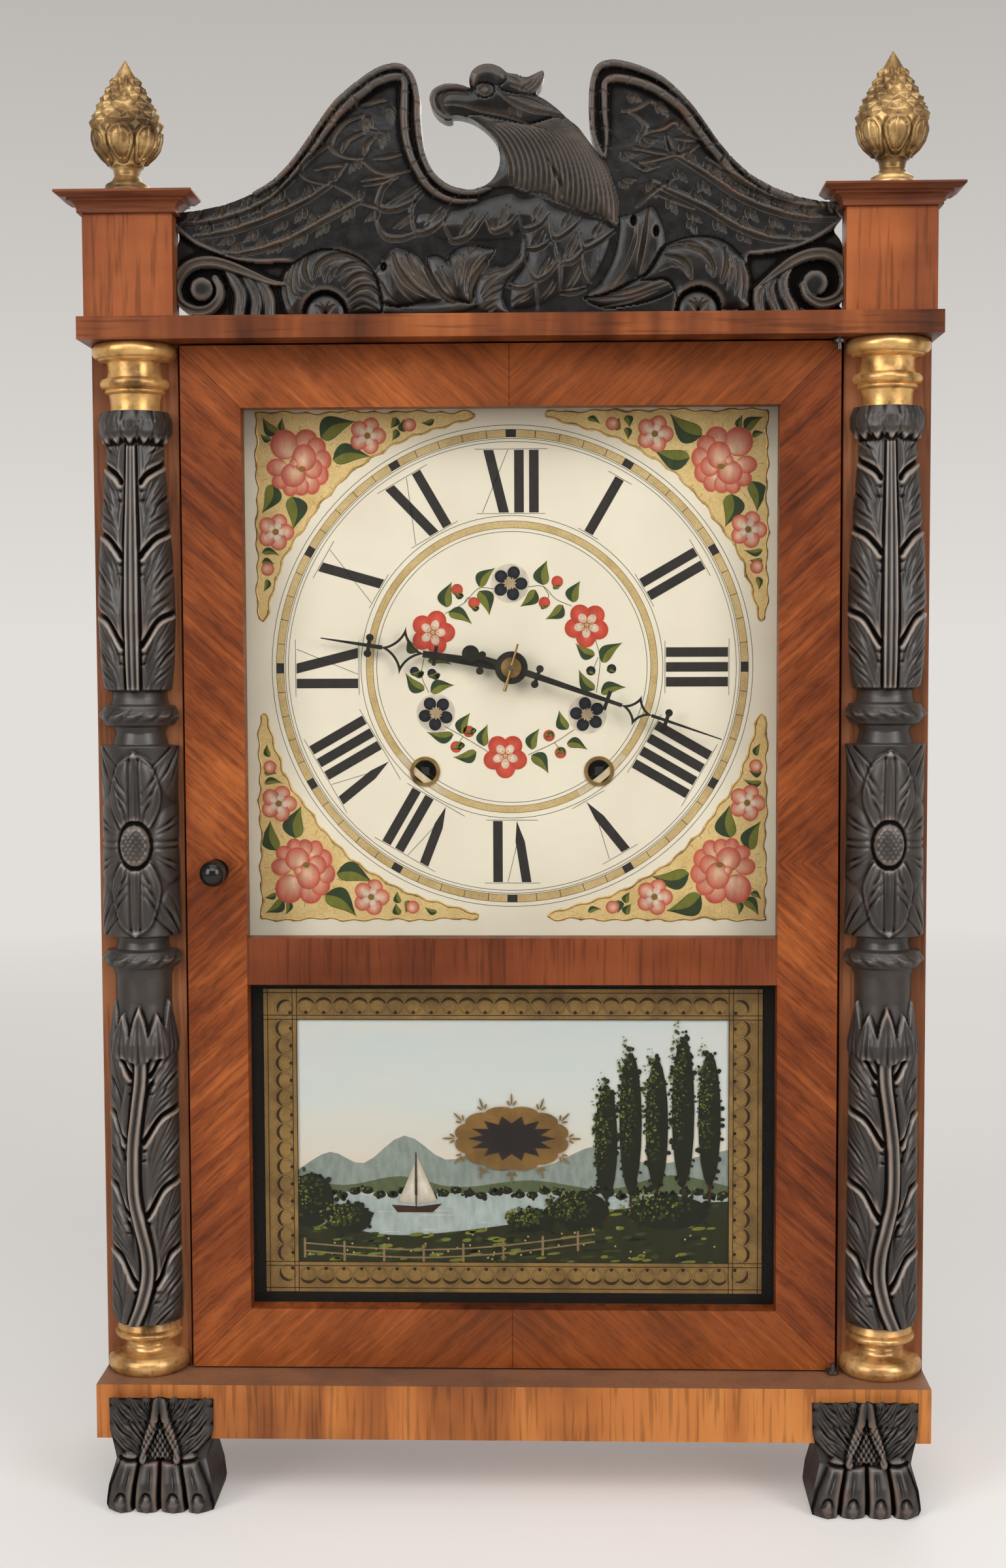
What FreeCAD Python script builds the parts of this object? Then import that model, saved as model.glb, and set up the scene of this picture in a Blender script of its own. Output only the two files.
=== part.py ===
import FreeCAD, Part
import math
import os

V = FreeCAD.Vector

# Column and splat shelf clock. Millimetres, +Z up, front towards -Y.
# The origin is on the floor, in the middle of the clock's width and depth.

# Driving dimensions: case
CASE_W = 434.0             # across the case sides, and the length of the base
CASE_H = 540.5             # from the base board to the cornice board
CASE_DEPTH = 112.0         # from the front of the stiles to the back of the backboard
FOOT_H = 36.0              # floor to underside of the base board
BASE_T = 28.5
BASE_LEDGE = 30.0          # base board in front of the stiles
CORNICE_T = 11.5
CORNICE_FRONT = 24.0       # cornice board in front of the stiles
CORNICE_SIDE = 2.5         # cornice board beyond each case side
SIDE_T = 12.0
BACK_T = 8.0
STILE_W = 45.0
STILE_T = 16.0

# Driving dimensions: top
PEDESTAL_W = 46.0
PEDESTAL_D = 18.0
PEDESTAL_H = 52.0
PEDESTAL_FRONT = 20.0      # pedestal in front of the stiles
PEDESTAL_INSET = 0.5       # pedestal's outer face inside the case side
CAP_T = 10.0
CAP_REACH = 12.0           # cap beyond the pedestal at the front and the sides
CAP_FILLET = 1.2
CAP_STEP = 3.2
FINIAL_H = 66.5
FINIAL_FOOT_R = 12.3
FINIAL_R = 18.4
SPLAT_H = 127.6
SPLAT_T = 12.0
SPLAT_RELIEF = 4.0         # bird and scrolls in front of the wings
SPLAT_BACK = 2.0           # back of the splat behind the front of the stiles
SPLAT_GAP = 0.2            # splat's ends to the pedestals
SPLAT_TIP_DROP = 0.8       # wing tips below the pedestal caps
VOLUTE_R = 14.5
VOLUTE_INSET = 1.5

# Driving dimensions: half columns
COLUMN_R = 20.6            # widest part of the carved upper shaft
CAPITAL_R = 21.6
CAPITAL_H = 35.0
COLUMN_FOOT_R = 22.0
COLUMN_FOOT_H = 27.3

# Driving dimensions: feet
PAW_W = 54.0
PAW_TOP = 61.0             # floor to the top of the carved hair on the base board's front
PAW_D = 48.0
TOE_REACH = 44.0           # toes in front of the stiles
PAW_INSET = 34.0           # middle of a paw inside the base board's end
TOES = 4
TOE_BULGE = 3.6
REAR_FOOT_R = 19.0
REAR_FOOT_TAPER = 0.75     # floor radius of a rear foot as a share of its top radius
REAR_FOOT_INSET = 26.0

# Driving dimensions: door
DOOR_T = 20.0
DOOR_PROUD = 4.0           # door face in front of the stiles
DOOR_GAP = 1.6             # door's edge to the stiles
DOOR_LIFT = 1.0            # door to the base board and to the cornice board
DOOR_STILE_W = 31.2
DOOR_TOP_H = 32.0
DOOR_MIDDLE_H = 24.6
DOOR_BOTTOM_H = 31.5
DIAL_WINDOW_H = 276.5
GLASS_T = 2.0
GLASS_SETBACK = 12.0       # front of the glass behind the door's face
RABBET = 5.0
GLASS_PLAY = 0.4
PIN_R = 1.2
PIN_DEPTH = 8.0            # hinge pin in the wood
PIN_FREE = 6.0             # hinge pin out of the wood
PIN_INSET = 1.5            # pin's axis inside the door's edge
PIN_AHEAD = 3.6            # pin's axis in front of the door's face
PLATE_T = 1.5
PLATE_W = 6.4
PLATE_TAIL = 12.0
RUN_FIT = 0.06             # radial clearance of what turns
KNOB_R = 7.0
KNOB_NECK_R = 3.0
KNOB_NECK_L = 3.0
KNOB_SEAT = 0.7            # ball's overlap with its neck
KNOB_COLLAR_R = 6.6
KNOB_COLLAR_T = 1.6
SPINDLE_R = 2.0
TONGUE_L = 25.0
TONGUE_W = 9.0
TONGUE_T = 2.0
TONGUE_GAP = 0.5           # tongue to the back of the door
KNOB_RISE = 35.5           # knob above the lower edge of the dial window

# Driving dimensions: dial and hands
DIAL_T = 6.0
DIAL_BEHIND_SHARE = 13 / 56  # dial face behind the front of the stiles, as a share of the case's depth
DIAL_LAP_X = 25.8          # dial beyond the dial window at each side
DIAL_LAP_Z = 13.75         # dial above and below the dial window
HUB_RISE = 3.25            # hub above the middle of the dial window
HUB_HOLE_R = 6.5
WIND_X = 46.6
WIND_DROP = 55.5           # winding holes below the hub
GROMMET_R = 8.0
GROMMET_HOLE_R = 6.1
GROMMET_WALL = 0.8
GROMMET_LIP_T = 1.0
HAND_T = 1.2
HAND_EDGE = 1.3            # width of a loop's edge
HAND_POINT = 0.3           # half the width of a hand's tip
HAND_CROSSBAR = 2.0        # width of a crossbar
HAND_BALL_R = 2.0
HAND_BALL_X = 4.3          # a ball's middle from the middle of its hand
LOOP_PULL = 0.32           # how far a loop's sides are drawn in towards its middle
HOUR_L = 102.8
HOUR_BAR_ROOT = 2.8        # half the width of the bar at the boss
HOUR_BAR_END = 1.8         # half the width of the bar at the loop
HOUR_NEEDLE = 1.2          # half the width of the needle at the loop
HOUR_LOOP_W = 13.0
HOUR_LOOP_SHARE = 0.119    # half the loop's length as a share of the hand's length
HOUR_STATIONS = (0.159, 0.40, 0.571, 0.748)  # inner balls, crossbar, loop and outer balls along the hand
HOUR_ANGLE = 279.0         # clockwise from twelve, as seen from the front
MINUTE_L = 117.8
MINUTE_BAR_ROOT = 1.9
MINUTE_BAR_END = 1.0
MINUTE_NEEDLE = 0.9
MINUTE_LOOP_W = 8.4
MINUTE_LOOP_SHARE = 0.081
MINUTE_STATIONS = (0.124, 0.456, 0.596, 0.737)
MINUTE_ANGLE = 109.0
MINUTE_TAIL_L = 22.8       # hub to the middle of the disc that balances the minute hand
MINUTE_DISC_R = 4.6
HAND_LIFT = 5.8            # front of the hour hand in front of the dial
HAND_STEP = 3.4            # from the hour hand to the minute hand
HAND_BOSS_R = 8.7
WASHER_R = 5.4
WASHER_T = 0.8
TAPER_L = 26.0
TAPER_R = 0.9
TAPER_TILT = 16.0

# Driving dimensions: movement
PLATE_HALF_W = 88.0
MOVEMENT_PLATE_T = 7.0
PLATE_DROP = 92.0          # plates' lower edge below the hub
PLATE_TALL = 175.0
MOTION_SHARE = 1 / 7       # from the back of the dial to the front plate, as a share of the case's depth
PILLAR_R = 4.5
PILLAR_INSET = 5.5
RAIL_W = 10.0
RAIL_TAIL = 15.0           # rails below the plates
RAIL_AHEAD = 4.0           # rails in front of the front plate
CLEAT_LAP = 15.0           # cleats behind the dial's edges
CLEAT_T = 12.0
ARBOR_R = 2.0
PIVOT_R = 1.5
PIVOT_L = 4.0
DRUM_R = 25.0
TRAIN_SHARE = 11 / 21      # share of the space between the plates that the wheels take beside the drums
DRUM_FLANGE = 3.0
DRUM_FLANGE_T = 2.0
DRUM_ARBOR_R = 4.5
DRUM_PIVOT_R = 3.0
WIND_SQUARE = 4.4
WIND_SQUARE_L = 13.0
SQUARE_ROOT = 1.0          # winding square's overlap with its arbor
WIND_TIP = 1.2             # winding square's end behind the dial face
WHEEL_SHARE = 17 / 210     # thickness of a wheel, as a share of the space between the plates
WHEEL_GAP_SHARE = 1 / 28   # between wheels that pass each other, as a share of the same space
TOOTH_TIP = 0.85           # tooth above the pitch circle, in modules
TOOTH_ROOT = 1.15          # tooth below the pitch circle, in modules
TOOTH_TOP_SHARE = 0.11     # half a tooth's width at its tip, as a share of the pitch
TOOTH_FOOT_SHARE = 0.30    # half a tooth's width at its root, as a share of the pitch
PINION_SHARE = 16 / 105    # length of a pinion, as a share of the same space
TOOTH_MODULE = 1.4         # motion work
PIPE_R = 4.0
STUD_R = 2.0
VERGE_DROP = 42.0          # verge below the hub
VERGE_HUB_R = 3.2
VERGE_CHEEK = 1.2
PALLET_REACH = 13.0
PALLET_NOSE = 2.0
CRUTCH_R = 0.8
CRUTCH_PLAY = 0.4
CRUTCH_DROP = 4.0
VERGE_STUD_R = 1.5
PENDULUM_L = 245.0
ROD_R = 0.9
ROD_TAIL = 6.0             # wire under the bob
EYE_LIP = 0.3              # the rod's eye is this much thicker on each side than the wire
BOB_R = 20.0
BOB_T = 12.0
ESCAPE_DROP = 65.0         # escape wheel below the hub
ESCAPE_R = 17.0
ESCAPE_OFF = 1.0           # escape wheel in front of the front plate
ESCAPE_TEETH = 30
BELL_R = 35.0
BELL_DEPTH = 24.0
BELL_WALL = 2.4
BELL_HANG = 45.0           # bell's centre below the cornice board
BELL_STANDOFF = 10.0       # bell's rim in front of the backboard
BELL_POST_R = 3.5
BELL_POST_END = 3.0
HAMMER_X = -66.0
HAMMER_RISE = 63.0         # hammer's arbor above the hub
HAMMER_R = 6.0
HAMMER_REST = 3.0          # hammer head to the bell at rest
HAMMER_ARM_R = 1.6
HAMMER_TAIL_R = 1.4
HAMMER_TAIL_L = 30.0
WEIGHT_R = 21.0
WEIGHT_H = 165.0
WEIGHT_INSET = 45.0        # weight's axis inside the case side
WEIGHT_CHAMFER = 2.0
WEIGHT_SHOULDER = 6.0
WEIGHT_GAP = 7.0           # weight to the backboard
HOOK_R = 5.0
HOOK_WIRE = 1.5
SECOND_X = 28.0            # arbors of the trains, beside and below or above the hub
SECOND_DROP = 13.0
THIRD_DROP = 31.3
FLY_X = 44.0
FLY_RISE = 5.0
FLY_REACH = 16.0
FLY_W = 8.0
FLY_T = 1.2
FLY_TILT = 50.0
LIFT_PINS = 8
LIFT_PIN_R = 1.0
LIFT_PIN_L = 4.0

# Derived planes. FACE is the front of the stiles.
FACE = (TOE_REACH - CASE_DEPTH) / 2
HALF = CASE_W / 2
BASE_TOP = FOOT_H + BASE_T
CASE_TOP = BASE_TOP + CASE_H
CORNICE_TOP = CASE_TOP + CORNICE_T
BACK = FACE + CASE_DEPTH
BACKBOARD_FACE = BACK - BACK_T
INSIDE = HALF - SIDE_T
STILE_IN = HALF - STILE_W
COLUMN_X = HALF - STILE_W / 2
PEDESTAL_OUT = HALF - PEDESTAL_INSET
PEDESTAL_IN = PEDESTAL_OUT - PEDESTAL_W
PEDESTAL_TOP = CORNICE_TOP + PEDESTAL_H
CAP_TOP = PEDESTAL_TOP + CAP_T
DOOR_FACE = FACE - DOOR_PROUD
DOOR_BACK = DOOR_FACE + DOOR_T
DOOR_HALF = STILE_IN - DOOR_GAP
DOOR_LOW = BASE_TOP + DOOR_LIFT
DOOR_HIGH = CASE_TOP - DOOR_LIFT
WINDOW_HALF = DOOR_HALF - DOOR_STILE_W
DIAL_WINDOW_HIGH = DOOR_HIGH - DOOR_TOP_H
DIAL_WINDOW_LOW = DIAL_WINDOW_HIGH - DIAL_WINDOW_H
TABLET_HIGH = DIAL_WINDOW_LOW - DOOR_MIDDLE_H
TABLET_LOW = DOOR_LOW + DOOR_BOTTOM_H
GLASS_FRONT = DOOR_FACE + GLASS_SETBACK
PIN_X = DOOR_HALF - PIN_INSET
PIN_Y = DOOR_FACE - PIN_AHEAD
KNOB_X = -DOOR_HALF + DOOR_STILE_W / 2
TONGUE_FRONT = DOOR_BACK + TONGUE_GAP
DIAL_FACE = FACE + CASE_DEPTH * DIAL_BEHIND_SHARE
DIAL_BACK = DIAL_FACE + DIAL_T
DIAL_HALF = WINDOW_HALF + DIAL_LAP_X
DIAL_LOW = DIAL_WINDOW_LOW - DIAL_LAP_Z
DIAL_HIGH = DIAL_WINDOW_HIGH + DIAL_LAP_Z
KNOB_Z = DIAL_WINDOW_LOW + KNOB_RISE
HUB_Z = (DIAL_WINDOW_LOW + DIAL_WINDOW_HIGH) / 2 + HUB_RISE
WIND_Z = HUB_Z - WIND_DROP
PLATE_LOW = HUB_Z - PLATE_DROP
VERGE_Z = HUB_Z - VERGE_DROP
ESCAPE_Z = HUB_Z - ESCAPE_DROP
HAMMER_Z = HUB_Z + HAMMER_RISE
BELL_Z = CASE_TOP - BELL_HANG
BELL_BACK = BACKBOARD_FACE - BELL_STANDOFF
WEIGHT_X = INSIDE - WEIGHT_INSET
WEIGHT_Y = BACKBOARD_FACE - WEIGHT_GAP - WEIGHT_R
PAW_X = HALF - PAW_INSET
BACK_PLATE_BACK = BACKBOARD_FACE
BACK_PLATE_FACE = BACK_PLATE_BACK - MOVEMENT_PLATE_T
MOTION_SPACE = CASE_DEPTH * MOTION_SHARE
FRONT_PLATE_FACE = DIAL_BACK + MOTION_SPACE
FRONT_PLATE_BACK = FRONT_PLATE_FACE + MOVEMENT_PLATE_T
PLATE_SPACE = BACK_PLATE_FACE - FRONT_PLATE_BACK
DRUM_L = PLATE_SPACE * (1 - TRAIN_SHARE)
WHEEL_T = PLATE_SPACE * WHEEL_SHARE
WHEEL_GAP = PLATE_SPACE * WHEEL_GAP_SHARE
PINION_L = PLATE_SPACE * PINION_SHARE
HOUR_FRONT = DIAL_FACE - HAND_LIFT
MINUTE_FRONT = HOUR_FRONT - HAND_STEP
WASHER_FRONT = MINUTE_FRONT - WASHER_T


def box(x0, x1, y0, y1, z0, z1):
    return Part.makeBox(x1 - x0, y1 - y0, z1 - z0, V(x0, y0, z0))


def rod_y(x, z, y0, y1, r):
    """A round bar along Y."""
    return Part.makeCylinder(r, y1 - y0, V(x, y0, z), V(0, 1, 0))


def mirrored(shape):
    return shape.mirror(V(0, 0, 0), V(1, 0, 0))


def fuse(first, *rest):
    return first.fuse(list(rest)).removeSplitter()


def polyline_face(points):
    return Part.Face(Part.makePolygon(list(points) + [points[0]]))


def arc_edge(a, mid, b):
    return Part.Arc(a, mid, b).toShape()


def bulge_edge(a, b, height):
    """An arc from a to b in the XZ plane that bulges to the right of its chord by height."""
    chord = b - a
    side = V(chord.z, 0, -chord.x)
    side.normalize()
    mid = (a + b) * 0.5 + side * height
    return arc_edge(a, mid, b)


def profile_face(start, moves):
    """A closed face in the radius-height plane: each move is (radius, height) or (radius, height, bulge)."""
    here = V(start[0], 0, start[1])
    first = here
    edges = []
    for move in moves:
        there = V(move[0], 0, move[1])
        if len(move) == 3:
            edges.append(bulge_edge(here, there, move[2]))
        else:
            edges.append(Part.LineSegment(here, there).toShape())
        here = there
    edges.append(Part.LineSegment(here, first).toShape())
    return Part.Face(Part.Wire(edges))


def turned(start, moves, x, y, z, angle=360.0):
    """A turning about a vertical axis. A half turning has its flat side at the back."""
    solid = profile_face(start, moves).revolve(V(0, 0, 0), V(0, 0, 1), -angle)
    solid.translate(V(x, y, z))
    return solid


def turned_y(start, moves, x, y, z):
    """A turning about an axis along Y: heights in the profile run backwards from y."""
    solid = profile_face(start, moves).revolve(V(0, 0, 0), V(0, 0, 1), 360.0)
    solid.rotate(V(0, 0, 0), V(1, 0, 0), -90.0)
    solid.translate(V(x, y, z))
    return solid


def save(name, *solids):
    shape = solids[0] if len(solids) == 1 else Part.makeCompound(list(solids))
    shape.exportStep(os.path.join("parts", name + ".step"))


# Case
def base_board():
    board = box(-HALF, HALF, FACE - BASE_LEDGE, BACK, FOOT_H, BASE_TOP)
    return board.cut(hinge_pin(False))


def cornice_board():
    reach = HALF + CORNICE_SIDE
    board = box(-reach, reach, FACE - CORNICE_FRONT, BACK, CASE_TOP, CORNICE_TOP)
    return board.cut(hinge_pin(True))


def case_side():
    return box(INSIDE, HALF, FACE + STILE_T, BACK, BASE_TOP, CASE_TOP)


def case_stile():
    return box(STILE_IN, HALF, FACE, FACE + STILE_T, BASE_TOP, CASE_TOP)


def backboard():
    board = box(-INSIDE, INSIDE, BACKBOARD_FACE, BACK, BASE_TOP, CASE_TOP)
    return board.cut(bell_post())


def inner_battens():
    """Cleats behind the dial and rails beside the movement, glued into the case."""
    cleat = box(DIAL_HALF - CLEAT_LAP, INSIDE, DIAL_BACK, DIAL_BACK + CLEAT_T, DIAL_LOW, DIAL_HIGH)
    front = FRONT_PLATE_FACE - RAIL_AHEAD
    rail = box(PLATE_HALF_W, PLATE_HALF_W + RAIL_W, front, BACKBOARD_FACE, PLATE_LOW - RAIL_TAIL, CASE_TOP)
    return [cleat, mirrored(cleat), rail, mirrored(rail)]


# Top
def pedestal():
    front = FACE - PEDESTAL_FRONT
    return box(PEDESTAL_IN, PEDESTAL_OUT, front, front + PEDESTAL_D, CORNICE_TOP, PEDESTAL_TOP)


def cap_profile(reach_at):
    """The cap's moulding from its underside up: a cove, a fillet and an ovolo."""
    neck = CAP_REACH - CAP_STEP - 2 * CAP_FILLET
    cove_low = PEDESTAL_TOP + CAP_FILLET
    cove_high = CAP_TOP - CAP_T * 0.45
    nose = cove_high + CAP_FILLET
    low = reach_at(neck * 0.35, PEDESTAL_TOP)
    cove_start = reach_at(neck * 0.35, cove_low)
    cove_mid = reach_at(neck * 0.48, (cove_low * 0.4 + cove_high * 0.6))
    cove_end = reach_at(neck, cove_high)
    fillet = reach_at(neck, nose)
    ovolo_start = reach_at(CAP_REACH - CAP_STEP, nose)
    ovolo_mid = reach_at(CAP_REACH - CAP_STEP * 0.3, (nose * 0.55 + CAP_TOP * 0.45))
    top = reach_at(CAP_REACH, CAP_TOP - CAP_FILLET)
    crown = reach_at(CAP_REACH, CAP_TOP)
    return [
        Part.LineSegment(low, cove_start).toShape(),
        arc_edge(cove_start, cove_mid, cove_end),
        Part.LineSegment(cove_end, fillet).toShape(),
        Part.LineSegment(fillet, ovolo_start).toShape(),
        arc_edge(ovolo_start, ovolo_mid, top),
        Part.LineSegment(top, crown).toShape(),
    ]


def pedestal_cap():
    """The moulding across the front and the moulding along both sides, mitred by their intersection."""
    front = FACE - PEDESTAL_FRONT
    back = front + PEDESTAL_D
    wide = CAP_REACH * 2
    run_x = cap_profile(lambda reach, z: V(PEDESTAL_IN - wide, front - reach, z))
    high = V(PEDESTAL_IN - wide, back, CAP_TOP)
    low = V(PEDESTAL_IN - wide, back, PEDESTAL_TOP)
    run_x += [
        Part.LineSegment(run_x[-1].Vertexes[-1].Point, high).toShape(),
        Part.LineSegment(high, low).toShape(),
        Part.LineSegment(low, run_x[0].Vertexes[0].Point).toShape(),
    ]
    across = Part.Face(Part.Wire(run_x)).extrude(V(PEDESTAL_W + 2 * wide, 0, 0))
    middle = (PEDESTAL_IN + PEDESTAL_OUT) / 2
    half = PEDESTAL_W / 2
    right = cap_profile(lambda reach, z: V(middle + half + reach, front - wide, z))
    left = cap_profile(lambda reach, z: V(middle - half - reach, front - wide, z))
    top = Part.LineSegment(right[-1].Vertexes[-1].Point, left[-1].Vertexes[-1].Point).toShape()
    bottom = Part.LineSegment(right[0].Vertexes[0].Point, left[0].Vertexes[0].Point).toShape()
    outline = Part.Wire(Part.__sortEdges__(right + left + [top, bottom]))
    along = Part.Face(outline).extrude(V(0, PEDESTAL_D + 2 * wide, 0))
    return across.common(along)


def finial():
    """Turned foot and stem, a cup of leaves and a pineapple body with a pointed tip."""
    stem_r = FINIAL_FOOT_R * 0.52
    ring_r = FINIAL_FOOT_R * 0.73
    h = FINIAL_H
    moves = [
        (FINIAL_FOOT_R, 0.0),
        (FINIAL_FOOT_R, h * 0.025, 0.4),
        (FINIAL_FOOT_R * 0.86, h * 0.06),
        (stem_r, h * 0.115, -0.8),
        (stem_r, h * 0.15),
        (ring_r, h * 0.185, -0.4),
        (ring_r, h * 0.205, 0.5),
        (FINIAL_R * 0.86, h * 0.30, 1.6),
        (FINIAL_R, h * 0.43, 0.6),
        (FINIAL_R * 0.965, h * 0.55, 0.4),
        (FINIAL_R * 0.74, h * 0.70, 0.6),
        (FINIAL_R * 0.30, h * 0.885, 0.6),
        (0.0, h),
    ]
    middle = (PEDESTAL_IN + PEDESTAL_OUT) / 2
    front = FACE - PEDESTAL_FRONT - CAP_REACH
    depth = PEDESTAL_D + CAP_REACH
    return turned((0.0, 0.0), moves, middle, front + depth / 2, CAP_TOP)


def splat_curve(points):
    curve = Part.BSplineCurve()
    curve.interpolate([V(x, 0, z) for x, z in points])
    return curve.toShape()


def splat():
    """A board sawn to the outline of wings, head and scrolls, with the bird and the volutes in relief."""
    end = PEDESTAL_IN - SPLAT_GAP
    h = SPLAT_H
    tip = PEDESTAL_H - SPLAT_TIP_DROP

    def at(*points):
        """Points of the outline, given in hundredths of the splat's half length and of its height."""
        return [(x * end / 100, z * h / 100) for x, z in points]

    left_peak, right_peak = at((-33.2, 100), (32.3, 100))
    left_notch, right_notch = at((-90.4, 30.6), (90.4, 30.6))
    chest, hook, gape, crown = at((-12.0, 50.2), (-16.7, 76.8), (-9.4, 77.0), (-10.3, 91.3))
    cheek, mane, quill = at((-1.2, 95.2), (28.8, 62.3), (10.9, 96.0))
    left_foot, right_foot = at((-90.6, 0), (90.6, 0))
    left_flat = (-end * 0.916, tip)
    right_flat = (end * 0.922, tip)
    left_wing = [(-end, tip), left_flat, *at((-83.4, 52.1), (-64.6, 69.0), (-50.2, 88.9)), left_peak]
    left_shoulder = [left_peak, *at((-28.5, 95.6), (-26.4, 85.4), (-25.5, 70.5), (-22.3, 58.0)), chest]
    throat = [chest, *at((-3.5, 57.2), (-1.8, 65.8), (-4.4, 72.9)), gape]
    beak_under = [gape, *at((-14.1, 79.2)), hook]
    beak = [hook, *at((-22.3, 81.5), (-22.3, 87.4), (-17.6, 91.7)), crown]
    brow = [crown, *at((-8.8, 96.8), (-5.3, 98.4)), cheek]
    crest = [cheek, *at((4.7, 92.9)), quill]
    nape = [quill, *at((9.4, 88.6), (16.9, 78.1), (25.8, 68.0)), mane]
    right_shoulder = [mane, *at((24.7, 79.9), (26.1, 94.8)), right_peak]
    right_wing = [right_peak, *at((55.2, 81.5), (66.4, 67.6), (83.1, 51.3)), right_flat, (end, tip)]
    right_tip = [(end, tip), right_notch]
    right_scroll = [right_notch, *at((97.7, 23.5), (100, 13.3), (96.5, 3.1)), right_foot]
    left_scroll = [left_foot, *at((-96.5, 3.1), (-100, 13.3), (-97.1, 23.5)), left_notch]
    left_tip = [left_notch, (-end, tip)]
    stretches = [left_wing, left_shoulder, throat, beak_under, beak, brow, crest, nape]
    bottom = [right_foot, left_foot]
    stretches += [right_shoulder, right_wing, right_tip, right_scroll, bottom, left_scroll, left_tip]
    edges = [splat_curve(points) for points in stretches]
    board = Part.Face(Part.Wire(edges)).extrude(V(0, -SPLAT_T, 0))
    bird_edges = [splat_curve(points) for points in [throat, beak_under, beak, brow, crest, nape]]
    breast = [mane, *at((32.3, 50.2), (30.5, 32.9), (23.2, 7.8))]
    belly = [breast[-1], *at((8.2, 11.0), (-4.7, 26.6)), chest]
    bird_edges += [splat_curve(breast), splat_curve(belly)]
    bird = Part.Face(Part.Wire(bird_edges)).extrude(V(0, -SPLAT_T - SPLAT_RELIEF, 0))
    off = VOLUTE_R + VOLUTE_INSET
    volutes = []
    for side in (-1, 1):
        centre = V(side * (end - off), 0, off)
        volutes.append(Part.makeCylinder(VOLUTE_R, SPLAT_T + SPLAT_RELIEF, centre, V(0, -1, 0)))
    solid = fuse(board, bird, *volutes)
    solid.translate(V(0, FACE + SPLAT_BACK, CORNICE_TOP))
    return solid


# Half columns
COLUMN_LOW = BASE_TOP + COLUMN_FOOT_H
COLUMN_HIGH = CASE_TOP - CAPITAL_H


def column():
    """Half column: lower shaft, rope ring, flower block, rope ring, swelling upper shaft, leaf collar."""
    tall = COLUMN_HIGH - COLUMN_LOW
    neck = COLUMN_R * 0.68
    ring = COLUMN_R * 1.02
    moves = [
        (COLUMN_R * 0.80, 0.0),
        (COLUMN_R * 0.89, tall * 0.02),
        (COLUMN_R * 0.84, tall * 0.313),
        (COLUMN_R * 0.88, tall * 0.358),
        (neck, tall * 0.360),
        (neck, tall * 0.385),
        (ring * 0.86, tall * 0.396, -0.4),
        (ring, tall * 0.404),
        (ring, tall * 0.413, 1.2),
        (ring * 0.86, tall * 0.416),
        (neck, tall * 0.423, -0.4),
        (neck, tall * 0.430),
        (COLUMN_R, tall * 0.434),
        (COLUMN_R, tall * 0.638, -1.2),
        (neck, tall * 0.645),
        (neck, tall * 0.655),
        (ring * 0.86, tall * 0.660, -0.3),
        (ring, tall * 0.666),
        (ring, tall * 0.680, 1.6),
        (neck, tall * 0.686),
        (neck, tall * 0.696),
        (COLUMN_R * 0.88, tall * 0.698),
        (COLUMN_R, tall * 0.782, 0.3),
        (COLUMN_R * 0.74, tall * 0.961, 0.8),
        (COLUMN_R * 0.80, tall * 0.963),
        (COLUMN_R * 0.97, tall * 0.985, 0.8),
        (COLUMN_R * 0.90, tall),
        (0.0, tall),
    ]
    return turned((0.0, 0.0), moves, COLUMN_X, FACE, COLUMN_LOW, 180.0)


def capital():
    """Gilt half turning: a cup, two rings, a neck and a heavy torus under the cornice."""
    h = CAPITAL_H
    r = CAPITAL_R
    moves = [
        (r * 0.60, 0.0),
        (r * 0.63, h * 0.25, -0.4),
        (r * 0.70, h * 0.275),
        (r * 0.70, h * 0.325, 0.5),
        (r * 0.78, h * 0.345),
        (r * 0.78, h * 0.48, 1.2),
        (r * 0.67, h * 0.50),
        (r * 0.66, h * 0.72, -0.5),
        (r * 0.74, h * 0.735),
        (r * 0.88, h * 0.77, 0.5),
        (r * 0.88, h, 3.0),
        (0.0, h),
    ]
    return turned((0.0, 0.0), moves, COLUMN_X, FACE, COLUMN_HIGH, 180.0)


def column_foot():
    """Gilt half turning: a heavy torus on the base board, a scotia, a ring and a cone under the carving."""
    h = COLUMN_FOOT_H
    r = COLUMN_FOOT_R
    moves = [
        (r * 0.88, 0.0),
        (r * 0.88, h * 0.34, 2.6),
        (r * 0.74, h * 0.38),
        (r * 0.57, h * 0.52, -1.4),
        (r * 0.64, h * 0.64, -1.0),
        (r * 0.74, h * 0.66),
        (r * 0.74, h * 0.80, 1.8),
        (r * 0.77, h * 0.84),
        (r * 0.71, h),
        (0.0, h),
    ]
    return turned((0.0, 0.0), moves, COLUMN_X, FACE, BASE_TOP, 180.0)


# Feet
def paw_section(z, width, front, back, bulge):
    """A plan section with four toe lobes along its front edge."""
    half = width / 2
    step = width / TOES
    corners = [V(half - i * step, front, z) for i in range(TOES + 1)]
    edges = [Part.LineSegment(V(-half, back, z), V(half, back, z)).toShape()]
    edges.append(Part.LineSegment(V(half, back, z), corners[0]).toShape())
    for a, b in zip(corners, corners[1:]):
        edges.append(arc_edge(a, (a + b) * 0.5 + V(0, -bulge, 0), b))
    edges.append(Part.LineSegment(corners[-1], V(-half, back, z)).toShape())
    return Part.Wire(edges)


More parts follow.
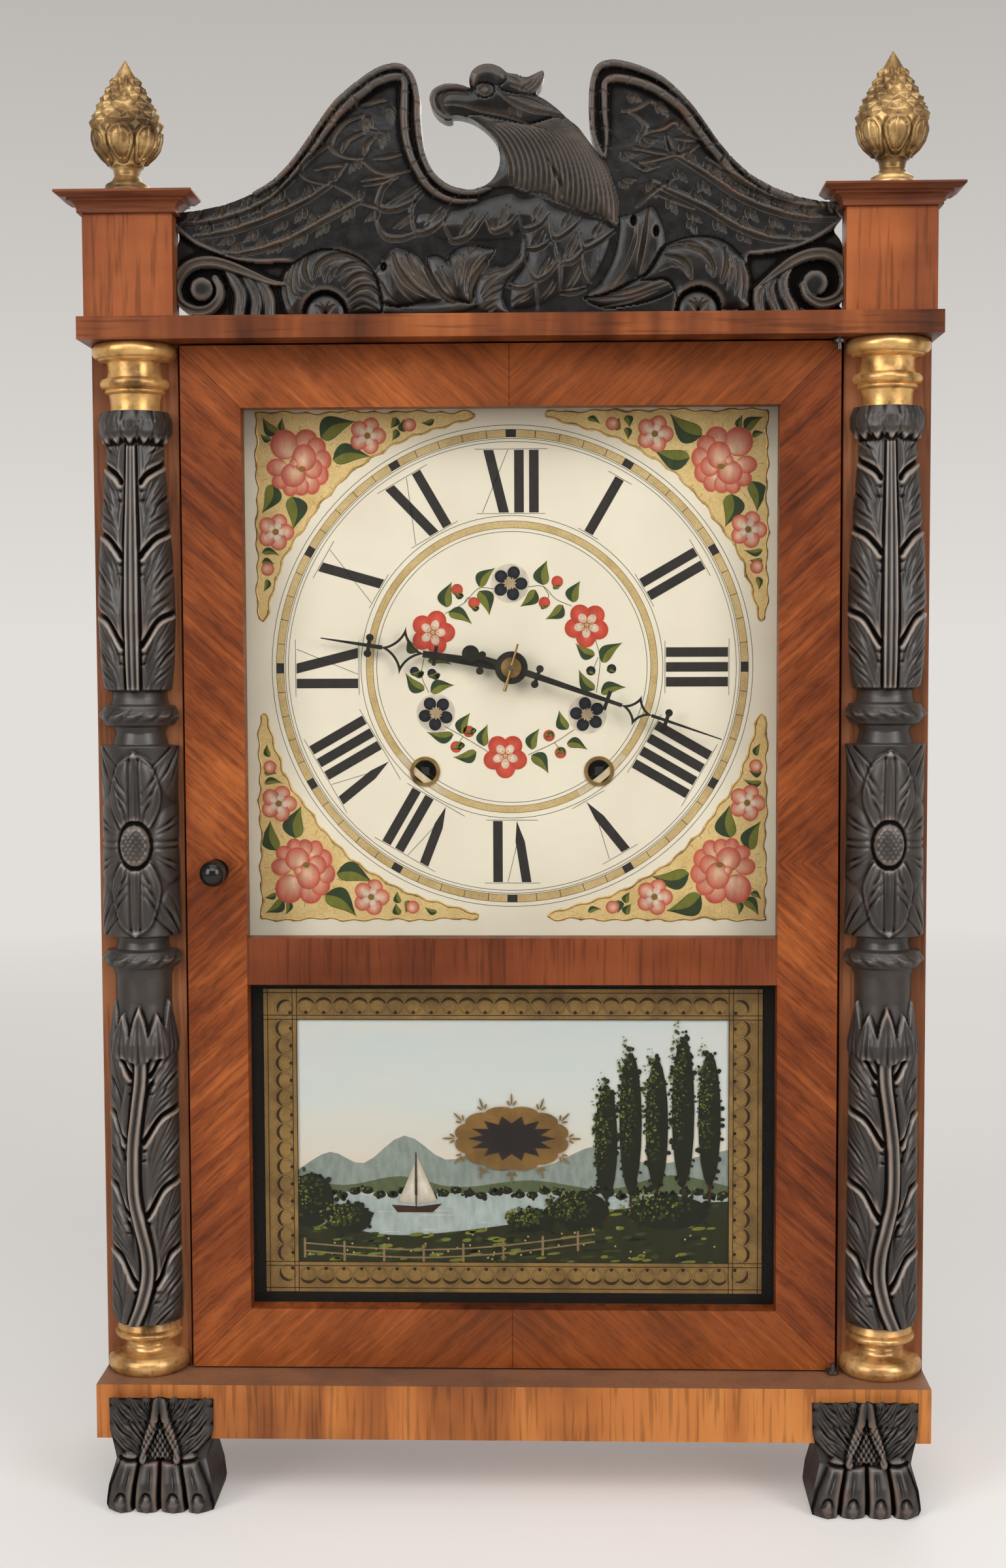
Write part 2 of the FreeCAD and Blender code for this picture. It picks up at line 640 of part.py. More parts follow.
def paw_foot():
    """A paw with four toes, a waist above them and carved hair that stands against the base board's front."""
    toe = FACE - TOE_REACH
    heel = toe + PAW_D
    bulge = TOE_BULGE
    shin = FACE - BASE_LEDGE
    hair = TOE_REACH - BASE_LEDGE
    levels = [
        (0.0, PAW_W * 0.97, toe + bulge, bulge),
        (FOOT_H * 0.20, PAW_W, toe + bulge, bulge),
        (FOOT_H * 0.45, PAW_W * 0.93, shin - hair * 0.66, bulge * 0.8),
        (FOOT_H * 0.75, PAW_W * 0.87, shin - hair * 0.52, bulge * 0.4),
        (FOOT_H, PAW_W * 0.93, shin - hair * 0.60, bulge * 0.3),
        (PAW_TOP * 0.8, PAW_W * 0.97, shin - hair * 0.55, bulge * 0.2),
        (PAW_TOP, PAW_W * 0.97, shin - hair * 0.35, bulge * 0.1),
    ]
    wires = [paw_section(z, width, front, heel, swell) for z, width, front, swell in levels]
    foot = Part.makeLoft(wires, True, False)
    foot.translate(V(PAW_X, toe - foot.optimalBoundingBox().YMin, 0))
    return foot.cut(box(-HALF, HALF, shin, BACK, FOOT_H, BASE_TOP))


def rear_foot():
    x = HALF - REAR_FOOT_INSET
    y = BACK - REAR_FOOT_INSET
    return Part.makeCone(REAR_FOOT_R * REAR_FOOT_TAPER, REAR_FOOT_R, FOOT_H, V(x, y, 0))


# Door
def hinge_pin(upper):
    if upper:
        return Part.makeCylinder(PIN_R, PIN_DEPTH + PIN_FREE, V(PIN_X, PIN_Y, CASE_TOP - PIN_FREE))
    return Part.makeCylinder(PIN_R, PIN_DEPTH + PIN_FREE, V(PIN_X, PIN_Y, BASE_TOP - PIN_DEPTH))


def hinge_plate(upper):
    """A flat plate let into the door's end, with an eye in front of the door for the pin."""
    low = DOOR_HIGH - PLATE_T if upper else DOOR_LOW
    reach = PLATE_W / 2
    tail = box(PIN_X - reach, PIN_X + PIN_INSET, PIN_Y, DOOR_FACE + PLATE_TAIL, low, low + PLATE_T)
    eye = Part.makeCylinder(reach, PLATE_T, V(PIN_X, PIN_Y, low))
    hole = Part.makeCylinder(PIN_R + RUN_FIT, PLATE_T, V(PIN_X, PIN_Y, low))
    return fuse(tail, eye).cut(hole)


def glass_pockets():
    """The rabbets behind both windows, as solids to cut away."""
    back = DOOR_BACK
    wide = WINDOW_HALF + RABBET
    dial = box(-wide, wide, GLASS_FRONT, back, DIAL_WINDOW_LOW - RABBET, DIAL_WINDOW_HIGH + RABBET)
    tablet = box(-wide, wide, GLASS_FRONT, back, TABLET_LOW - RABBET, TABLET_HIGH + RABBET)
    return dial.fuse(tablet)


def door_stile(right):
    stile = box(WINDOW_HALF, DOOR_HALF, DOOR_FACE, DOOR_BACK, DOOR_LOW, DOOR_HIGH).cut(glass_pockets())
    if right:
        return stile.cut(hinge_plate(True).fuse(hinge_plate(False)))
    stile = mirrored(stile)
    return stile.cut(rod_y(KNOB_X, KNOB_Z, DOOR_FACE, DOOR_BACK, SPINDLE_R + RUN_FIT))


def door_rail(low, high):
    return box(-WINDOW_HALF, WINDOW_HALF, DOOR_FACE, DOOR_BACK, low, high).cut(glass_pockets())


def pane(low, high):
    reach = RABBET - GLASS_PLAY
    wide = WINDOW_HALF + reach
    return box(-wide, wide, GLASS_FRONT, GLASS_FRONT + GLASS_T, low - reach, high + reach)


def latch_knob():
    """Ball, neck and collar in front of the door, with a spindle through it."""
    neck_end = DOOR_FACE - KNOB_COLLAR_T - KNOB_NECK_L
    ball = Part.makeSphere(KNOB_R, V(KNOB_X, neck_end - KNOB_R + KNOB_SEAT, KNOB_Z))
    neck = rod_y(KNOB_X, KNOB_Z, neck_end - KNOB_SEAT, DOOR_FACE, KNOB_NECK_R)
    collar = rod_y(KNOB_X, KNOB_Z, DOOR_FACE - KNOB_COLLAR_T, DOOR_FACE, KNOB_COLLAR_R)
    spindle = rod_y(KNOB_X, KNOB_Z, DOOR_FACE, TONGUE_FRONT + TONGUE_T, SPINDLE_R)
    return fuse(ball, neck, collar, spindle)


def latch_tongue():
    """Points up when the door is free, and turns behind the left case stile."""
    back = TONGUE_FRONT + TONGUE_T
    half = TONGUE_W / 2
    blade = box(KNOB_X - half, KNOB_X + half, TONGUE_FRONT, back, KNOB_Z, KNOB_Z + TONGUE_L - half)
    ends = [rod_y(KNOB_X, KNOB_Z + rise, TONGUE_FRONT, back, half) for rise in (0.0, TONGUE_L - half)]
    return fuse(blade, *ends).cut(rod_y(KNOB_X, KNOB_Z, TONGUE_FRONT, back, SPINDLE_R))


# Dial and hands
def dial_board():
    board = box(-DIAL_HALF, DIAL_HALF, DIAL_FACE, DIAL_BACK, DIAL_LOW, DIAL_HIGH)
    board = board.cut(rod_y(0, HUB_Z, DIAL_FACE, DIAL_BACK, HUB_HOLE_R))
    for x in (-WIND_X, WIND_X):
        board = board.cut(rod_y(x, WIND_Z, DIAL_FACE, DIAL_BACK, GROMMET_HOLE_R + GROMMET_WALL))
    return board


def grommet(x):
    lip = rod_y(x, WIND_Z, DIAL_FACE - GROMMET_LIP_T, DIAL_FACE, GROMMET_R)
    tube = rod_y(x, WIND_Z, DIAL_FACE, DIAL_BACK, GROMMET_HOLE_R + GROMMET_WALL)
    hole = rod_y(x, WIND_Z, DIAL_FACE - GROMMET_LIP_T, DIAL_BACK, GROMMET_HOLE_R)
    return fuse(lip, tube).cut(hole)


def diamond(at, width, rise, inset):
    """A face with four drawn-in sides, moved inwards by inset with the sides kept parallel."""
    middle = V(width, 0, rise) * (0.5 - 0.5 * LOOP_PULL)
    side = arc_edge(V(width, 0, 0), middle, V(0, 0, rise)).Curve
    centre = side.Center
    radius = side.Radius + inset
    tip_x = centre.x - math.sqrt(radius ** 2 - centre.z ** 2)
    tip_z = centre.z - math.sqrt(radius ** 2 - centre.x ** 2)
    bend = centre + (middle - centre) * (radius / side.Radius)
    sides = []
    for sx, sz in ((1, 1), (-1, 1), (-1, -1), (1, -1)):
        ends = [V(sx * tip_x, 0, at), V(0, 0, at + sz * tip_z)]
        if sx != sz:
            ends.reverse()
        sides.append(arc_edge(ends[0], V(sx * bend.x, 0, at + sz * bend.z), ends[1]))
    return Part.Face(Part.Wire(sides))


def tapered(root, root_half, end, end_half):
    """A flat bar of a hand between two heights."""
    corners = [V(-root_half, 0, root), V(root_half, 0, root), V(end_half, 0, end), V(-end_half, 0, end)]
    return polyline_face(corners).extrude(V(0, HAND_T, 0))


def crossbar(at, half, width):
    return box(-half, half, 0, HAND_T, at - width / 2, at + width / 2)


def hand(length, bars, loop_w, loop_h, stations, hole_r):
    """An upright hand: boss, bar, ball pairs, crossbar, open loop with drawn-in sides and a pointed needle."""
    bar_root, bar_end, needle = bars
    inner_balls, cross_at, loop_at, outer_balls = [share * length for share in stations]
    thick = V(0, HAND_T, 0)
    outside = diamond(loop_at, loop_w, loop_h, 0.0).extrude(thick)
    loop = outside.cut(diamond(loop_at, loop_w, loop_h, HAND_EDGE).extrude(thick))
    pieces = [
        tapered(0, bar_root, loop_at - loop_h + HAND_EDGE, bar_end),
        tapered(loop_at + loop_h - HAND_EDGE, needle, length, HAND_POINT),
        crossbar(cross_at, HAND_BALL_X + HAND_CROSSBAR / 2, HAND_CROSSBAR),
    ]
    for at in (inner_balls, outer_balls):
        pieces.append(crossbar(at, HAND_BALL_X, HAND_CROSSBAR))
        for side in (-1, 1):
            pieces.append(rod_y(side * HAND_BALL_X, at, 0, HAND_T, HAND_BALL_R))
    boss = rod_y(0, 0, 0, HAND_T, HAND_BOSS_R)
    return fuse(boss, loop, *pieces).cut(rod_y(0, 0, 0, HAND_T, hole_r))


def placed_hand(shape, angle, front):
    shape.rotate(V(0, 0, 0), V(0, 1, 0), angle)
    shape.translate(V(0, front, HUB_Z))
    return shape


def hour_hand():
    bars = (HOUR_BAR_ROOT, HOUR_BAR_END, HOUR_NEEDLE)
    shape = hand(HOUR_L, bars, HOUR_LOOP_W, HOUR_L * HOUR_LOOP_SHARE, HOUR_STATIONS, PIPE_R)
    return placed_hand(shape, HOUR_ANGLE, HOUR_FRONT)


def minute_hand():
    """Has a tail with a disc that balances it."""
    bars = (MINUTE_BAR_ROOT, MINUTE_BAR_END, MINUTE_NEEDLE)
    shape = hand(MINUTE_L, bars, MINUTE_LOOP_W, MINUTE_L * MINUTE_LOOP_SHARE, MINUTE_STATIONS, PIVOT_R)
    tail = tapered(-MINUTE_TAIL_L, MINUTE_BAR_END, 0, MINUTE_BAR_ROOT)
    disc = rod_y(0, -MINUTE_TAIL_L, 0, HAND_T, MINUTE_DISC_R)
    balanced = fuse(shape, tail, disc).cut(rod_y(0, 0, 0, HAND_T, PIVOT_R))
    return placed_hand(balanced, MINUTE_ANGLE, MINUTE_FRONT)


def hand_washer():
    disc = rod_y(0, HUB_Z, WASHER_FRONT, MINUTE_FRONT, WASHER_R)
    return disc.cut(rod_y(0, HUB_Z, WASHER_FRONT, MINUTE_FRONT, PIVOT_R))


def taper_pin():
    """Goes through the minute arbor in front of the washer."""
    low_end = V(0, WASHER_FRONT - TAPER_R, -TAPER_L / 2)
    pin = Part.makeCone(TAPER_R, TAPER_R * 0.6, TAPER_L, low_end, V(0, 0, 1))
    pin.rotate(V(0, 0, 0), V(0, 1, 0), TAPER_TILT)
    pin.translate(V(0, 0, HUB_Z))
    return pin


# Wheels
def gear(x, z, y0, thick, teeth, pitch_r, tooth_at, bore=0.0):
    """A toothed disc with one tooth centred on the direction tooth_at, in degrees from +X towards +Z."""
    module = 2 * pitch_r / teeth
    tip = pitch_r + TOOTH_TIP * module
    root = pitch_r - TOOTH_ROOT * module
    foot = TOOTH_FOOT_SHARE
    top = TOOTH_TOP_SHARE
    step = 2 * math.pi / teeth
    points = []
    for i in range(teeth):
        a = math.radians(tooth_at) + i * step
        for r, share in ((root, -foot), (tip, -top), (tip, top), (root, foot)):
            b = a + share * step
            points.append(V(r * math.cos(b), 0, r * math.sin(b)))
    disc = polyline_face(points).extrude(V(0, thick, 0))
    disc.translate(V(x, y0, z))
    if bore:
        disc = disc.cut(rod_y(x, z, y0, y0 + thick, bore))
    return disc


def heading(a, b):
    """Direction from point a to point b, both (x, z), in degrees."""
    return math.degrees(math.atan2(b[1] - a[1], b[0] - a[0]))


def gap_heading(a, b, teeth):
    """Like heading, turned by half a tooth, so that a gap faces b."""
    return heading(a, b) + 180.0 / teeth


def split(total, large, small):
    """Pitch radii of a meshing pair from its centre distance and teeth."""
    return total * large / (large + small), total * small / (large + small)


def distance(a, b):
    return math.hypot(b[0] - a[0], b[1] - a[1])


HUB = (0.0, HUB_Z)
TIME_AXIS = (WIND_X, WIND_Z)
STRIKE_AXIS = (-WIND_X, WIND_Z)
ESCAPE_AXIS = (0.0, ESCAPE_Z)
SECOND_AXIS = (SECOND_X, HUB_Z - SECOND_DROP)
THIRD_AXIS = (0.0, HUB_Z - THIRD_DROP)
PIN_WHEEL_AXIS = (-SECOND_X, HUB_Z - SECOND_DROP)
FLY_AXIS = (-FLY_X, HUB_Z + FLY_RISE)
GREAT_TEETH = 44
PINION_TEETH = 8
SECOND_TEETH = 32
CENTRE_TEETH = 36
THIRD_TEETH = 36
PIN_TEETH = 24
CANNON_TEETH = 10
MINUTE_TEETH = 30
MINUTE_PINION_TEETH = 8
HOUR_TEETH = 32
MINUTE_AXIS = ((CANNON_TEETH + MINUTE_TEETH) / 2 * TOOTH_MODULE, HUB_Z)

THIRD_PLANE = FRONT_PLATE_BACK + WHEEL_GAP
DRUM_PLANE = THIRD_PLANE + WHEEL_T + 2 * WHEEL_GAP
CENTRE_PLANE = FRONT_PLATE_BACK + PLATE_SPACE * 0.4
SECOND_PLANE = DRUM_PLANE + DRUM_L + WHEEL_GAP
GREAT_PLANE = SECOND_PLANE + WHEEL_T + WHEEL_GAP
HOUR_PLANE = DIAL_BACK + MOTION_SPACE * 0.25
CANNON_PLANE = HOUR_PLANE + WHEEL_T + WHEEL_GAP
ESCAPE_PLANE = FRONT_PLATE_FACE - WHEEL_T - ESCAPE_OFF
ROD_PLANE = DIAL_BACK + MOTION_SPACE * 0.35


def train_arbor(axis, front=None):
    """A plain arbor between the plates, with a pivot in each plate or one that runs on to the front."""
    x, z = axis
    body = rod_y(x, z, FRONT_PLATE_BACK, BACK_PLATE_FACE, ARBOR_R)
    rear = rod_y(x, z, BACK_PLATE_FACE, BACK_PLATE_FACE + PIVOT_L, PIVOT_R)
    ahead = front if front is not None else FRONT_PLATE_BACK - PIVOT_L
    return fuse(body, rear, rod_y(x, z, ahead, FRONT_PLATE_BACK, PIVOT_R))


def pinion(axis, driver, plane, pitch_r):
    """A pinion astride a driving wheel's plane, with a gap facing the driver."""
    facing = gap_heading(axis, driver, PINION_TEETH)
    start = plane + WHEEL_T / 2 - PINION_L / 2
    return gear(axis[0], axis[1], start, PINION_L, PINION_TEETH, pitch_r, facing)


def great_wheel(axis, partner):
    radius, _ = split(distance(axis, partner), GREAT_TEETH, PINION_TEETH)
    return gear(axis[0], axis[1], GREAT_PLANE, WHEEL_T, GREAT_TEETH, radius, heading(axis, partner),
                DRUM_ARBOR_R + RUN_FIT)


def second_wheel():
    _, small = split(distance(TIME_AXIS, SECOND_AXIS), GREAT_TEETH, PINION_TEETH)
    large, _ = split(distance(SECOND_AXIS, HUB), SECOND_TEETH, PINION_TEETH)
    wheel = gear(*SECOND_AXIS, SECOND_PLANE, WHEEL_T, SECOND_TEETH, large, heading(SECOND_AXIS, HUB))
    return fuse(train_arbor(SECOND_AXIS), wheel, pinion(SECOND_AXIS, TIME_AXIS, GREAT_PLANE, small))


def centre_wheel():
    """Wheel and pinion on one sleeve, which grips the minute arbor lightly so that the hands can be set."""
    _, small = split(distance(SECOND_AXIS, HUB), SECOND_TEETH, PINION_TEETH)
    large, _ = split(distance(HUB, THIRD_AXIS), CENTRE_TEETH, PINION_TEETH)
    wheel = gear(*HUB, CENTRE_PLANE, WHEEL_T, CENTRE_TEETH, large, heading(HUB, THIRD_AXIS))
    sleeve = rod_y(*HUB, CENTRE_PLANE, SECOND_PLANE + WHEEL_T, ARBOR_R * 1.7)
    whole = fuse(wheel, sleeve, pinion(HUB, SECOND_AXIS, SECOND_PLANE, small))
    return whole.cut(rod_y(*HUB, FRONT_PLATE_BACK, BACK_PLATE_FACE, ARBOR_R + RUN_FIT))


def third_wheel():
    _, small = split(distance(HUB, THIRD_AXIS), CENTRE_TEETH, PINION_TEETH)
    large, _ = split(distance(THIRD_AXIS, ESCAPE_AXIS), THIRD_TEETH, PINION_TEETH)
    wheel = gear(*THIRD_AXIS, THIRD_PLANE, WHEEL_T, THIRD_TEETH, large, heading(THIRD_AXIS, ESCAPE_AXIS))
    return fuse(train_arbor(THIRD_AXIS), wheel, pinion(THIRD_AXIS, HUB, CENTRE_PLANE, small))


def escape_wheel():
    """Pointed teeth in front of the front plate, with the pinion between the plates."""
    _, small = split(distance(THIRD_AXIS, ESCAPE_AXIS), THIRD_TEETH, PINION_TEETH)
    points = []
    for i in range(ESCAPE_TEETH):
        for r, share in ((ESCAPE_R * 0.82, 0.0), (ESCAPE_R, 0.15), (ESCAPE_R * 0.82, 0.9)):
            a = (i + share) * 2 * math.pi / ESCAPE_TEETH
            points.append(V(r * math.cos(a), 0, r * math.sin(a)))
    disc = polyline_face(points).extrude(V(0, WHEEL_T, 0))
    disc.translate(V(ESCAPE_AXIS[0], ESCAPE_PLANE, ESCAPE_AXIS[1]))
    arbor = train_arbor(ESCAPE_AXIS, ESCAPE_PLANE)
    return fuse(arbor, disc, pinion(ESCAPE_AXIS, THIRD_AXIS, THIRD_PLANE, small))


def pin_wheel():
    """The strike train's wheel, whose pins lift the hammer."""
    _, small = split(distance(STRIKE_AXIS, PIN_WHEEL_AXIS), GREAT_TEETH, PINION_TEETH)
    large, _ = split(distance(PIN_WHEEL_AXIS, FLY_AXIS), PIN_TEETH, PINION_TEETH)
    wheel = gear(*PIN_WHEEL_AXIS, SECOND_PLANE, WHEEL_T, PIN_TEETH, large, heading(PIN_WHEEL_AXIS, FLY_AXIS))
    pieces = [wheel, pinion(PIN_WHEEL_AXIS, STRIKE_AXIS, GREAT_PLANE, small)]
    reach = large * 0.72
    for i in range(LIFT_PINS):
        a = 2 * math.pi * i / LIFT_PINS
        x = PIN_WHEEL_AXIS[0] + reach * math.cos(a)
        z = PIN_WHEEL_AXIS[1] + reach * math.sin(a)
        pieces.append(rod_y(x, z, SECOND_PLANE - LIFT_PIN_L, SECOND_PLANE, LIFT_PIN_R))
    return fuse(train_arbor(PIN_WHEEL_AXIS), *pieces)


def strike_fly():
    """A two bladed fan that slows the strike train."""
    _, small = split(distance(PIN_WHEEL_AXIS, FLY_AXIS), PIN_TEETH, PINION_TEETH)
    x, z = FLY_AXIS
    half = FLY_T / 2
    blade = box(x - FLY_REACH, x + FLY_REACH, DRUM_PLANE, DRUM_PLANE + FLY_W, z - half, z + half)
    blade.rotate(V(x, DRUM_PLANE, z), V(0, 1, 0), FLY_TILT)
    return fuse(train_arbor(FLY_AXIS), blade, pinion(FLY_AXIS, PIN_WHEEL_AXIS, SECOND_PLANE, small))


def drum(axis):
    """A winding drum between flanges, on an arbor with a winding square behind the dial."""
    x, z = axis
    end = DRUM_PLANE + DRUM_L
    barrel = rod_y(x, z, DRUM_PLANE, end, DRUM_R)
    thick = DRUM_FLANGE_T
    flanges = [rod_y(x, z, y, y + thick, DRUM_R + DRUM_FLANGE) for y in (DRUM_PLANE, end - thick)]
    arbor = rod_y(x, z, FRONT_PLATE_BACK, BACK_PLATE_FACE, DRUM_ARBOR_R)
    tip = DIAL_FACE + WIND_TIP
    pivots = rod_y(x, z, tip + WIND_SQUARE_L - SQUARE_ROOT, BACK_PLATE_FACE + PIVOT_L, DRUM_PIVOT_R)
    half = WIND_SQUARE / 2
    square = box(x - half, x + half, tip, tip + WIND_SQUARE_L, z - half, z + half)
    return fuse(barrel, arbor, pivots, square, *flanges)


# Motion work in front of the front plate
def minute_arbor():
    """Runs through both plates and the hands, with the pinion of the motion work in front of the plate."""
    facing = gap_heading(HUB, MINUTE_AXIS, CANNON_TEETH)
    radius = CANNON_TEETH * TOOTH_MODULE / 2
    body = rod_y(*HUB, FRONT_PLATE_BACK, BACK_PLATE_FACE, ARBOR_R)
    rear = rod_y(*HUB, BACK_PLATE_FACE, BACK_PLATE_FACE + PIVOT_L, PIVOT_R)
    front = rod_y(*HUB, WASHER_FRONT - 2.4 * TAPER_R, FRONT_PLATE_BACK, PIVOT_R)
    cannon = gear(*HUB, CANNON_PLANE, WHEEL_T, CANNON_TEETH, radius, facing)
    return fuse(body, rear, front, cannon).cut(taper_pin())


def minute_wheel():
    """Driven by the minute arbor, with a pinion that drives the hour wheel, loose on a stud of the plate."""
    large = MINUTE_TEETH * TOOTH_MODULE / 2
    small = MINUTE_PINION_TEETH * TOOTH_MODULE / 2
    wheel = gear(*MINUTE_AXIS, CANNON_PLANE, WHEEL_T, MINUTE_TEETH, large, heading(MINUTE_AXIS, HUB))
    facing = gap_heading(MINUTE_AXIS, HUB, MINUTE_PINION_TEETH)
    leaf = gear(*MINUTE_AXIS, HOUR_PLANE, CANNON_PLANE - HOUR_PLANE, MINUTE_PINION_TEETH, small, facing)
    return fuse(wheel, leaf).cut(rod_y(*MINUTE_AXIS, HOUR_PLANE, FRONT_PLATE_FACE, STUD_R + RUN_FIT))


def hour_wheel():
    """A wheel on a pipe that runs over the minute arbor and carries the hour hand in front of the dial."""
    radius = HOUR_TEETH * TOOTH_MODULE / 2
    wheel = gear(*HUB, HOUR_PLANE, WHEEL_T, HOUR_TEETH, radius, heading(HUB, MINUTE_AXIS))
    pipe = rod_y(*HUB, HOUR_FRONT, HOUR_PLANE + WHEEL_T, PIPE_R)
    return fuse(wheel, pipe).cut(rod_y(*HUB, HOUR_FRONT, HOUR_PLANE + WHEEL_T, PIVOT_R + RUN_FIT))


# Plates
def movement_plate(face):
    return box(-PLATE_HALF_W, PLATE_HALF_W, face, face + MOVEMENT_PLATE_T, PLATE_LOW, PLATE_LOW + PLATE_TALL)


TRAIN_AXES = [SECOND_AXIS, THIRD_AXIS, PIN_WHEEL_AXIS, FLY_AXIS]
HAMMER_AXIS = (HAMMER_X, HAMMER_Z)


def plate_holes(plate, drilled, pivot_r):
    for axis in drilled:
        plate = plate.cut(rod_y(*axis, FRONT_PLATE_FACE, BACK_PLATE_BACK, pivot_r))
    return plate


def front_plate():
    """Carries the stud of the minute wheel and the stud of the verge and the pendulum."""
    plate = movement_plate(FRONT_PLATE_FACE)
    plate = plate_holes(plate, TRAIN_AXES + [ESCAPE_AXIS, HUB, HAMMER_AXIS], PIVOT_R + RUN_FIT)
    plate = plate_holes(plate, [TIME_AXIS, STRIKE_AXIS], DRUM_PIVOT_R + RUN_FIT)
    stud = rod_y(*MINUTE_AXIS, HOUR_PLANE, FRONT_PLATE_FACE, STUD_R)
    verge_stud = rod_y(0, VERGE_Z, ROD_PLANE - 2 * ROD_R, FRONT_PLATE_FACE, VERGE_STUD_R)
    return fuse(plate, stud, verge_stud)


def back_plate():
    plate = movement_plate(BACK_PLATE_FACE)
    plate = plate_holes(plate, TRAIN_AXES + [ESCAPE_AXIS, HUB, HAMMER_AXIS], PIVOT_R + RUN_FIT)
    return plate_holes(plate, [TIME_AXIS, STRIKE_AXIS], DRUM_PIVOT_R + RUN_FIT)


def plate_pillars():
    x = PLATE_HALF_W - PILLAR_INSET
    low = PLATE_LOW + PILLAR_INSET
    high = PLATE_LOW + PLATE_TALL - PILLAR_INSET
    spots = [(-x, low), (x, low), (-x, high), (x, high)]
    return [rod_y(*spot, FRONT_PLATE_BACK, BACK_PLATE_FACE, PILLAR_R) for spot in spots]


# Escapement
def verge():
    """An anchor over the escape wheel with a crutch that holds the pendulum rod between two prongs."""
    reach = PALLET_REACH
    nose = PALLET_NOSE
    pallet = ESCAPE_Z + ESCAPE_R
    front = ESCAPE_PLANE
    arm = VERGE_Z - VERGE_STUD_R
    outline = [
        V(-reach, 0, pallet - nose * 1.25), V(-reach + nose, 0, pallet - nose * 0.75),
        V(-reach * 0.4, 0, arm), V(reach * 0.4, 0, arm),
        V(reach - nose, 0, pallet - nose * 0.75), V(reach, 0, pallet - nose * 1.25),
        V(reach * 0.77, 0, VERGE_Z + nose), V(0, 0, VERGE_Z + nose * 2.25),
        V(-reach * 0.77, 0, VERGE_Z + nose),
    ]
    anchor = polyline_face(outline).extrude(V(0, WHEEL_T, 0))
    anchor.translate(V(0, front, 0))
    inner = ROD_R + CRUTCH_PLAY
    outer = inner + 2 * CRUTCH_R
    cheek = front - VERGE_CHEEK
    collar = rod_y(0, VERGE_Z, cheek, front + WHEEL_T, VERGE_HUB_R)
    prong_z = VERGE_Z - CRUTCH_DROP
    prongs = [rod_y(side * (inner + CRUTCH_R), prong_z, ROD_PLANE - ROD_R, front + CRUTCH_R, CRUTCH_R)
              for side in (-1, 1)]
    bridge = box(-outer, outer, cheek, front, prong_z - CRUTCH_R, VERGE_Z)
    bore = rod_y(0, VERGE_Z, ROD_PLANE, FRONT_PLATE_FACE, VERGE_STUD_R + RUN_FIT)
    return fuse(anchor, bridge, collar, *prongs).cut(bore)


def pendulum_rod():
    """A wire with an eye on the stud and a threaded end under the bob."""
    half = ROD_R + EYE_LIP
    eye = rod_y(0, VERGE_Z, ROD_PLANE - half, ROD_PLANE + half, VERGE_STUD_R + 2 * ROD_R)
    low = VERGE_Z - PENDULUM_L - BOB_R - ROD_TAIL
    high = VERGE_Z - VERGE_STUD_R - ROD_R
    wire = Part.makeCylinder(ROD_R, high - low, V(0, ROD_PLANE, low))
    return fuse(eye, wire).cut(rod_y(0, VERGE_Z, ROD_PLANE - half, ROD_PLANE + half, VERGE_STUD_R + RUN_FIT))


def pendulum_bob():
    """A lens with a bore for the wire."""
    half = BOB_T / 2
    moves = [(BOB_R * 0.3, 0.0), (BOB_R, half, 1.2), (BOB_R * 0.3, BOB_T, 1.2), (0.0, BOB_T)]
    lens = turned_y((0.0, 0.0), moves, 0, ROD_PLANE - half, VERGE_Z - PENDULUM_L)
    low = VERGE_Z - PENDULUM_L - BOB_R
    return lens.cut(Part.makeCylinder(ROD_R, 2 * BOB_R, V(0, ROD_PLANE, low)))


# Strike and weights
def bell_post():
    """The bell's post, driven into the backboard."""
    return rod_y(0, BELL_Z, BELL_BACK - BELL_DEPTH - BELL_POST_END, BACKBOARD_FACE + BACK_T / 2, BELL_POST_R)


def bell():
    """A cup bell whose rim faces back, on a post in the backboard."""
    rim = BELL_R
    inner = rim - BELL_WALL
    crown = BELL_R * 0.35
    outer = [(crown, 0.0), (rim * 0.9, BELL_DEPTH * 0.5, 3.0), (rim, BELL_DEPTH, 0.4)]
    inside = [(inner, BELL_DEPTH), (inner * 0.9, BELL_DEPTH * 0.5, -0.4)]
    inside += [(crown, BELL_WALL, -3.0), (0.0, BELL_WALL)]
    cup = turned_y((0.0, 0.0), outer + inside, 0, BELL_BACK - BELL_DEPTH, BELL_Z)
    return fuse(cup, bell_post())


def hammer():
    """An arbor between the plates, a wire arm and a round head that rests clear of the bell."""
    head_x = -BELL_R - HAMMER_REST - HAMMER_R
    head = V(head_x, BELL_BACK - HAMMER_R * 0.8, BELL_Z)
    foot = V(HAMMER_X, head.y, HAMMER_Z)
    arbor = train_arbor(HAMMER_AXIS)
    arm = Part.makeCylinder(HAMMER_ARM_R, (head - foot).Length, foot, head - foot)
    tail = Part.makeCylinder(HAMMER_TAIL_R, HAMMER_TAIL_L, foot, V(0.7, 0, -1.0))
    ball = Part.makeSphere(HAMMER_R, head)
    return fuse(arbor, arm, tail, ball)


def weight(x):
    """A cast weight with a wire eye, standing run down on the base board."""
    r = WEIGHT_R
    edge = WEIGHT_CHAMFER
    slope = WEIGHT_SHOULDER
    moves = [(r - edge, 0.0), (r, edge), (r, WEIGHT_H - slope), (r - slope, WEIGHT_H), (0.0, WEIGHT_H)]
    body = turned((0.0, 0.0), moves, x, WEIGHT_Y, BASE_TOP)
    eye = Part.makeTorus(HOOK_R, HOOK_WIRE, V(x, WEIGHT_Y, BASE_TOP + WEIGHT_H + HOOK_R), V(0, 1, 0))
    return fuse(body, eye)


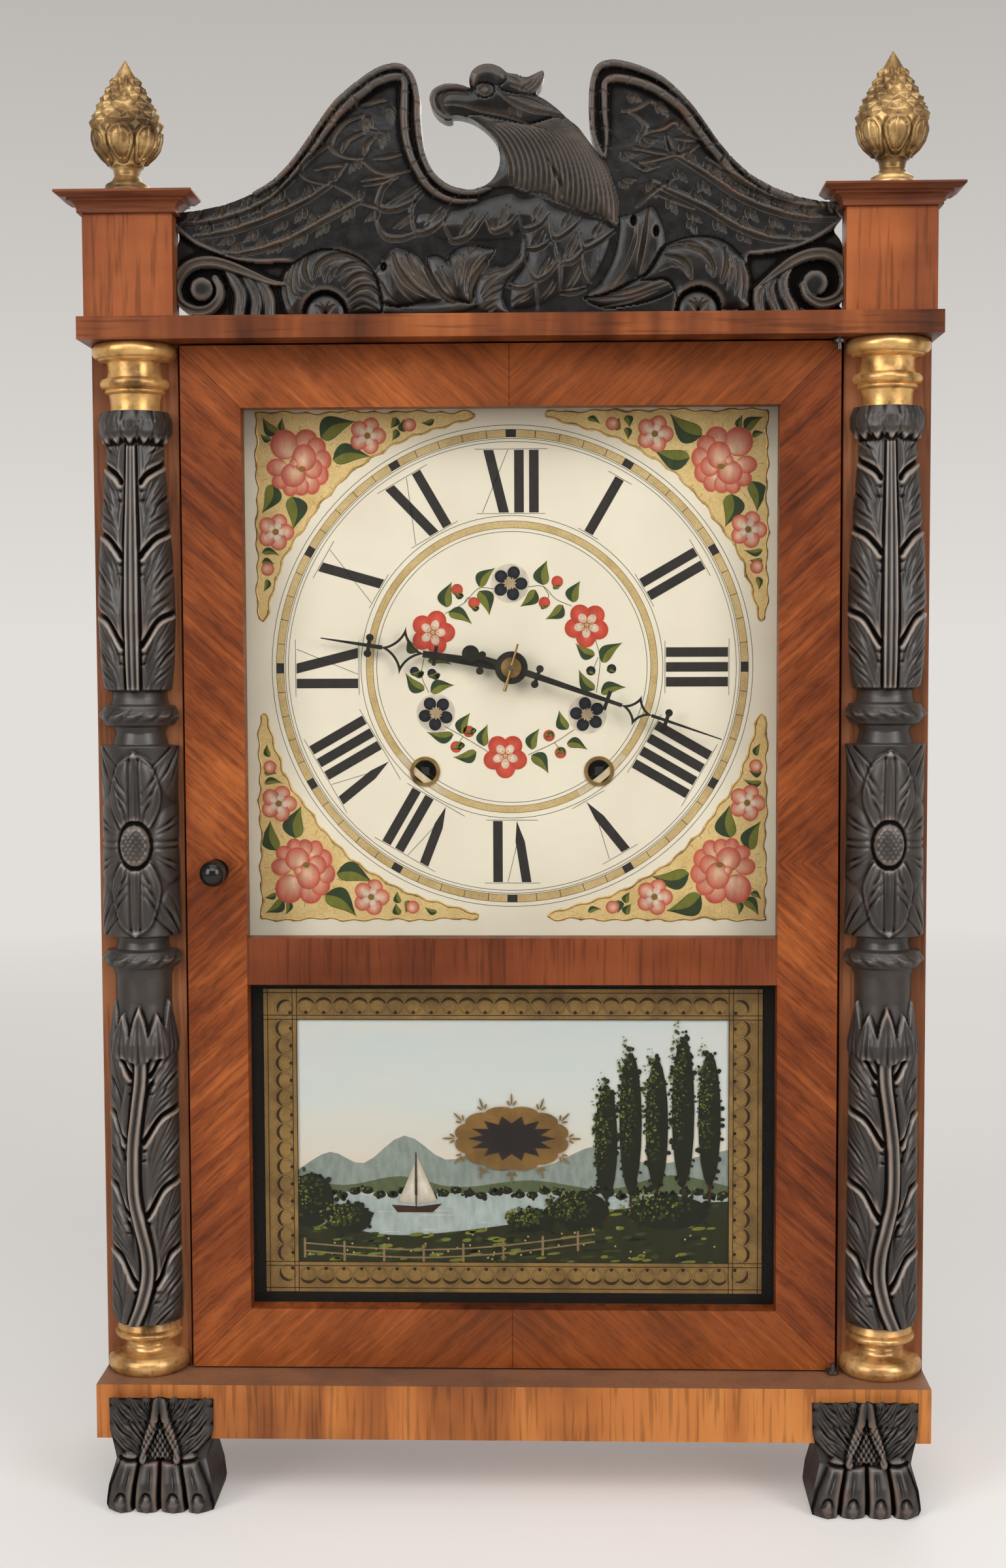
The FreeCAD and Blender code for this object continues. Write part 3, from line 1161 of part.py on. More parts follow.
def build():
    os.makedirs("parts", exist_ok=True)
    save("base_board", base_board())
    save("cornice_board", cornice_board())
    save("backboard", backboard())
    save("inner_battens", *inner_battens())
    sides = [("case_side", case_side()), ("case_stile", case_stile()), ("finial", finial())]
    sides += [("column", column()), ("paw_foot", paw_foot())]
    for name, shape in sides:
        save(name + "_right", shape)
        save(name + "_left", mirrored(shape))
    pairs = [("pedestals", pedestal()), ("pedestal_caps", pedestal_cap()), ("column_capitals", capital()),
             ("column_bases", column_foot()), ("rear_feet", rear_foot())]
    for name, shape in pairs:
        save(name, mirrored(shape), shape)
    save("splat", splat())
    save("hinge_pins", hinge_pin(True), hinge_pin(False))
    save("door_stile_left", door_stile(False))
    save("door_stile_right", door_stile(True))
    save("door_top_rail", door_rail(DIAL_WINDOW_HIGH, DOOR_HIGH))
    save("door_middle_rail", door_rail(TABLET_HIGH, DIAL_WINDOW_LOW))
    save("door_bottom_rail", door_rail(DOOR_LOW, TABLET_LOW))
    save("dial_glass", pane(DIAL_WINDOW_LOW, DIAL_WINDOW_HIGH))
    save("tablet_glass", pane(TABLET_LOW, TABLET_HIGH))
    save("hinge_plates", hinge_plate(True), hinge_plate(False))
    save("latch_knob", latch_knob())
    save("latch_tongue", latch_tongue())
    save("dial_board", dial_board())
    save("winding_grommets", grommet(-WIND_X), grommet(WIND_X))
    save("hour_hand", hour_hand())
    save("minute_hand", minute_hand())
    save("hand_washer", hand_washer())
    save("taper_pin", taper_pin())
    save("front_plate", front_plate())
    save("back_plate", back_plate())
    save("plate_pillars", *plate_pillars())
    save("time_drum", drum(TIME_AXIS))
    save("strike_drum", drum(STRIKE_AXIS))
    save("time_great_wheel", great_wheel(TIME_AXIS, SECOND_AXIS))
    save("strike_great_wheel", great_wheel(STRIKE_AXIS, PIN_WHEEL_AXIS))
    save("second_wheel", second_wheel())
    save("centre_wheel", centre_wheel())
    save("third_wheel", third_wheel())
    save("escape_wheel", escape_wheel())
    save("minute_arbor", minute_arbor())
    save("minute_wheel", minute_wheel())
    save("hour_wheel", hour_wheel())
    save("verge", verge())
    save("pendulum_rod", pendulum_rod())
    save("pendulum_bob", pendulum_bob())
    save("strike_pin_wheel", pin_wheel())
    save("strike_fly", strike_fly())
    save("hammer", hammer())
    save("bell", bell())
    save("time_weight", weight(WEIGHT_X))
    save("strike_weight", weight(-WEIGHT_X))


build()
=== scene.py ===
import math
import bpy
import numpy as np
from mathutils import Matrix, Vector


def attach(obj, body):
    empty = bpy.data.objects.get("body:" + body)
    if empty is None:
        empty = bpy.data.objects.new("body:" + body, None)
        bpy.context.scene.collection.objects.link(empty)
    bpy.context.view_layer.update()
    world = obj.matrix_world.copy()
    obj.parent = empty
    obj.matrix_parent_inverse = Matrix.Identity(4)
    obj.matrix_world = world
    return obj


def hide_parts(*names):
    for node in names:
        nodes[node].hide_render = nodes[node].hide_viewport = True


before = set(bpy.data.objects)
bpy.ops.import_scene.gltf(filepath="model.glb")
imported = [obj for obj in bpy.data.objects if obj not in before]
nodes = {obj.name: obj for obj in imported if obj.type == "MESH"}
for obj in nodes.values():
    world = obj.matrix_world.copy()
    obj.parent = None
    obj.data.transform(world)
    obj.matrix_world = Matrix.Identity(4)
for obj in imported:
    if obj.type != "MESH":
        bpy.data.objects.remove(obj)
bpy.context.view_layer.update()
MM = 0.001
ACROSS, UP = 0, 2


def extent(name):
    """The lowest and the highest corner of a piece of the frame, in mm."""
    corners = np.array([nodes[name].matrix_world @ Vector(corner) for corner in nodes[name].bound_box])
    return np.round(corners.min(0) / MM, 3), np.round(corners.max(0) / MM, 3)


# Colours and materials
def rgb(red, green, blue):
    """A colour given as it shows on a screen, from 0 to 255, as linear light."""
    share = np.array([red, green, blue]) / 255
    linear = np.where(share < 0.04045, share / 12.92, ((share + 0.055) / 1.055) ** 2.4)
    return (*linear, 1.0)


class Tree:
    """A node tree that is built up one node at a time."""

    def __init__(self, tree, place):
        self.tree = tree
        self.place = tree.nodes.new("ShaderNodeTexCoord").outputs[place]

    def feed(self, node, values):
        for key, value in values.items():
            socket = node.inputs[key.replace("_", " ") if isinstance(key, str) else key]
            if isinstance(value, bpy.types.NodeSocket):
                self.tree.links.new(value, socket)
            else:
                socket.default_value = value

    def node(self, kind, values, **settings):
        node = self.tree.nodes.new("ShaderNode" + kind)
        for key, value in settings.items():
            setattr(node, key, value)
        self.feed(node, values)
        return node

    def at(self, stretch=(1, 1, 1), turn=(0, 0, 0), place=None):
        turned = place or self.place
        if any(turn):
            turned = self.node("Mapping", {"Vector": turned, "Rotation": turn}).outputs[0]
        return self.node("Mapping", {"Vector": turned, "Scale": stretch}).outputs[0]

    def noise(self, scale, detail=4.0, stretch=(1, 1, 1), turn=(0, 0, 0), warp=0.0, place=None):
        vector = self.at(stretch, turn, place)
        values = {"Vector": vector, "Scale": scale, "Detail": detail, "Distortion": warp}
        return self.node("TexNoise", values).outputs[0]

    def ramp(self, fac, *stops):
        node = self.node("ValToRGB", {"Fac": fac})
        points = node.color_ramp.elements
        while len(points) < len(stops):
            points.new(1.0)
        for point, (place, colour) in zip(points, stops):
            point.position = place
            point.color = colour if isinstance(colour, tuple) else (colour, colour, colour, 1)
        return node.outputs[0]

    def mix(self, fac, a, b, blend="MIX"):
        node = self.tree.nodes.new("ShaderNodeMix")
        node.data_type = "RGBA"
        node.blend_type = blend
        self.feed(node, {0: fac, 6: a, 7: b})
        return node.outputs[2]

    def math(self, operation, a, b=0.5):
        return self.node("Math", {0: a, 1: b}, operation=operation).outputs[0]

    def weigh(self, first, *others):
        """The sum of values, each times its weight."""
        total = self.math("MULTIPLY", *first)
        for other in others:
            total = self.math("ADD", total, self.math("MULTIPLY", *other))
        return total

    def parts(self):
        """The three coordinates of a point, each by itself."""
        return self.node("SeparateXYZ", {0: self.place}).outputs

    def near(self, value, at, width):
        """1 where a value is close to a number, fading to 0 over a width."""
        gap = self.math("ABSOLUTE", self.math("SUBTRACT", value, at))
        return self.math("SUBTRACT", 1.0, self.math("MINIMUM", self.math("DIVIDE", gap, width), 1.0))

    def attribute(self, name):
        return self.node("Attribute", {}, attribute_name=name).outputs["Fac"]

    def facing(self, axis):
        """How much the surface faces along an axis, from 0 to 1."""
        normal = self.node("NewGeometry", {}).outputs["True Normal"]
        return self.math("MAXIMUM", self.node("SeparateXYZ", {0: normal}).outputs[axis], 0.0)


class Paint(Tree):
    """A material with one surface shader."""

    def __init__(self, name, **settings):
        self.made = bpy.data.materials.new(name)
        self.made.use_nodes = True
        self.shader = self.made.node_tree.nodes["Principled BSDF"]
        super().__init__(self.made.node_tree, "Object")
        self.feed(self.shader, settings)

    def finish(self, colour, rough=None, height=None, bump=0.2, depth=0.0004):
        self.feed(self.shader, {"Base Color": colour})
        if rough is not None:
            self.feed(self.shader, {"Roughness": rough})
        if height is not None:
            node = self.node("Bump", {"Height": height, "Strength": bump, "Distance": depth})
            self.feed(self.shader, {"Normal": node.outputs[0]})
        return self.made


POLISH = {"Coat_Weight": 0.06, "Coat_Roughness": 0.25, "Specular_IOR_Level": 0.18}


def wood(name, dark, mid, light, along, figure=0.5, gloss=0.42, dusty=False, iron_to=None):
    """Polished wood with its grain along an axis: streaks, pores and a cross figure."""
    paint = Paint(name, **POLISH)
    grain, pore, cross = [26.0] * 3, [420.0] * 3, [5.0] * 3
    grain[along], pore[along], cross[along] = 1.6, 22.0, 34.0
    streak = paint.noise(1.0, 5.0, grain, warp=0.6)
    blotch = paint.noise(9.0, 3.0)
    ripple = paint.noise(1.0, 3.0, cross, warp=0.4)
    pores = paint.noise(1.0, 2.0, pore)
    tone = paint.weigh((streak, 0.6), (blotch, 0.4))
    tone = paint.weigh((tone, 1 - figure * 0.5), (ripple, figure * 0.5))
    colour = paint.ramp(tone, (0.37, rgb(*dark)), (0.5, rgb(*mid)), (0.63, rgb(*light)))
    flecks = paint.ramp(pores, (0.36, 0.55), (0.48, 1.0))
    colour = paint.mix(0.75, colour, flecks, "MULTIPLY")
    stain = paint.ramp(paint.noise(28.0, 4.0), (0.3, 0.55), (0.42, 1.0))
    colour = paint.mix(0.35, colour, stain, "MULTIPLY")
    if dusty:
        dust = paint.math("MULTIPLY", paint.facing(UP), 0.75)
        colour = paint.mix(dust, colour, rgb(120, 92, 76))
    if iron_to is not None:
        colour = paint.mix(paint.math("LESS_THAN", paint.parts()[1], iron_to), colour, rgb(50, 46, 43))
    rough = paint.ramp(paint.noise(60.0, 3.0), (0.3, gloss - 0.08), (0.7, gloss + 0.12))
    return paint.finish(colour, rough, paint.math("ADD", streak, pores), 0.12, 0.0003)


def flame(name):
    """Crotch veneer on the door in four matched quarters, with seams at its middle and mitred corners, and
    painted light on the rails above and below the window.
    """
    middle = 335 * MM
    window_low, window_top = extent("door_bottom_rail")[1] * MM, extent("door_top_rail")[0] * MM
    paint = Paint(name, **POLISH)
    x, y, z = paint.parts()
    across = paint.math("ABSOLUTE", x)
    tall = paint.math("ABSOLUTE", paint.math("SUBTRACT", z, middle))
    folded = paint.node("CombineXYZ", {0: across, 1: y, 2: tall}).outputs[0]
    lean = (0, math.radians(-48), 0)
    fine = paint.noise(1.0, 4.0, (420.0, 90.0, 16.0), lean, 0.3, folded)
    ray = paint.noise(1.0, 5.0, (95.0, 30.0, 6.0), lean, 0.7, folded)
    broad = paint.noise(1.0, 3.0, (24.0, 10.0, 5.0), lean, 1.2, folded)
    blotch = paint.noise(14.0, 4.0)
    tone = paint.weigh((ray, 0.15), (broad, 0.2), (fine, 0.25), (blotch, 0.4))
    colour = paint.ramp(
        tone, (0.38, rgb(78, 35, 17)), (0.46, rgb(116, 56, 27)), (0.53, rgb(140, 71, 33)),
        (0.63, rgb(182, 100, 48)))
    pores = paint.noise(1.0, 2.0, (900.0, 300.0, 110.0), lean, 0.0, folded)
    colour = paint.mix(0.55, colour, paint.ramp(pores, (0.38, 0.5), (0.5, 1.0)), "MULTIPLY")
    beside = paint.math("SUBTRACT", across, window_low[0])
    above = paint.math("SUBTRACT", z, window_top[2])
    below = paint.math("SUBTRACT", window_low[2], z)
    outside = paint.math("GREATER_THAN", paint.math("MAXIMUM", above, below), 0.0)
    seam = paint.math("MULTIPLY", paint.near(across, 0.0, 0.0005), outside)
    for rise in (above, below):
        mitre = paint.near(paint.math("SUBTRACT", beside, rise), 0.0, 0.0006)
        corner_side = paint.math("GREATER_THAN", paint.math("MINIMUM", beside, rise), 0.0)
        seam = paint.math("MAXIMUM", seam, paint.math("MULTIPLY", mitre, corner_side))
        # Painted light: the rails above and below the window are mixed a little towards a light orange, so
        # they show brighter than the stiles.
        rail = paint.math("GREATER_THAN", rise, paint.math("MAXIMUM", beside, 0.0))
        colour = paint.mix(paint.math("MULTIPLY", rail, 0.09), colour, rgb(240, 140, 66))
    colour = paint.mix(paint.math("MULTIPLY", seam, 0.75), colour, rgb(48, 22, 14))
    stain = paint.ramp(paint.noise(46.0, 4.0), (0.3, 0.45), (0.4, 1.0))
    colour = paint.mix(0.4, colour, stain, "MULTIPLY")
    rough = paint.ramp(blotch, (0.3, 0.34), (0.7, 0.5))
    return paint.finish(colour, rough, paint.math("ADD", ray, pores), 0.1, 0.0003)


def ebony(name, deep, mid, sheen, dust=0.0, shade=0.0, gloss=0.34, bump=0.14, shine=0.65):
    """Black stained carving: a painted sheen and rubbed brown wear on the raised parts, dust in the shallow
    cuts, painted shade in the deep ones.
    """
    paint = Paint(name)
    patch = paint.noise(45.0, 5.0)
    grain = paint.noise(1.0, 4.0, (300.0, 300.0, 30.0))
    hollow, wear_and_sheen, scored = (paint.attribute(key) for key in ("hollow", "wear_and_sheen", "scored"))
    colour = paint.ramp(patch, (0.35, rgb(*deep)), (0.6, rgb(*mid)))
    # Painted sheen: the raised parts are mixed towards the lighter sheen colour.
    colour = paint.mix(paint.ramp(wear_and_sheen, (0.0, 0.0), (0.7, 0.75)), colour, rgb(*sheen))
    # Painted shade: the deep hollows, but not the dust-filled cut lines, are darkened to near black.
    depth = paint.math("SUBTRACT", hollow, paint.math("MULTIPLY", scored, dust))
    colour = paint.mix(paint.ramp(depth, (shade, 0.0), (shade + 0.2, 0.92)), colour, rgb(11, 9, 8))
    if dust:
        uneven = paint.ramp(paint.noise(30.0, 3.0), (0.3, 0.2), (0.6, dust))
        colour = paint.mix(paint.math("MULTIPLY", uneven, scored), colour, rgb(112, 99, 85))
    rubbed = paint.math("MULTIPLY", wear_and_sheen, paint.ramp(paint.noise(60.0, 4.0), (0.5, 0.0), (0.72, 0.6)))
    colour = paint.mix(rubbed, colour, rgb(112, 66, 44))
    paint.feed(paint.shader, {"Specular IOR Level": paint.ramp(hollow, (0.0, shine), (0.2, 0.05))})
    rough = paint.ramp(paint.noise(160.0, 4.0), (0.3, gloss - 0.04), (0.7, gloss + 0.08))
    return paint.finish(colour, rough, paint.math("ADD", grain, paint.noise(240.0, 3.0)), bump, 0.0004)


def gilt(name, bright=(234, 182, 110), dull=(124, 90, 50)):
    """Old gilding: bright on the raised parts, brown and dull in the hollows."""
    paint = Paint(name, Metallic=0.55)
    patch = paint.noise(70.0, 5.0)
    colour = paint.ramp(patch, (0.3, rgb(*dull)), (0.5, rgb(*bright)), (0.8, rgb(252, 210, 142)))
    sunk = paint.ramp(paint.attribute("hollow"), (0.04, 0.0), (0.42, 0.8))
    colour = paint.mix(sunk, colour, rgb(74, 52, 30))
    specks = paint.ramp(paint.noise(260.0, 3.0), (0.3, 0.4), (0.42, 1.0))
    colour = paint.mix(0.6, colour, specks, "MULTIPLY")
    rough = paint.ramp(paint.noise(50.0, 4.0), (0.3, 0.24), (0.7, 0.42))
    return paint.finish(colour, rough, paint.math("ADD", patch, paint.noise(300.0, 2.0)), 0.3, 0.0003)


def metal(name, tint, dull, gloss):
    """Metal with scuffs."""
    paint = Paint(name, Metallic=0.9)
    scuffs = paint.noise(120.0, 5.0)
    colour = paint.ramp(scuffs, (0.3, rgb(*dull)), (0.65, rgb(*tint)))
    rough = paint.ramp(paint.noise(200.0, 3.0), (0.3, gloss - 0.06), (0.7, gloss + 0.14))
    return paint.finish(colour, rough, scuffs, 0.15, 0.0002)


def coat(name, shade, spread, gloss, grain=180.0, crack=0.1):
    """Old oil paint: a colour that wanders a little, with fine brush texture."""
    paint = Paint(name)
    patch = paint.noise(grain * 0.4, 4.0)
    low = tuple(max(0, part - spread) for part in shade)
    high = tuple(min(255, part + spread) for part in shade)
    colour = paint.ramp(patch, (0.3, rgb(*low)), (0.7, rgb(*high)))
    brush = paint.noise(grain, 3.0, (1, 1, 0.4))
    rough = paint.ramp(brush, (0.3, gloss - 0.08), (0.7, gloss + 0.12))
    return paint.finish(colour, rough, brush, crack, 0.0002)


def glass(name):
    """Old window glass, slightly wavy."""
    paint = Paint(name, Alpha=0.05, Roughness=0.04, IOR=1.5)
    ripple = paint.noise(9.0, 2.0)
    colour = paint.ramp(ripple, (0.3, rgb(70, 72, 66)), (0.7, rgb(84, 86, 78)))
    made = paint.finish(colour, None, ripple, 0.05, 0.001)
    made.surface_render_method = "BLENDED"
    return made


def tint(name, rim, heart=None, gloss=0.5):
    """Brushed paint that runs from one colour at a shape's heart to another at its rim."""
    paint = Paint(name, Roughness=gloss, Specular_IOR_Level=0.15)
    run = paint.ramp(paint.attribute("blush"), (0.1, rgb(*(heart or rim))), (0.95, rgb(*rim)))
    brush = paint.ramp(paint.noise(1.0, 4.0, (320.0, 320.0, 120.0)), (0.3, 0.78), (0.7, 1.08))
    spots = paint.ramp(paint.noise(900.0, 2.0), (0.28, 0.55), (0.34, 1.0))
    colour = paint.mix(1.0, run, brush, "MULTIPLY")
    colour = paint.mix(0.5, colour, spots, "MULTIPLY")
    return paint.finish(colour, height=brush, bump=0.1, depth=0.0002)


def gold_leaf(name, bright, dull):
    """Bronze powder paint: soft metal with worn darker patches."""
    paint = Paint(name, Metallic=0.15, Specular_IOR_Level=0.4)
    patch = paint.noise(70.0, 5.0)
    grain = paint.noise(900.0, 2.0)
    colour = paint.ramp(patch, (0.3, rgb(*dull)), (0.62, rgb(*bright)))
    colour = paint.mix(0.45, colour, paint.ramp(grain, (0.3, 0.6), (0.6, 1.0)), "MULTIPLY")
    rough = paint.ramp(patch, (0.3, 0.5), (0.7, 0.36))
    return paint.finish(colour, rough, grain, 0.15, 0.0002)


# Meshes
def piece(name, points, faces, material, body, slot, *stands_for, marks=None, flat=False):
    """A mesh from points in mm, riding on a body."""
    mesh = bpy.data.meshes.new(name)
    mesh.from_pydata([tuple(p) for p in np.asarray(points) * MM], [], faces)
    mesh.validate()
    if not flat:
        mesh.shade_smooth()
    if marks:
        for key, values in zip(("wear_and_sheen", "hollow", "scored"), marks):
            spread = np.zeros(len(mesh.vertices), np.float32)
            spread[:len(values)] = values
            mesh.attributes.new(key, "FLOAT", "POINT").data.foreach_set("value", spread)
    made = bpy.data.objects.new(name, mesh)
    bpy.context.scene.collection.objects.link(made)
    mesh.materials.append(material)
    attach(made, body)
    if stands_for:
        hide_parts(*stands_for)
    return made


def crease(made, numbers):
    """Makes the faces with these numbers flat, with sharp edges."""
    edges = {edge.key: edge for edge in made.data.edges}
    for number in numbers:
        face = made.data.polygons[number]
        face.use_smooth = False
        for key in face.edge_keys:
            edges[key].use_edge_sharp = True


def grid_faces(rows, cols, wrap=False):
    ids = np.arange(rows * cols).reshape(rows, cols)
    if wrap:
        ids = np.hstack([ids, ids[:, :1]])
    corners = np.dstack([ids[:-1, :-1], ids[:-1, 1:], ids[1:, 1:], ids[1:, :-1]])
    return [tuple(face) for face in corners.reshape(-1, 4)]


def end_faces(rows, cols):
    """Faces that close the first and the last row of a grid."""
    return [tuple(range(cols))[::-1], tuple(range((rows - 1) * cols, rows * cols))]


def lengths(path):
    """The distance along a line to each of its points."""
    return np.concatenate([[0], np.cumsum(np.hypot(*np.diff(path, axis=0).T))])


def smooth(points, per=6):
    """A smooth line through points."""
    p = np.array(points, float)
    if len(p) < 3:
        return p
    ext = np.vstack([2 * p[0] - p[1], p, 2 * p[-1] - p[-2]])
    t = np.linspace(0, 1, per, endpoint=False)[:, None]
    runs = []
    for a, b, c, d in zip(ext, ext[1:], ext[2:], ext[3:]):
        bend = (2 * a - 5 * b + 4 * c - d) * t**2 + (3 * b - a - 3 * c + d) * t**3
        runs.append(0.5 * (2 * b + (c - a) * t + bend))
    return np.vstack(runs + [p[-1:]])


def flip(side, points):
    """Points mirrored sideways where side is -1."""
    return [(side * x, z) for x, z in points]


# Carving: height maps painted with strokes
class Relief:
    """Heights in mm over a grid, painted with carving strokes."""

    def __init__(self, us, vs, level=0.0):
        self.us, self.vs = us, vs
        self.u, self.v = np.meshgrid(us, vs)
        self.h = np.full(self.u.shape, level)
        self.scored = np.zeros(self.u.shape)

    def window(self, path, reach):
        low, high = path.min(0) - reach, path.max(0) + reach
        rows = slice(*np.searchsorted(self.vs, [low[1], high[1]]))
        cols = slice(*np.searchsorted(self.us, [low[0], high[0]]))
        return rows, cols

    def along(self, path, win):
        """Distance of the window's points to a line, and the share of its length that each is near."""
        u, v = self.u[win], self.v[win]
        near = np.full(u.shape, 1e9)
        share = np.zeros(u.shape)
        starts = lengths(path)
        steps = np.hypot(*np.diff(path, axis=0).T)
        for a, b, start, step in zip(path, path[1:], starts, steps):
            if step == 0:
                continue
            du, dv = (b - a) / step
            t = np.clip((u - a[0]) * du + (v - a[1]) * dv, 0, step)
            gap = (u - a[0] - t * du)**2 + (v - a[1] - t * dv)**2
            hit = gap < near
            near[hit] = gap[hit]
            share[hit] = ((start + t) / starts[-1])[hit]
        return np.sqrt(near), share

    def inside(self, path, win):
        u, v = self.u[win], self.v[win]
        odd = np.zeros(u.shape, bool)
        for a, b in zip(path, np.roll(path, -1, axis=0)):
            if a[1] != b[1]:
                cross = (a[1] > v) != (b[1] > v)
                odd ^= cross & (u < (b[0] - a[0]) * (v - a[1]) / (b[1] - a[1]) + a[0])
        return odd

    def band(self, points, width, taper):
        path = smooth(points)
        win = self.window(path, width + 0.5)
        d, share = self.along(path, win)
        w = width * np.interp(share, np.linspace(0, 1, len(taper)), taper)
        return win, np.clip(d / np.maximum(w, 1e-3), 0, 1), w / width

    def cut(self, points, width, depth, taper=(0.4, 1, 1, 0.4)):
        """An engraved line; a negative depth raises it."""
        win, q, size = self.band(points, width, taper)
        shape = (1 - q)**2 * (1 + 2 * q) * size
        self.h[win] -= 1.5 * depth * shape
        if depth > 0:
            self.scored[win] = np.maximum(self.scored[win], shape)

    def cuts(self, paths, *form):
        for path in paths:
            self.cut(path, *form)

    def lay(self, win, keep, new):
        """Puts fresh wood over what was cut before."""
        self.h[win] = np.where(keep, new, self.h[win])
        self.scored[win] = np.where(keep, 0, self.scored[win])

    def strap(self, points, width, level, rise, taper=(1, 1)):
        """A rounded raised band laid over what is there, with stepped edges."""
        win, q, size = self.band(points, width, taper)
        new = level + rise * np.sqrt(np.clip(1 - q * q, 0, 1)) * (0.4 + 0.6 * size)
        self.lay(win, (q < 1) & (new > self.h[win]), new)

    def pillow(self, points, level, rise, soft, over=True):
        """A rounded area inside a closed outline, stepped at its edge."""
        path = smooth(list(points) + [points[0]])
        win = self.window(path, 0.5)
        d, _ = self.along(path, win)
        new = level + rise * (1 - np.exp(-d / soft))
        keep = self.inside(path, win)
        if not over:
            keep &= new > self.h[win]
        self.lay(win, keep, new)

    def dent(self, centre, radius, depth, squash=1.0):
        win = self.window(np.array([centre], float), radius * max(1, squash))
        q = np.hypot(self.u[win] - centre[0], (self.v[win] - centre[1]) / squash) / radius
        self.h[win] -= depth * np.clip(1 - q * q, 0, 1)

    def leaf(self, path, width, level, rise, taper, veins):
        """A rounded frond with veins gouged along it."""
        self.strap(path, width, level, rise, taper)
        fine = smooth(path)
        step = np.gradient(fine, axis=0)
        side = np.column_stack([-step[:, 1], step[:, 0]]) / np.hypot(*step.T)[:, None]
        w = width * np.interp(np.linspace(0, 1, len(fine)), np.linspace(0, 1, len(taper)), taper)
        for k in range(veins):
            off = (k + 1) / (veins + 1) * 2 - 1
            self.cut(fine + side * (w * off * 0.85)[:, None], width * 0.26, 0.9, (0.3, 1, 1, 0.5))

    def stations(self, path, spacing):
        """Points along a line with the directions along and across it."""
        fine = smooth(path, 8)
        run = lengths(fine)
        for s in np.arange(spacing / 2, run[-1], spacing):
            i = np.searchsorted(run, s)
            ahead = (fine[i] - fine[i - 1]) / np.hypot(*(fine[i] - fine[i - 1]))
            yield fine[i], ahead, np.array([-ahead[1], ahead[0]])

    def notch(self, path, spacing, reach, depth):
        """Short cuts across a bead."""
        for k, (spot, ahead, side) in enumerate(self.stations(path, spacing)):
            lean = ahead * reach * (0.4 if k % 2 else -0.2)
            self.cut([spot - side * reach - lean, spot + side * reach + lean], 0.8, depth, (0.7, 1, 0.7))

    def barbs(self, path, length, lean, spacing=14.0):
        """Groups of a comma gouge and two thin strokes beside a feather's rib."""
        for k, (spot, ahead, side) in enumerate(self.stations(path, spacing)):
            size = length * (0.85 + 0.15 * math.sin(k * 2.3))
            for shift, width, depth in ((0.0, 1.5, 1.1), (-3.2, 0.8, 0.8), (-5.6, 0.8, 0.7)):
                start = spot + side * 1.4 + ahead * shift * lean
                tip = start + side * size * 0.75 + ahead * size * (0.2 - 0.1 * shift) * lean
                self.cut([start, (start + tip) / 2 + ahead * 0.7 * lean, tip], width, depth, (0.6, 1, 0.1))

    def soften(self):
        """Takes the stair steps of the grid off slanting edges."""
        for axis in (0, 1):
            pad = np.pad(self.h, [(1, 1) if a == axis else (0, 0) for a in (0, 1)], "edge")
            count = np.arange(self.h.shape[axis])
            low, mid, high = (np.take(pad, count + k, axis=axis) for k in range(3))
            self.h = 0.25 * low + 0.5 * mid + 0.25 * high

    def marks(self, step):
        """Wear and painted sheen on raised parts, depth of hollows, and cut lines, each from 0 to 1."""
        base = self.h
        kernel = 2 * max(1, round(1.5 / step)) + 1
        for axis in (0, 1):
            margin = [(kernel // 2, kernel // 2) if a == axis else (0, 0) for a in (0, 1)]
            count = np.arange(base.shape[axis])
            for _ in range(3):
                total = np.cumsum(np.pad(base, margin, "edge"), axis=axis)
                total = np.insert(total, 0, 0, axis=axis)
                low, high = (np.take(total, count + k, axis=axis) for k in (0, kernel))
                base = (high - low) / kernel
        proud = self.h - base
        wear_and_sheen = np.clip(proud / 0.9 - 0.25, 0, 1)
        return wear_and_sheen, np.clip(-proud / 2.4, 0, 1), np.clip(self.scored * 1.6, 0, 1)


def carved_board(name, relief, step, outline, back, foot, material, slot, node):
    """A board sawn to an outline with a carved front. Its back is flat."""
    path = np.vstack([outline, outline[:1]])
    everywhere = (slice(None), slice(None))
    _, share = relief.along(path, everywhere)
    odd = relief.inside(outline, everywhere)
    cells = np.array(grid_faces(*relief.h.shape))
    cells = cells[odd.ravel()[cells].all(1)]
    runs = lengths(path) / lengths(path)[-1]
    edges = dict.fromkeys((a, b) for a, b in cells[:, [0, 1, 1, 2, 2, 3, 3, 0]].reshape(-1, 2).tolist())
    rim = {a: b for a, b in edges if (b, a) not in edges}
    u, v = relief.u.ravel().copy(), relief.v.ravel().copy()
    for i in rim:
        u[i] = np.interp(share.ravel()[i], runs, path[:, 0])
        v[i] = np.interp(share.ravel()[i], runs, path[:, 1])
    used, index = np.unique(cells, return_inverse=True)
    place = {old: new for new, old in enumerate(used)}
    points = list(np.column_stack([u[used], back - relief.h.ravel()[used], v[used] + foot]))
    faces = [tuple(face) for face in index.reshape(-1, 4)]
    behind = {}
    for i in rim:
        behind[i] = len(points)
        points.append((u[i], back, v[i] + foot))
    for a, b in rim.items():
        faces.append((place[b], place[a], behind[a], behind[b]))
    loops = set(rim)
    while loops:
        here = next(iter(loops))
        loop = []
        while here in loops:
            loops.discard(here)
            loop.append(behind[here])
            here = rim[here]
        faces.append(tuple(reversed(loop)))
    marks = [m.ravel()[used] for m in relief.marks(step)]
    made = piece(name, points, faces, material, "case", slot, node, marks=marks)
    crease(made, range(len(cells), len(faces)))


# Splat: its lines are drawn on three grids and mapped to mm from the middle of its foot
def drawing_grid(start, top, unit, tilt):
    """A function that maps points of a grid, y down, to mm."""
    def place(*points):
        return [(start + unit * x, top - tilt * x - unit * y) for x, y in points]

    return place


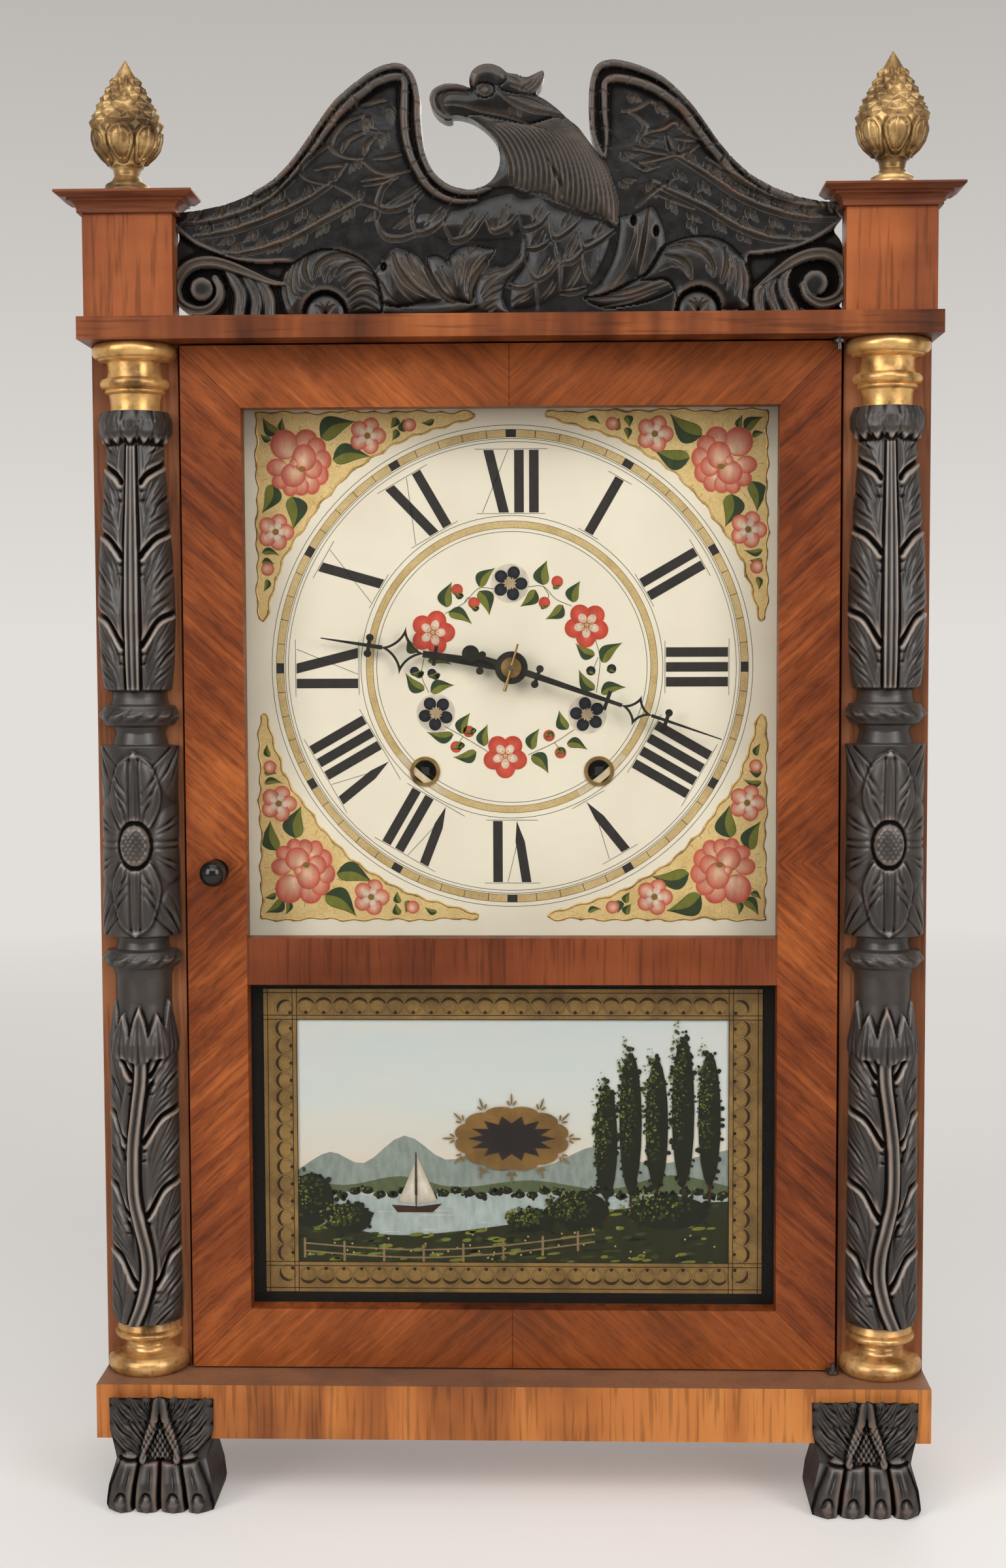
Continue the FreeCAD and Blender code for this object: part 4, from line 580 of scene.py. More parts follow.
at_left = drawing_grid(-243.55, 145.46, 0.10773, 0.00076)
at_mid = drawing_grid(-74.63, 144.27, 0.10773, 0.00076)
at_right = drawing_grid(67.26, 143.26, 0.11205, 0.0008)


def lines(at, *paths):
    return [at(*path) for path in paths]


def splat_outline():
    wing_left = at_left(
        (640, 845), (720, 840), (850, 820), (960, 790), (1060, 745), (1160, 680), (1230, 610), (1300, 520),
        (1370, 420), (1440, 330), (1520, 260))
    shoulder = at_mid(
        (0, 225), (60, 185), (130, 158), (190, 158), (235, 190), (262, 240), (278, 320), (278, 400),
        (290, 520), (310, 600), (350, 670), (420, 722), (500, 738), (560, 730), (610, 702), (645, 650),
        (655, 590), (640, 520), (600, 468), (545, 425), (490, 402), (435, 395))
    head = at_mid(
        (432, 413), (405, 420), (365, 400), (335, 362), (324, 318), (343, 278), (400, 253), (470, 257),
        (514, 270), (511, 235), (525, 195), (560, 168), (610, 160), (660, 178), (690, 202), (735, 208),
        (780, 222), (820, 207), (857, 192), (864, 212), (852, 255), (826, 298), (870, 325), (930, 370),
        (970, 408), (1025, 450), (1062, 500), (1105, 555), (1142, 605))
    wing_right = at_mid(
        (1115, 560), (1090, 500), (1078, 430), (1074, 340), (1080, 250), (1100, 185), (1135, 153),
        (1190, 143), (1260, 155), (1340, 182), (1420, 222), (1500, 290))
    end_right = at_right(
        (241, 350), (300, 430), (350, 500), (420, 580), (500, 650), (600, 705), (700, 740), (820, 765),
        (950, 772), (940, 800), (915, 840), (880, 890), (905, 930), (930, 980), (945, 1040), (948, 1110),
        (940, 1170), (905, 1230), (860, 1262))
    end_left = at_left(
        (820, 1337), (750, 1325), (690, 1285), (652, 1220), (643, 1140), (652, 1060), (690, 965), (675, 905))
    return wing_left + shoulder + head + wing_right + end_right + end_left


def wing_grounds(r):
    """Sunk ground under the wing borders, and wing fields hollowed inside the rims."""
    under_left = at_left(
        (600, 880), (690, 935), (770, 992), (860, 1032), (960, 1067), (1060, 1080), (1160, 1078),
        (1240, 1072), (1300, 1360), (600, 1360))
    under_right = at_right(
        (960, 800), (915, 852), (860, 902), (780, 947), (700, 977), (600, 997), (490, 1006), (440, 1290),
        (960, 1290))
    for ground in (under_left, under_right):
        path = np.array(ground)
        win = r.window(path, 0.5)
        r.h[win] = np.where(r.inside(path, win), 8.2, r.h[win])
    hollow_size, hollow_depth = 26, 1.6
    for u, v in at_mid((60, 330), (1380, 430)):
        q = np.hypot(r.u - u, r.v - v) / hollow_size
        r.h -= hollow_depth * np.exp(-q * q * 2)


def wing_rims(r):
    """Two notched beads side by side along each wing."""
    left_outer = at_left(
        (1060, 757), (1160, 695), (1230, 627), (1300, 538), (1370, 438), (1440, 348), (1520, 277))
    left_outer += at_mid(
        (0, 240), (60, 200), (130, 173), (190, 173), (228, 200), (250, 250), (264, 325), (264, 400),
        (276, 520), (298, 605), (340, 680), (415, 737), (500, 754), (560, 747), (600, 730))
    left_inner = at_left((1180, 730), (1290, 610), (1380, 490), (1450, 395), (1520, 325))
    left_inner += at_mid(
        (0, 290), (60, 245), (130, 218), (185, 215), (207, 240), (207, 300), (204, 400), (212, 500),
        (237, 590), (272, 660), (312, 720), (372, 767), (450, 792), (540, 790))
    right_outer = at_mid(
        (1138, 585), (1102, 500), (1092, 430), (1089, 340), (1094, 250), (1112, 195), (1140, 168),
        (1190, 158), (1260, 170), (1340, 196), (1420, 236), (1500, 303))
    right_outer += at_right(
        (251, 365), (311, 445), (362, 515), (432, 592), (507, 660), (600, 718), (690, 752))
    right_inner = at_mid(
        (1152, 590), (1158, 480), (1150, 400), (1147, 300), (1152, 247), (1200, 226), (1290, 240),
        (1380, 272), (1460, 322), (1520, 372))
    right_inner += at_right((250, 430), (310, 510), (370, 580), (440, 650), (520, 705))
    for outer, inner in ((left_outer, left_inner), (right_outer, right_inner)):
        r.strap(outer, 2.0, 11.4, 2.4, (0.5, 0.8, 1, 1, 1, 1, 0.7))
        r.strap(inner, 2.5, 11.0, 2.6, (0.3, 0.7, 1, 1, 1, 1, 0.4))
        for path, reach in ((outer, 1.7), (inner, 2.1)):
            r.notch(path, 9.0, reach, 0.8)


def wing_cells(r):
    """Outlined feathers on the wing fields."""
    cells = lines(
        at_left, ((1568, 388), (1490, 420), (1440, 470), (1418, 520), (1440, 560), (1490, 585), (1568, 592)),
        ((1418, 520), (1340, 572), (1290, 620), (1275, 645), (1310, 685), (1370, 705), (1435, 715)),
        ((1435, 715), (1500, 748), (1568, 792)), ((1568, 470), (1500, 505), (1470, 560)),
        ((1350, 640), (1400, 625), (1480, 622)), ((1440, 690), (1460, 650), (1490, 615)))
    cells += lines(
        at_mid, ((0, 385), (30, 430), (60, 450)), ((10, 572), (20, 530), (55, 492)),
        ((0, 600), (60, 646), (120, 662), (235, 645)), ((0, 692), (60, 680), (170, 668)),
        ((10, 715), (90, 700), (170, 675)), ((0, 800), (80, 822)), ((60, 590), (110, 585), (180, 572)),
        ((0, 340), (80, 318), (110, 320)), ((1230, 375), (1290, 360), (1365, 322)),
        ((1250, 372), (1310, 405), (1340, 450), (1300, 508)),
        ((1345, 462), (1420, 452), (1480, 420), (1568, 470)), ((1440, 490), (1468, 560), (1540, 600)),
        ((1290, 545), (1380, 560), (1470, 580)), ((1270, 610), (1330, 640), (1400, 630)),
        ((1300, 820), (1380, 745), (1470, 690)), ((1390, 760), (1470, 790), (1568, 830)))
    cells += lines(
        at_right, ((45, 310), (120, 360)), ((0, 462), (90, 432), (150, 405), (200, 440), (260, 485),
        (300, 472)), ((115, 470), (150, 550), (210, 542), (260, 510)), ((165, 480), (240, 492)),
        ((0, 590), (80, 570), (150, 555)))
    for path in cells:
        r.cut(path, 1.1, 1.0)
        r.cut([(u + 0.9, v - 0.9) for u, v in path], 1.2, -0.45)


def wing_feathers(r):
    """Long feathers with rows of gouged barbs, and an edge line along the wing borders."""
    ribs_left = lines(
        at_left, ((700, 900), (820, 895), (980, 855), (1120, 790), (1230, 700)),
        ((770, 965), (950, 932), (1150, 862), (1300, 792), (1420, 720)),
        ((900, 1042), (1000, 1040), (1200, 985), (1400, 880), (1568, 792)))
    ribs_right = lines(
        at_right, ((150, 560), (300, 650), (450, 750), (600, 812), (750, 848), (900, 850)),
        ((60, 690), (180, 745), (300, 800), (450, 890), (600, 940), (760, 950)),
        ((300, 590), (420, 660), (560, 740), (720, 790), (880, 800)))
    for paths, lean in ((ribs_left, 1), (ribs_right, -1)):
        for path in paths:
            r.cut(path, 1.1, 1.1)
            r.cut([(u, v + 1.5) for u, v in path], 2.2, -0.8)
            r.barbs(path, 9.0, lean)
    rows_left = lines(
        at_left, ((720, 872), (860, 862), (1000, 818), (1120, 752), (1210, 690)),
        ((760, 932), (900, 915), (1080, 848), (1260, 752)),
        ((860, 1005), (1010, 988), (1200, 925), (1400, 815)),
        ((1090, 1050), (1250, 1010), (1420, 930), (1560, 850)),
        ((1320, 590), (1400, 480), (1480, 400), (1560, 350)), ((1480, 690), (1560, 640)))
    rows_left += lines(
        at_mid, ((0, 900), (90, 880), (180, 850)), ((10, 500), (70, 420), (120, 350)),
        ((100, 560), (150, 470), (170, 380)))
    rows_right = lines(
        at_mid, ((1290, 700), (1400, 800), (1500, 880), (1568, 960)),
        ((1200, 330), (1320, 350), (1420, 400), (1520, 480)), ((1190, 640), (1300, 590), (1400, 520)),
        ((1200, 780), (1280, 720), (1360, 660)))
    rows_right += lines(
        at_right, ((120, 510), (240, 590), (380, 690), (540, 775), (700, 820), (860, 825)),
        ((330, 540), (450, 640), (580, 715), (740, 765), (900, 785)),
        ((90, 640), (230, 700), (380, 790), (520, 860), (680, 900), (830, 900)),
        ((150, 830), (300, 880), (450, 945), (560, 975)))
    for paths, lean in ((rows_left, 1), (rows_right, -1)):
        for path in paths:
            r.barbs(path, 7.0, lean)
    edge_left = at_left(
        (650, 862), (700, 925), (770, 982), (860, 1022), (960, 1057), (1060, 1070), (1160, 1068),
        (1225, 1064))
    edge_right = at_right((945, 785), (908, 842), (850, 893), (775, 938), (700, 967), (600, 988), (495, 996))
    r.cuts((edge_left, edge_right), 0.9, -0.7)


def bird_body(r):
    """The breast with its scalloped feathers, each with two ticks."""
    breast = at_mid(
        (250, 830), (440, 812), (560, 770), (700, 735), (760, 760), (850, 755), (925, 805), (1050, 850),
        (1130, 865), (1205, 915), (1200, 970), (1170, 1065), (1110, 1175), (1050, 1232), (930, 1255),
        (830, 1310), (690, 1315), (680, 1190), (700, 1150), (760, 1060), (745, 960), (720, 990),
        (600, 1000), (500, 1000), (400, 1000), (300, 960), (230, 900))
    r.pillow(breast, 9.6, 5.0, 9.0, over=False)
    scallops = lines(
        at_mid, ((170, 680), (110, 720), (85, 770), (80, 822), (150, 834), (240, 800), (290, 752)),
        ((80, 828), (66, 870), (80, 922), (115, 965), (180, 972), (260, 950)),
        ((262, 770), (235, 830), (235, 885), (248, 925), (266, 947), (330, 930), (380, 890), (415, 843)),
        ((400, 850), (388, 905), (410, 950), (436, 982), (510, 958), (560, 900), (596, 852)),
        ((590, 865), (600, 900), (625, 940), (690, 915), (740, 865)),
        ((745, 850), (750, 900), (772, 932), (840, 912), (890, 850)),
        ((886, 850), (890, 900), (905, 965), (935, 970), (990, 930), (1038, 880)),
        ((1030, 930), (1040, 985), (1058, 1022), (1120, 992), (1195, 935)),
        ((770, 960), (775, 1020), (760, 1062), (700, 1150), (680, 1192)),
        ((775, 1020), (830, 1020), (890, 990)), ((905, 965), (920, 1040), (940, 1090), (935, 1220)),
        ((940, 1095), (1000, 1080), (1055, 1025)), ((1045, 1030), (1055, 1110), (1085, 1175)),
        ((770, 1060), (790, 1120), (825, 1165), (880, 1140), (930, 1085)),
        ((825, 1165), (830, 1240), (828, 1300)), ((690, 1190), (760, 1205), (820, 1180)),
        ((940, 1225), (1000, 1222), (1060, 1205)))
    for path in scallops:
        r.cut(path, 1.0, 1.1)
        r.cut([(u - 0.3, v + 1.1) for u, v in path], 1.3, -0.5)
    ticks = (
        ((120, 800), (262, 712)), ((148, 915), (232, 850)), ((290, 905), (372, 815)),
        ((455, 955), (525, 835)), ((640, 910), (690, 810)), ((800, 890), (848, 790)),
        ((935, 925), (985, 840)), ((1080, 965), (1130, 885)), ((805, 1000), (855, 935)),
        ((955, 1070), (1015, 945)), ((835, 1150), (885, 1060)), ((965, 1200), (1030, 1090)),
        ((845, 1245), (905, 1165)), ((710, 1265), (790, 1225)), ((590, 880), (630, 940)))
    for (x0, y0), (x1, y1) in ticks:
        r.cut(at_mid((x0, y0), (x1, y1)), 1.3, 1.0, (0.3, 1, 0.3))
        r.cut(at_mid((x0 + 22, y0 + 4), (x1 + 16, y1 + 10)), 1.0, 0.8, (0.3, 1, 0.3))


def bird_neck(r):
    """The neck with combed feathers that run from the throat round to the nape."""
    neck = at_mid(
        (545, 425), (610, 470), (645, 530), (655, 590), (645, 650), (610, 702), (575, 735), (640, 728),
        (700, 722), (760, 752), (850, 747), (900, 772), (928, 808), (945, 792), (1050, 845), (1130, 862),
        (1203, 912), (1212, 860), (1200, 770), (1175, 680), (1120, 570), (1062, 500), (970, 408),
        (930, 370), (870, 325), (826, 298), (700, 400), (560, 380), (450, 395))
    r.pillow(neck, 11.6, 3.0, 7.0)
    throat = smooth(at_mid((560, 430), (625, 475), (680, 560), (705, 640), (705, 715)), 10)
    nape = smooth(at_mid((960, 410), (1035, 472), (1110, 560), (1170, 680), (1203, 800), (1205, 890)), 10)
    count = 9
    spans = [np.linspace(0, lengths(path)[-1], count) for path in (throat, nape)]
    first, last = (
        np.column_stack([np.interp(span, lengths(path), path[:, i]) for i in (0, 1)])
        for span, path in zip(spans, (throat, nape)))
    for k in np.linspace(0, 1, 21):
        bow = 4 * k * (1 - k) * np.sin(np.linspace(0, np.pi, count))[:, None] * np.array([[2.0, 3.0]])
        r.cut(first + (last - first) * k + bow, 0.95, 1.0, (0.5, 0.9, 1, 1, 1))
    r.cut(at_mid((880, 600), (925, 680), (950, 740), (935, 800)), 1.4, 1.2)


def bird_head(r):
    """Head, hooked beak, crest, brow and eye."""
    head = at_mid(
        (432, 413), (405, 420), (365, 400), (335, 362), (324, 318), (343, 278), (400, 253), (470, 257),
        (514, 270), (511, 235), (560, 200), (690, 202), (735, 230), (826, 298), (900, 345), (968, 408),
        (900, 412), (800, 440), (700, 425), (560, 395), (490, 402))
    r.pillow(head, 11.4, 2.8, 5.0)
    r.cut(at_mid((395, 345), (480, 350), (560, 372), (700, 400), (800, 440), (880, 470)), 1.0, 1.0)
    r.cut(at_mid((640, 280), (700, 330), (790, 372), (900, 392), (965, 408)), 1.1, 1.0)
    r.cut(at_mid((690, 310), (800, 330), (900, 372)), 0.9, 0.6)
    beak = at_mid(
        (512, 272), (450, 262), (395, 266), (352, 288), (338, 328), (352, 372), (390, 402), (428, 408))
    r.strap(beak, 2.1, 12.0, 2.2, (0.3, 0.8, 1, 1, 1, 0.8, 0.2))
    r.cut(at_mid((510, 300), (450, 290), (405, 296), (382, 330), (395, 372), (425, 392)), 1.1, 1.2)
    r.cuts(lines(at_mid, ((700, 365), (708, 410)), ((742, 365), (750, 410))), 1.0, 0.8)
    crest = at_mid(
        (672, 190), (720, 206), (780, 224), (822, 208), (857, 192), (862, 214), (852, 255), (826, 294),
        (770, 305), (715, 298), (650, 270))
    r.pillow(crest, 12.6, 2.0, 2.2)
    r.cuts(lines(
        at_mid, ((690, 220), (730, 235), (770, 262)), ((700, 260), (750, 270), (790, 290)),
        ((770, 290), (810, 262), (848, 215)), ((790, 300), (830, 268), (855, 225)),
        ((745, 285), (785, 262), (815, 235))), 1.0, 0.9)
    brow = at_mid(
        (515, 232), (522, 196), (560, 168), (610, 160), (660, 178), (688, 208), (680, 245), (640, 262),
        (600, 250), (560, 250), (528, 265))
    r.pillow(brow, 13.0, 2.4, 2.6)
    lid = at_mid(
        (535, 285), (545, 252), (585, 244), (625, 258), (632, 288), (612, 314), (572, 318), (545, 305))
    r.pillow(lid, 12.4, 1.6, 1.2)
    r.cut(at_mid((560, 282), (580, 262), (605, 270), (608, 292), (582, 302), (560, 284)), 0.8, 1.0, (1, 1))
    r.cut(at_mid((580, 268), (582, 298)), 0.8, 0.9, (0.5, 1, 0.5))


def frond(r, at, edge, form, *groups):
    """A carved leaf inside an edge, with groups of cuts that share a width, a depth and a taper."""
    r.pillow(at(*edge), *form)
    for cut_form, paths in groups:
        r.cuts(lines(at, *paths), *cut_form)


DEEP, FINE = (1.9, 1.6, (0.5, 1, 0.4)), (1.1, 0.9, (0.4, 1, 0.4))


def leaves_left(r):
    """A fan, a rolled leaf and a curl in front of the body, on the left."""
    stem = at_mid((81, 1292), (190, 1301), (319, 1304), (448, 1288), (516, 1269))
    r.strap(stem, 4.2, 9.8, 2.6, (0.6, 1, 1, 0.8))
    fan = (
        (303, 1053), (345, 1043), (384, 1056), (403, 1067), (423, 1033), (468, 1004), (532, 998),
        (584, 1008), (626, 1017), (616, 1046), (577, 1098), (552, 1137), (532, 1195), (516, 1266),
        (487, 1269), (448, 1259), (384, 1253), (345, 1195), (313, 1137))
    fan_folds = (
        ((303, 1098), (332, 1163), (377, 1221), (429, 1259)),
        ((516, 1266), (513, 1201), (539, 1137), (584, 1079)))
    fan_veins = (
        ((352, 1130), (384, 1188), (432, 1246)), ((377, 1104), (410, 1175), (442, 1240)),
        ((468, 1046), (452, 1124), (456, 1201)), ((481, 1050), (469, 1124), (465, 1195)),
        ((571, 1033), (519, 1098), (495, 1175), (497, 1246)), ((584, 1046), (535, 1104), (510, 1163)),
        ((406, 1072), (416, 1098)), ((513, 1001), (508, 1043)), ((532, 1001), (523, 1027)))
    deep, fine = (2.2, 1.7, (0.5, 1, 0.8)), (1.2, 1.0, (0.6, 1, 0.3))
    frond(r, at_mid, fan, (10.4, 3.0, 4.5), (deep, fan_folds), (fine, fan_veins))
    roll = (
        (52, 1130), (87, 1072), (126, 1030), (155, 1011), (190, 1017), (229, 1033), (271, 1059),
        (294, 1098), (310, 1150), (339, 1195), (377, 1246), (345, 1258), (294, 1253), (268, 1269),
        (210, 1286), (145, 1289), (94, 1271), (84, 1240), (71, 1182))
    roll_folds = (
        ((145, 1037), (171, 1111), (223, 1182), (313, 1246)),
        ((216, 1043), (255, 1124), (319, 1201), (365, 1243)))
    roll_veins = (
        ((184, 1066), (235, 1130), (319, 1227)), ((242, 1053), (274, 1124), (339, 1214)),
        ((132, 1098), (158, 1156), (197, 1221), (242, 1266)), ((87, 1175), (119, 1233), (165, 1272)))
    deep, fine = (2.4, 1.7, (0.5, 1, 0.3)), (1.2, 0.9, (0.6, 1, 0.3))
    frond(r, at_mid, roll, (10.8, 3.2, 4.5), (deep, roll_folds), (fine, roll_veins))
    r.dent(at_mid((99, 1098))[0], 1.9, 2.2, 1.3)
    curl = (
        (532, 1253), (535, 1201), (552, 1156), (577, 1130), (629, 1104), (674, 1104), (726, 1072),
        (752, 1033), (765, 969), (775, 1021), (766, 1072), (739, 1111), (700, 1150), (674, 1188),
        (661, 1233), (674, 1285), (684, 1317), (577, 1321), (539, 1285))
    curl_veins = (
        ((565, 1227), (603, 1175), (652, 1140)), ((577, 1240), (616, 1201), (661, 1182)),
        ((584, 1256), (623, 1230), (658, 1211)), ((584, 1295), (616, 1273), (642, 1254)),
        ((597, 1311), (629, 1288)), ((584, 1150), (635, 1130), (694, 1117), (739, 1072)))
    frond(r, at_mid, curl, (11.2, 2.8, 4.0), (FINE, curl_veins))


def leaf_right(r):
    """A folded leaf at the right of the breast, with its stem."""
    fold = at_mid(
        (1218, 866), (1290, 852), (1368, 820), (1408, 870), (1434, 950), (1432, 1020), (1380, 1110),
        (1318, 1170), (1290, 1150), (1200, 1240), (1060, 1245), (1130, 1170), (1190, 1060), (1212, 960))
    r.pillow(fold, 10.6, 2.4, 3.5)
    r.cut(at_mid((1352, 832), (1340, 930), (1320, 1050), (1300, 1150)), 1.5, 1.6)
    r.cut(at_mid((1300, 880), (1290, 980), (1240, 1110), (1180, 1200)), 1.3, 0.8)
    for spot in at_mid((1285, 885), (1392, 935)):
        r.dent(spot, 1.7, 2.6, 1.9)
    stem = at_mid((1065, 1248), (1180, 1275), (1300, 1255), (1420, 1215), (1520, 1170))
    r.leaf(stem, 2.6, 10.6, 2.2, (0.5, 1, 1, 0.8), 1)


def shells(r):
    """Fronds round a half round shell at each side."""
    low_right = (
        (-261, 1194), (-167, 1177), (-45, 1123), (39, 1081), (152, 1081), (227, 1081), (208, 1119),
        (152, 1166), (77, 1203), (-27, 1231), (-149, 1245), (-224, 1222))
    low_veins = (
        ((-247, 1196), (-74, 1194), (77, 1147), (199, 1100)), ((-177, 1239), (-45, 1208), (86, 1161)),
        ((-139, 1180), (-27, 1156), (86, 1109)))
    frond(r, at_right, low_right, (9.8, 2.6, 4.0), ((1.2, 1.0, (0.4, 1, 0.4)), low_veins))
    round_right = (
        (-3, 1123), (49, 1053), (100, 970), (161, 937), (236, 918), (311, 918), (377, 937), (433, 978),
        (476, 1034), (499, 1119), (495, 1203), (471, 1246), (208, 1250), (152, 1156), (114, 1119),
        (58, 1119))
    right_folds = (
        ((229, 1109), (219, 1062), (180, 1023), (114, 1006)),
        ((332, 1100), (326, 1044), (283, 987), (199, 955)), ((370, 1128), (393, 1044), (383, 968)))
    right_veins = (
        ((152, 1039), (199, 1067), (219, 1105)), ((128, 973), (208, 970), (293, 1006), (341, 1067)),
        ((152, 955), (236, 950), (313, 995)), ((288, 938), (349, 976)),
        ((401, 1006), (417, 1081), (396, 1161)), ((429, 1015), (448, 1100), (429, 1194)),
        ((452, 1036), (476, 1119), (466, 1208)), ((302, 1051), (319, 1092)),
        ((77, 1081), (133, 1053), (171, 1062)))
    frond(r, at_right, round_right, (10.0, 3.4, 5.0), (DEEP, right_folds), (FINE, right_veins))
    shell(r, *at_right((264, 1252)))
    round_left = (
        (1226, 1081), (1292, 1040), (1361, 1012), (1430, 1012), (1505, 1031), (1568, 1062), (1612, 1106),
        (1643, 1169), (1657, 1244), (1650, 1319), (1474, 1325), (1311, 1325), (1211, 1319), (1183, 1263),
        (1175, 1200), (1189, 1137))
    left_folds = (
        ((1299, 1053), (1289, 1106), (1305, 1162), (1330, 1187)),
        ((1336, 1150), (1352, 1093), (1405, 1050), (1487, 1040), (1562, 1075)),
        ((1443, 1137), (1487, 1093), (1556, 1081), (1612, 1112)),
        ((1480, 1194), (1518, 1150), (1574, 1131), (1625, 1156)),
        ((1493, 1244), (1549, 1200), (1600, 1194), (1650, 1225)))
    left_veins = (
        ((1211, 1112), (1195, 1181), (1201, 1244), (1226, 1307)),
        ((1236, 1093), (1220, 1162), (1230, 1225), (1267, 1244)),
        ((1261, 1075), (1248, 1137), (1261, 1194), (1292, 1213)),
        ((1386, 1169), (1389, 1131), (1415, 1100)), ((1408, 1169), (1424, 1131), (1449, 1106)),
        ((1361, 1144), (1380, 1100), (1436, 1062), (1518, 1062)),
        ((1455, 1162), (1499, 1118), (1568, 1106)), ((1499, 1213), (1543, 1175), (1606, 1169)),
        ((1505, 1269), (1562, 1238), (1637, 1269)), ((1518, 1300), (1574, 1275), (1631, 1300)))
    frond(r, at_left, round_left, (9.6, 3.4, 5.0), (DEEP, left_folds), (FINE, left_veins))
    shell(r, *at_left((1386, 1319)))


def shell(r, centre, size=10.6):
    """A half round boss in a dark ring, with petals opening at its foot."""
    q = np.hypot(r.u - centre[0], r.v - centre[1]) / size
    ring = q < 1.12
    r.h = np.where(ring, 8.6, r.h)
    r.h = np.where(q < 1, 8.8 + 3.4 * np.sqrt(np.clip(1 - q * q, 0, 1)), r.h)
    r.scored = np.where(ring, 0, r.scored)
    for lean in (-50, -22, 22, 50):
        a = math.radians(90 + lean)
        way = np.array([math.cos(a), math.sin(a)]) * size
        petal = np.array([way * 0.05, way * 0.35 + (0, 0.8), way * 0.62]) + centre
        r.cut(petal, 1.5, 1.4, (1, 0.8, 0.2))


def scroll(r, at, centre, radius, spiral, lobes):
    """A spiral round a button, with leaves springing from it."""
    for lobe in reversed(lobes):
        r.leaf(at(*lobe), 4.2, 8.4, 3.6, (0.3, 0.9, 1, 0.9), 1)
    (u, v), = at(centre)
    q = np.hypot(r.u - u, r.v - v)
    r.h = np.where(q < radius * 2.05, 6.6, r.h)
    r.strap(at(*spiral), 3.4, 9.0, 4.2, (0.25, 0.6, 0.9, 1, 1, 1, 1, 0.9, 0.6))
    r.cut(at(*spiral), 1.9, 1.5, (0.3, 0.8, 1, 1, 1, 1, 0.9, 0.5))
    button = 10.4 + 1.2 * np.sqrt(np.clip(1 - (q / radius)**6, 0, 1))
    r.h = np.where(q < radius, np.maximum(r.h, button), r.h)


def scrolls(r):
    spiral = (
        (1215, 1180), (1120, 1165), (1000, 1118), (900, 1082), (820, 1072), (745, 1090), (693, 1138),
        (670, 1200), (690, 1268), (760, 1305), (830, 1298), (878, 1250), (884, 1195), (862, 1150))
    lobes = (
        ((905, 1100), (955, 1160), (985, 1230), (975, 1320)),
        ((985, 1120), (1030, 1180), (1058, 1250), (1052, 1325)),
        ((1045, 1140), (1090, 1190), (1115, 1250), (1120, 1325)))
    scroll(r, at_left, (797, 1200), 6.16, spiral, lobes)
    spiral = (
        (520, 1160), (590, 1105), (680, 1040), (760, 1005), (840, 1000), (900, 1030), (928, 1090),
        (925, 1160), (890, 1205), (820, 1222), (760, 1190), (738, 1140))
    lobes = (
        ((690, 1060), (650, 1120), (660, 1190), (690, 1250)),
        ((625, 1095), (590, 1150), (600, 1210), (620, 1255)), ((570, 1125), (540, 1180), (545, 1250)))
    scroll(r, at_right, (795, 1130), 6.6, spiral, lobes)


def splat():
    """The carved board between the pedestals: a bird of prey with raised wings over shells and scrolls."""
    step, ground, half_width = 0.58, 11.0, 170.2
    relief = Relief(np.arange(-176, 176, step), np.arange(-step, 132, step), ground)
    layers = (
        wing_grounds, wing_rims, wing_cells, wing_feathers, bird_body, bird_neck, bird_head, leaves_left,
        leaf_right, shells, scrolls)
    for layer in layers:
        layer(relief)
    drawn = splat_outline()
    edge = smooth(drawn + drawn[:1], 3)[:-1]
    edge[:, 0] = np.clip(edge[:, 0], -half_width, half_width)
    edge[:, 1] = np.maximum(edge[:, 1], 0.0)
    low, high = extent("splat")
    carved_board("splat_carving", relief, step, edge, high[1], low[2], EBONY, "ebonised_wood", "splat")


# Half columns, finials and feet
class Turned(Relief):
    """Carving on a turned piece: u runs round it at a nominal radius, v is the height."""

    def __init__(self, profile, radius, turn, step):
        self.profile = np.array(profile)
        self.radius = radius
        low, high = profile[0][0], profile[-1][0]
        reach = math.radians(turn) * radius
        us = np.linspace(-reach, reach, round(2 * reach / step) + 1)
        super().__init__(us, np.linspace(low, high, round((high - low) / step) + 1))

    def size(self, z):
        return np.interp(z, self.profile[:, 0], self.profile[:, 1])

    def on(self, *points):
        """Points given as (sideways, height), as seen from the front."""
        return [(self.radius * math.asin(np.clip(x / self.size(z), -1, 1)), z) for x, z in points]

    def points(self, x, y, side=1):
        r = self.size(self.v) + self.h
        turn = self.u / self.radius
        return np.dstack([x + side * r * np.sin(turn), y - r * np.cos(turn), self.v])


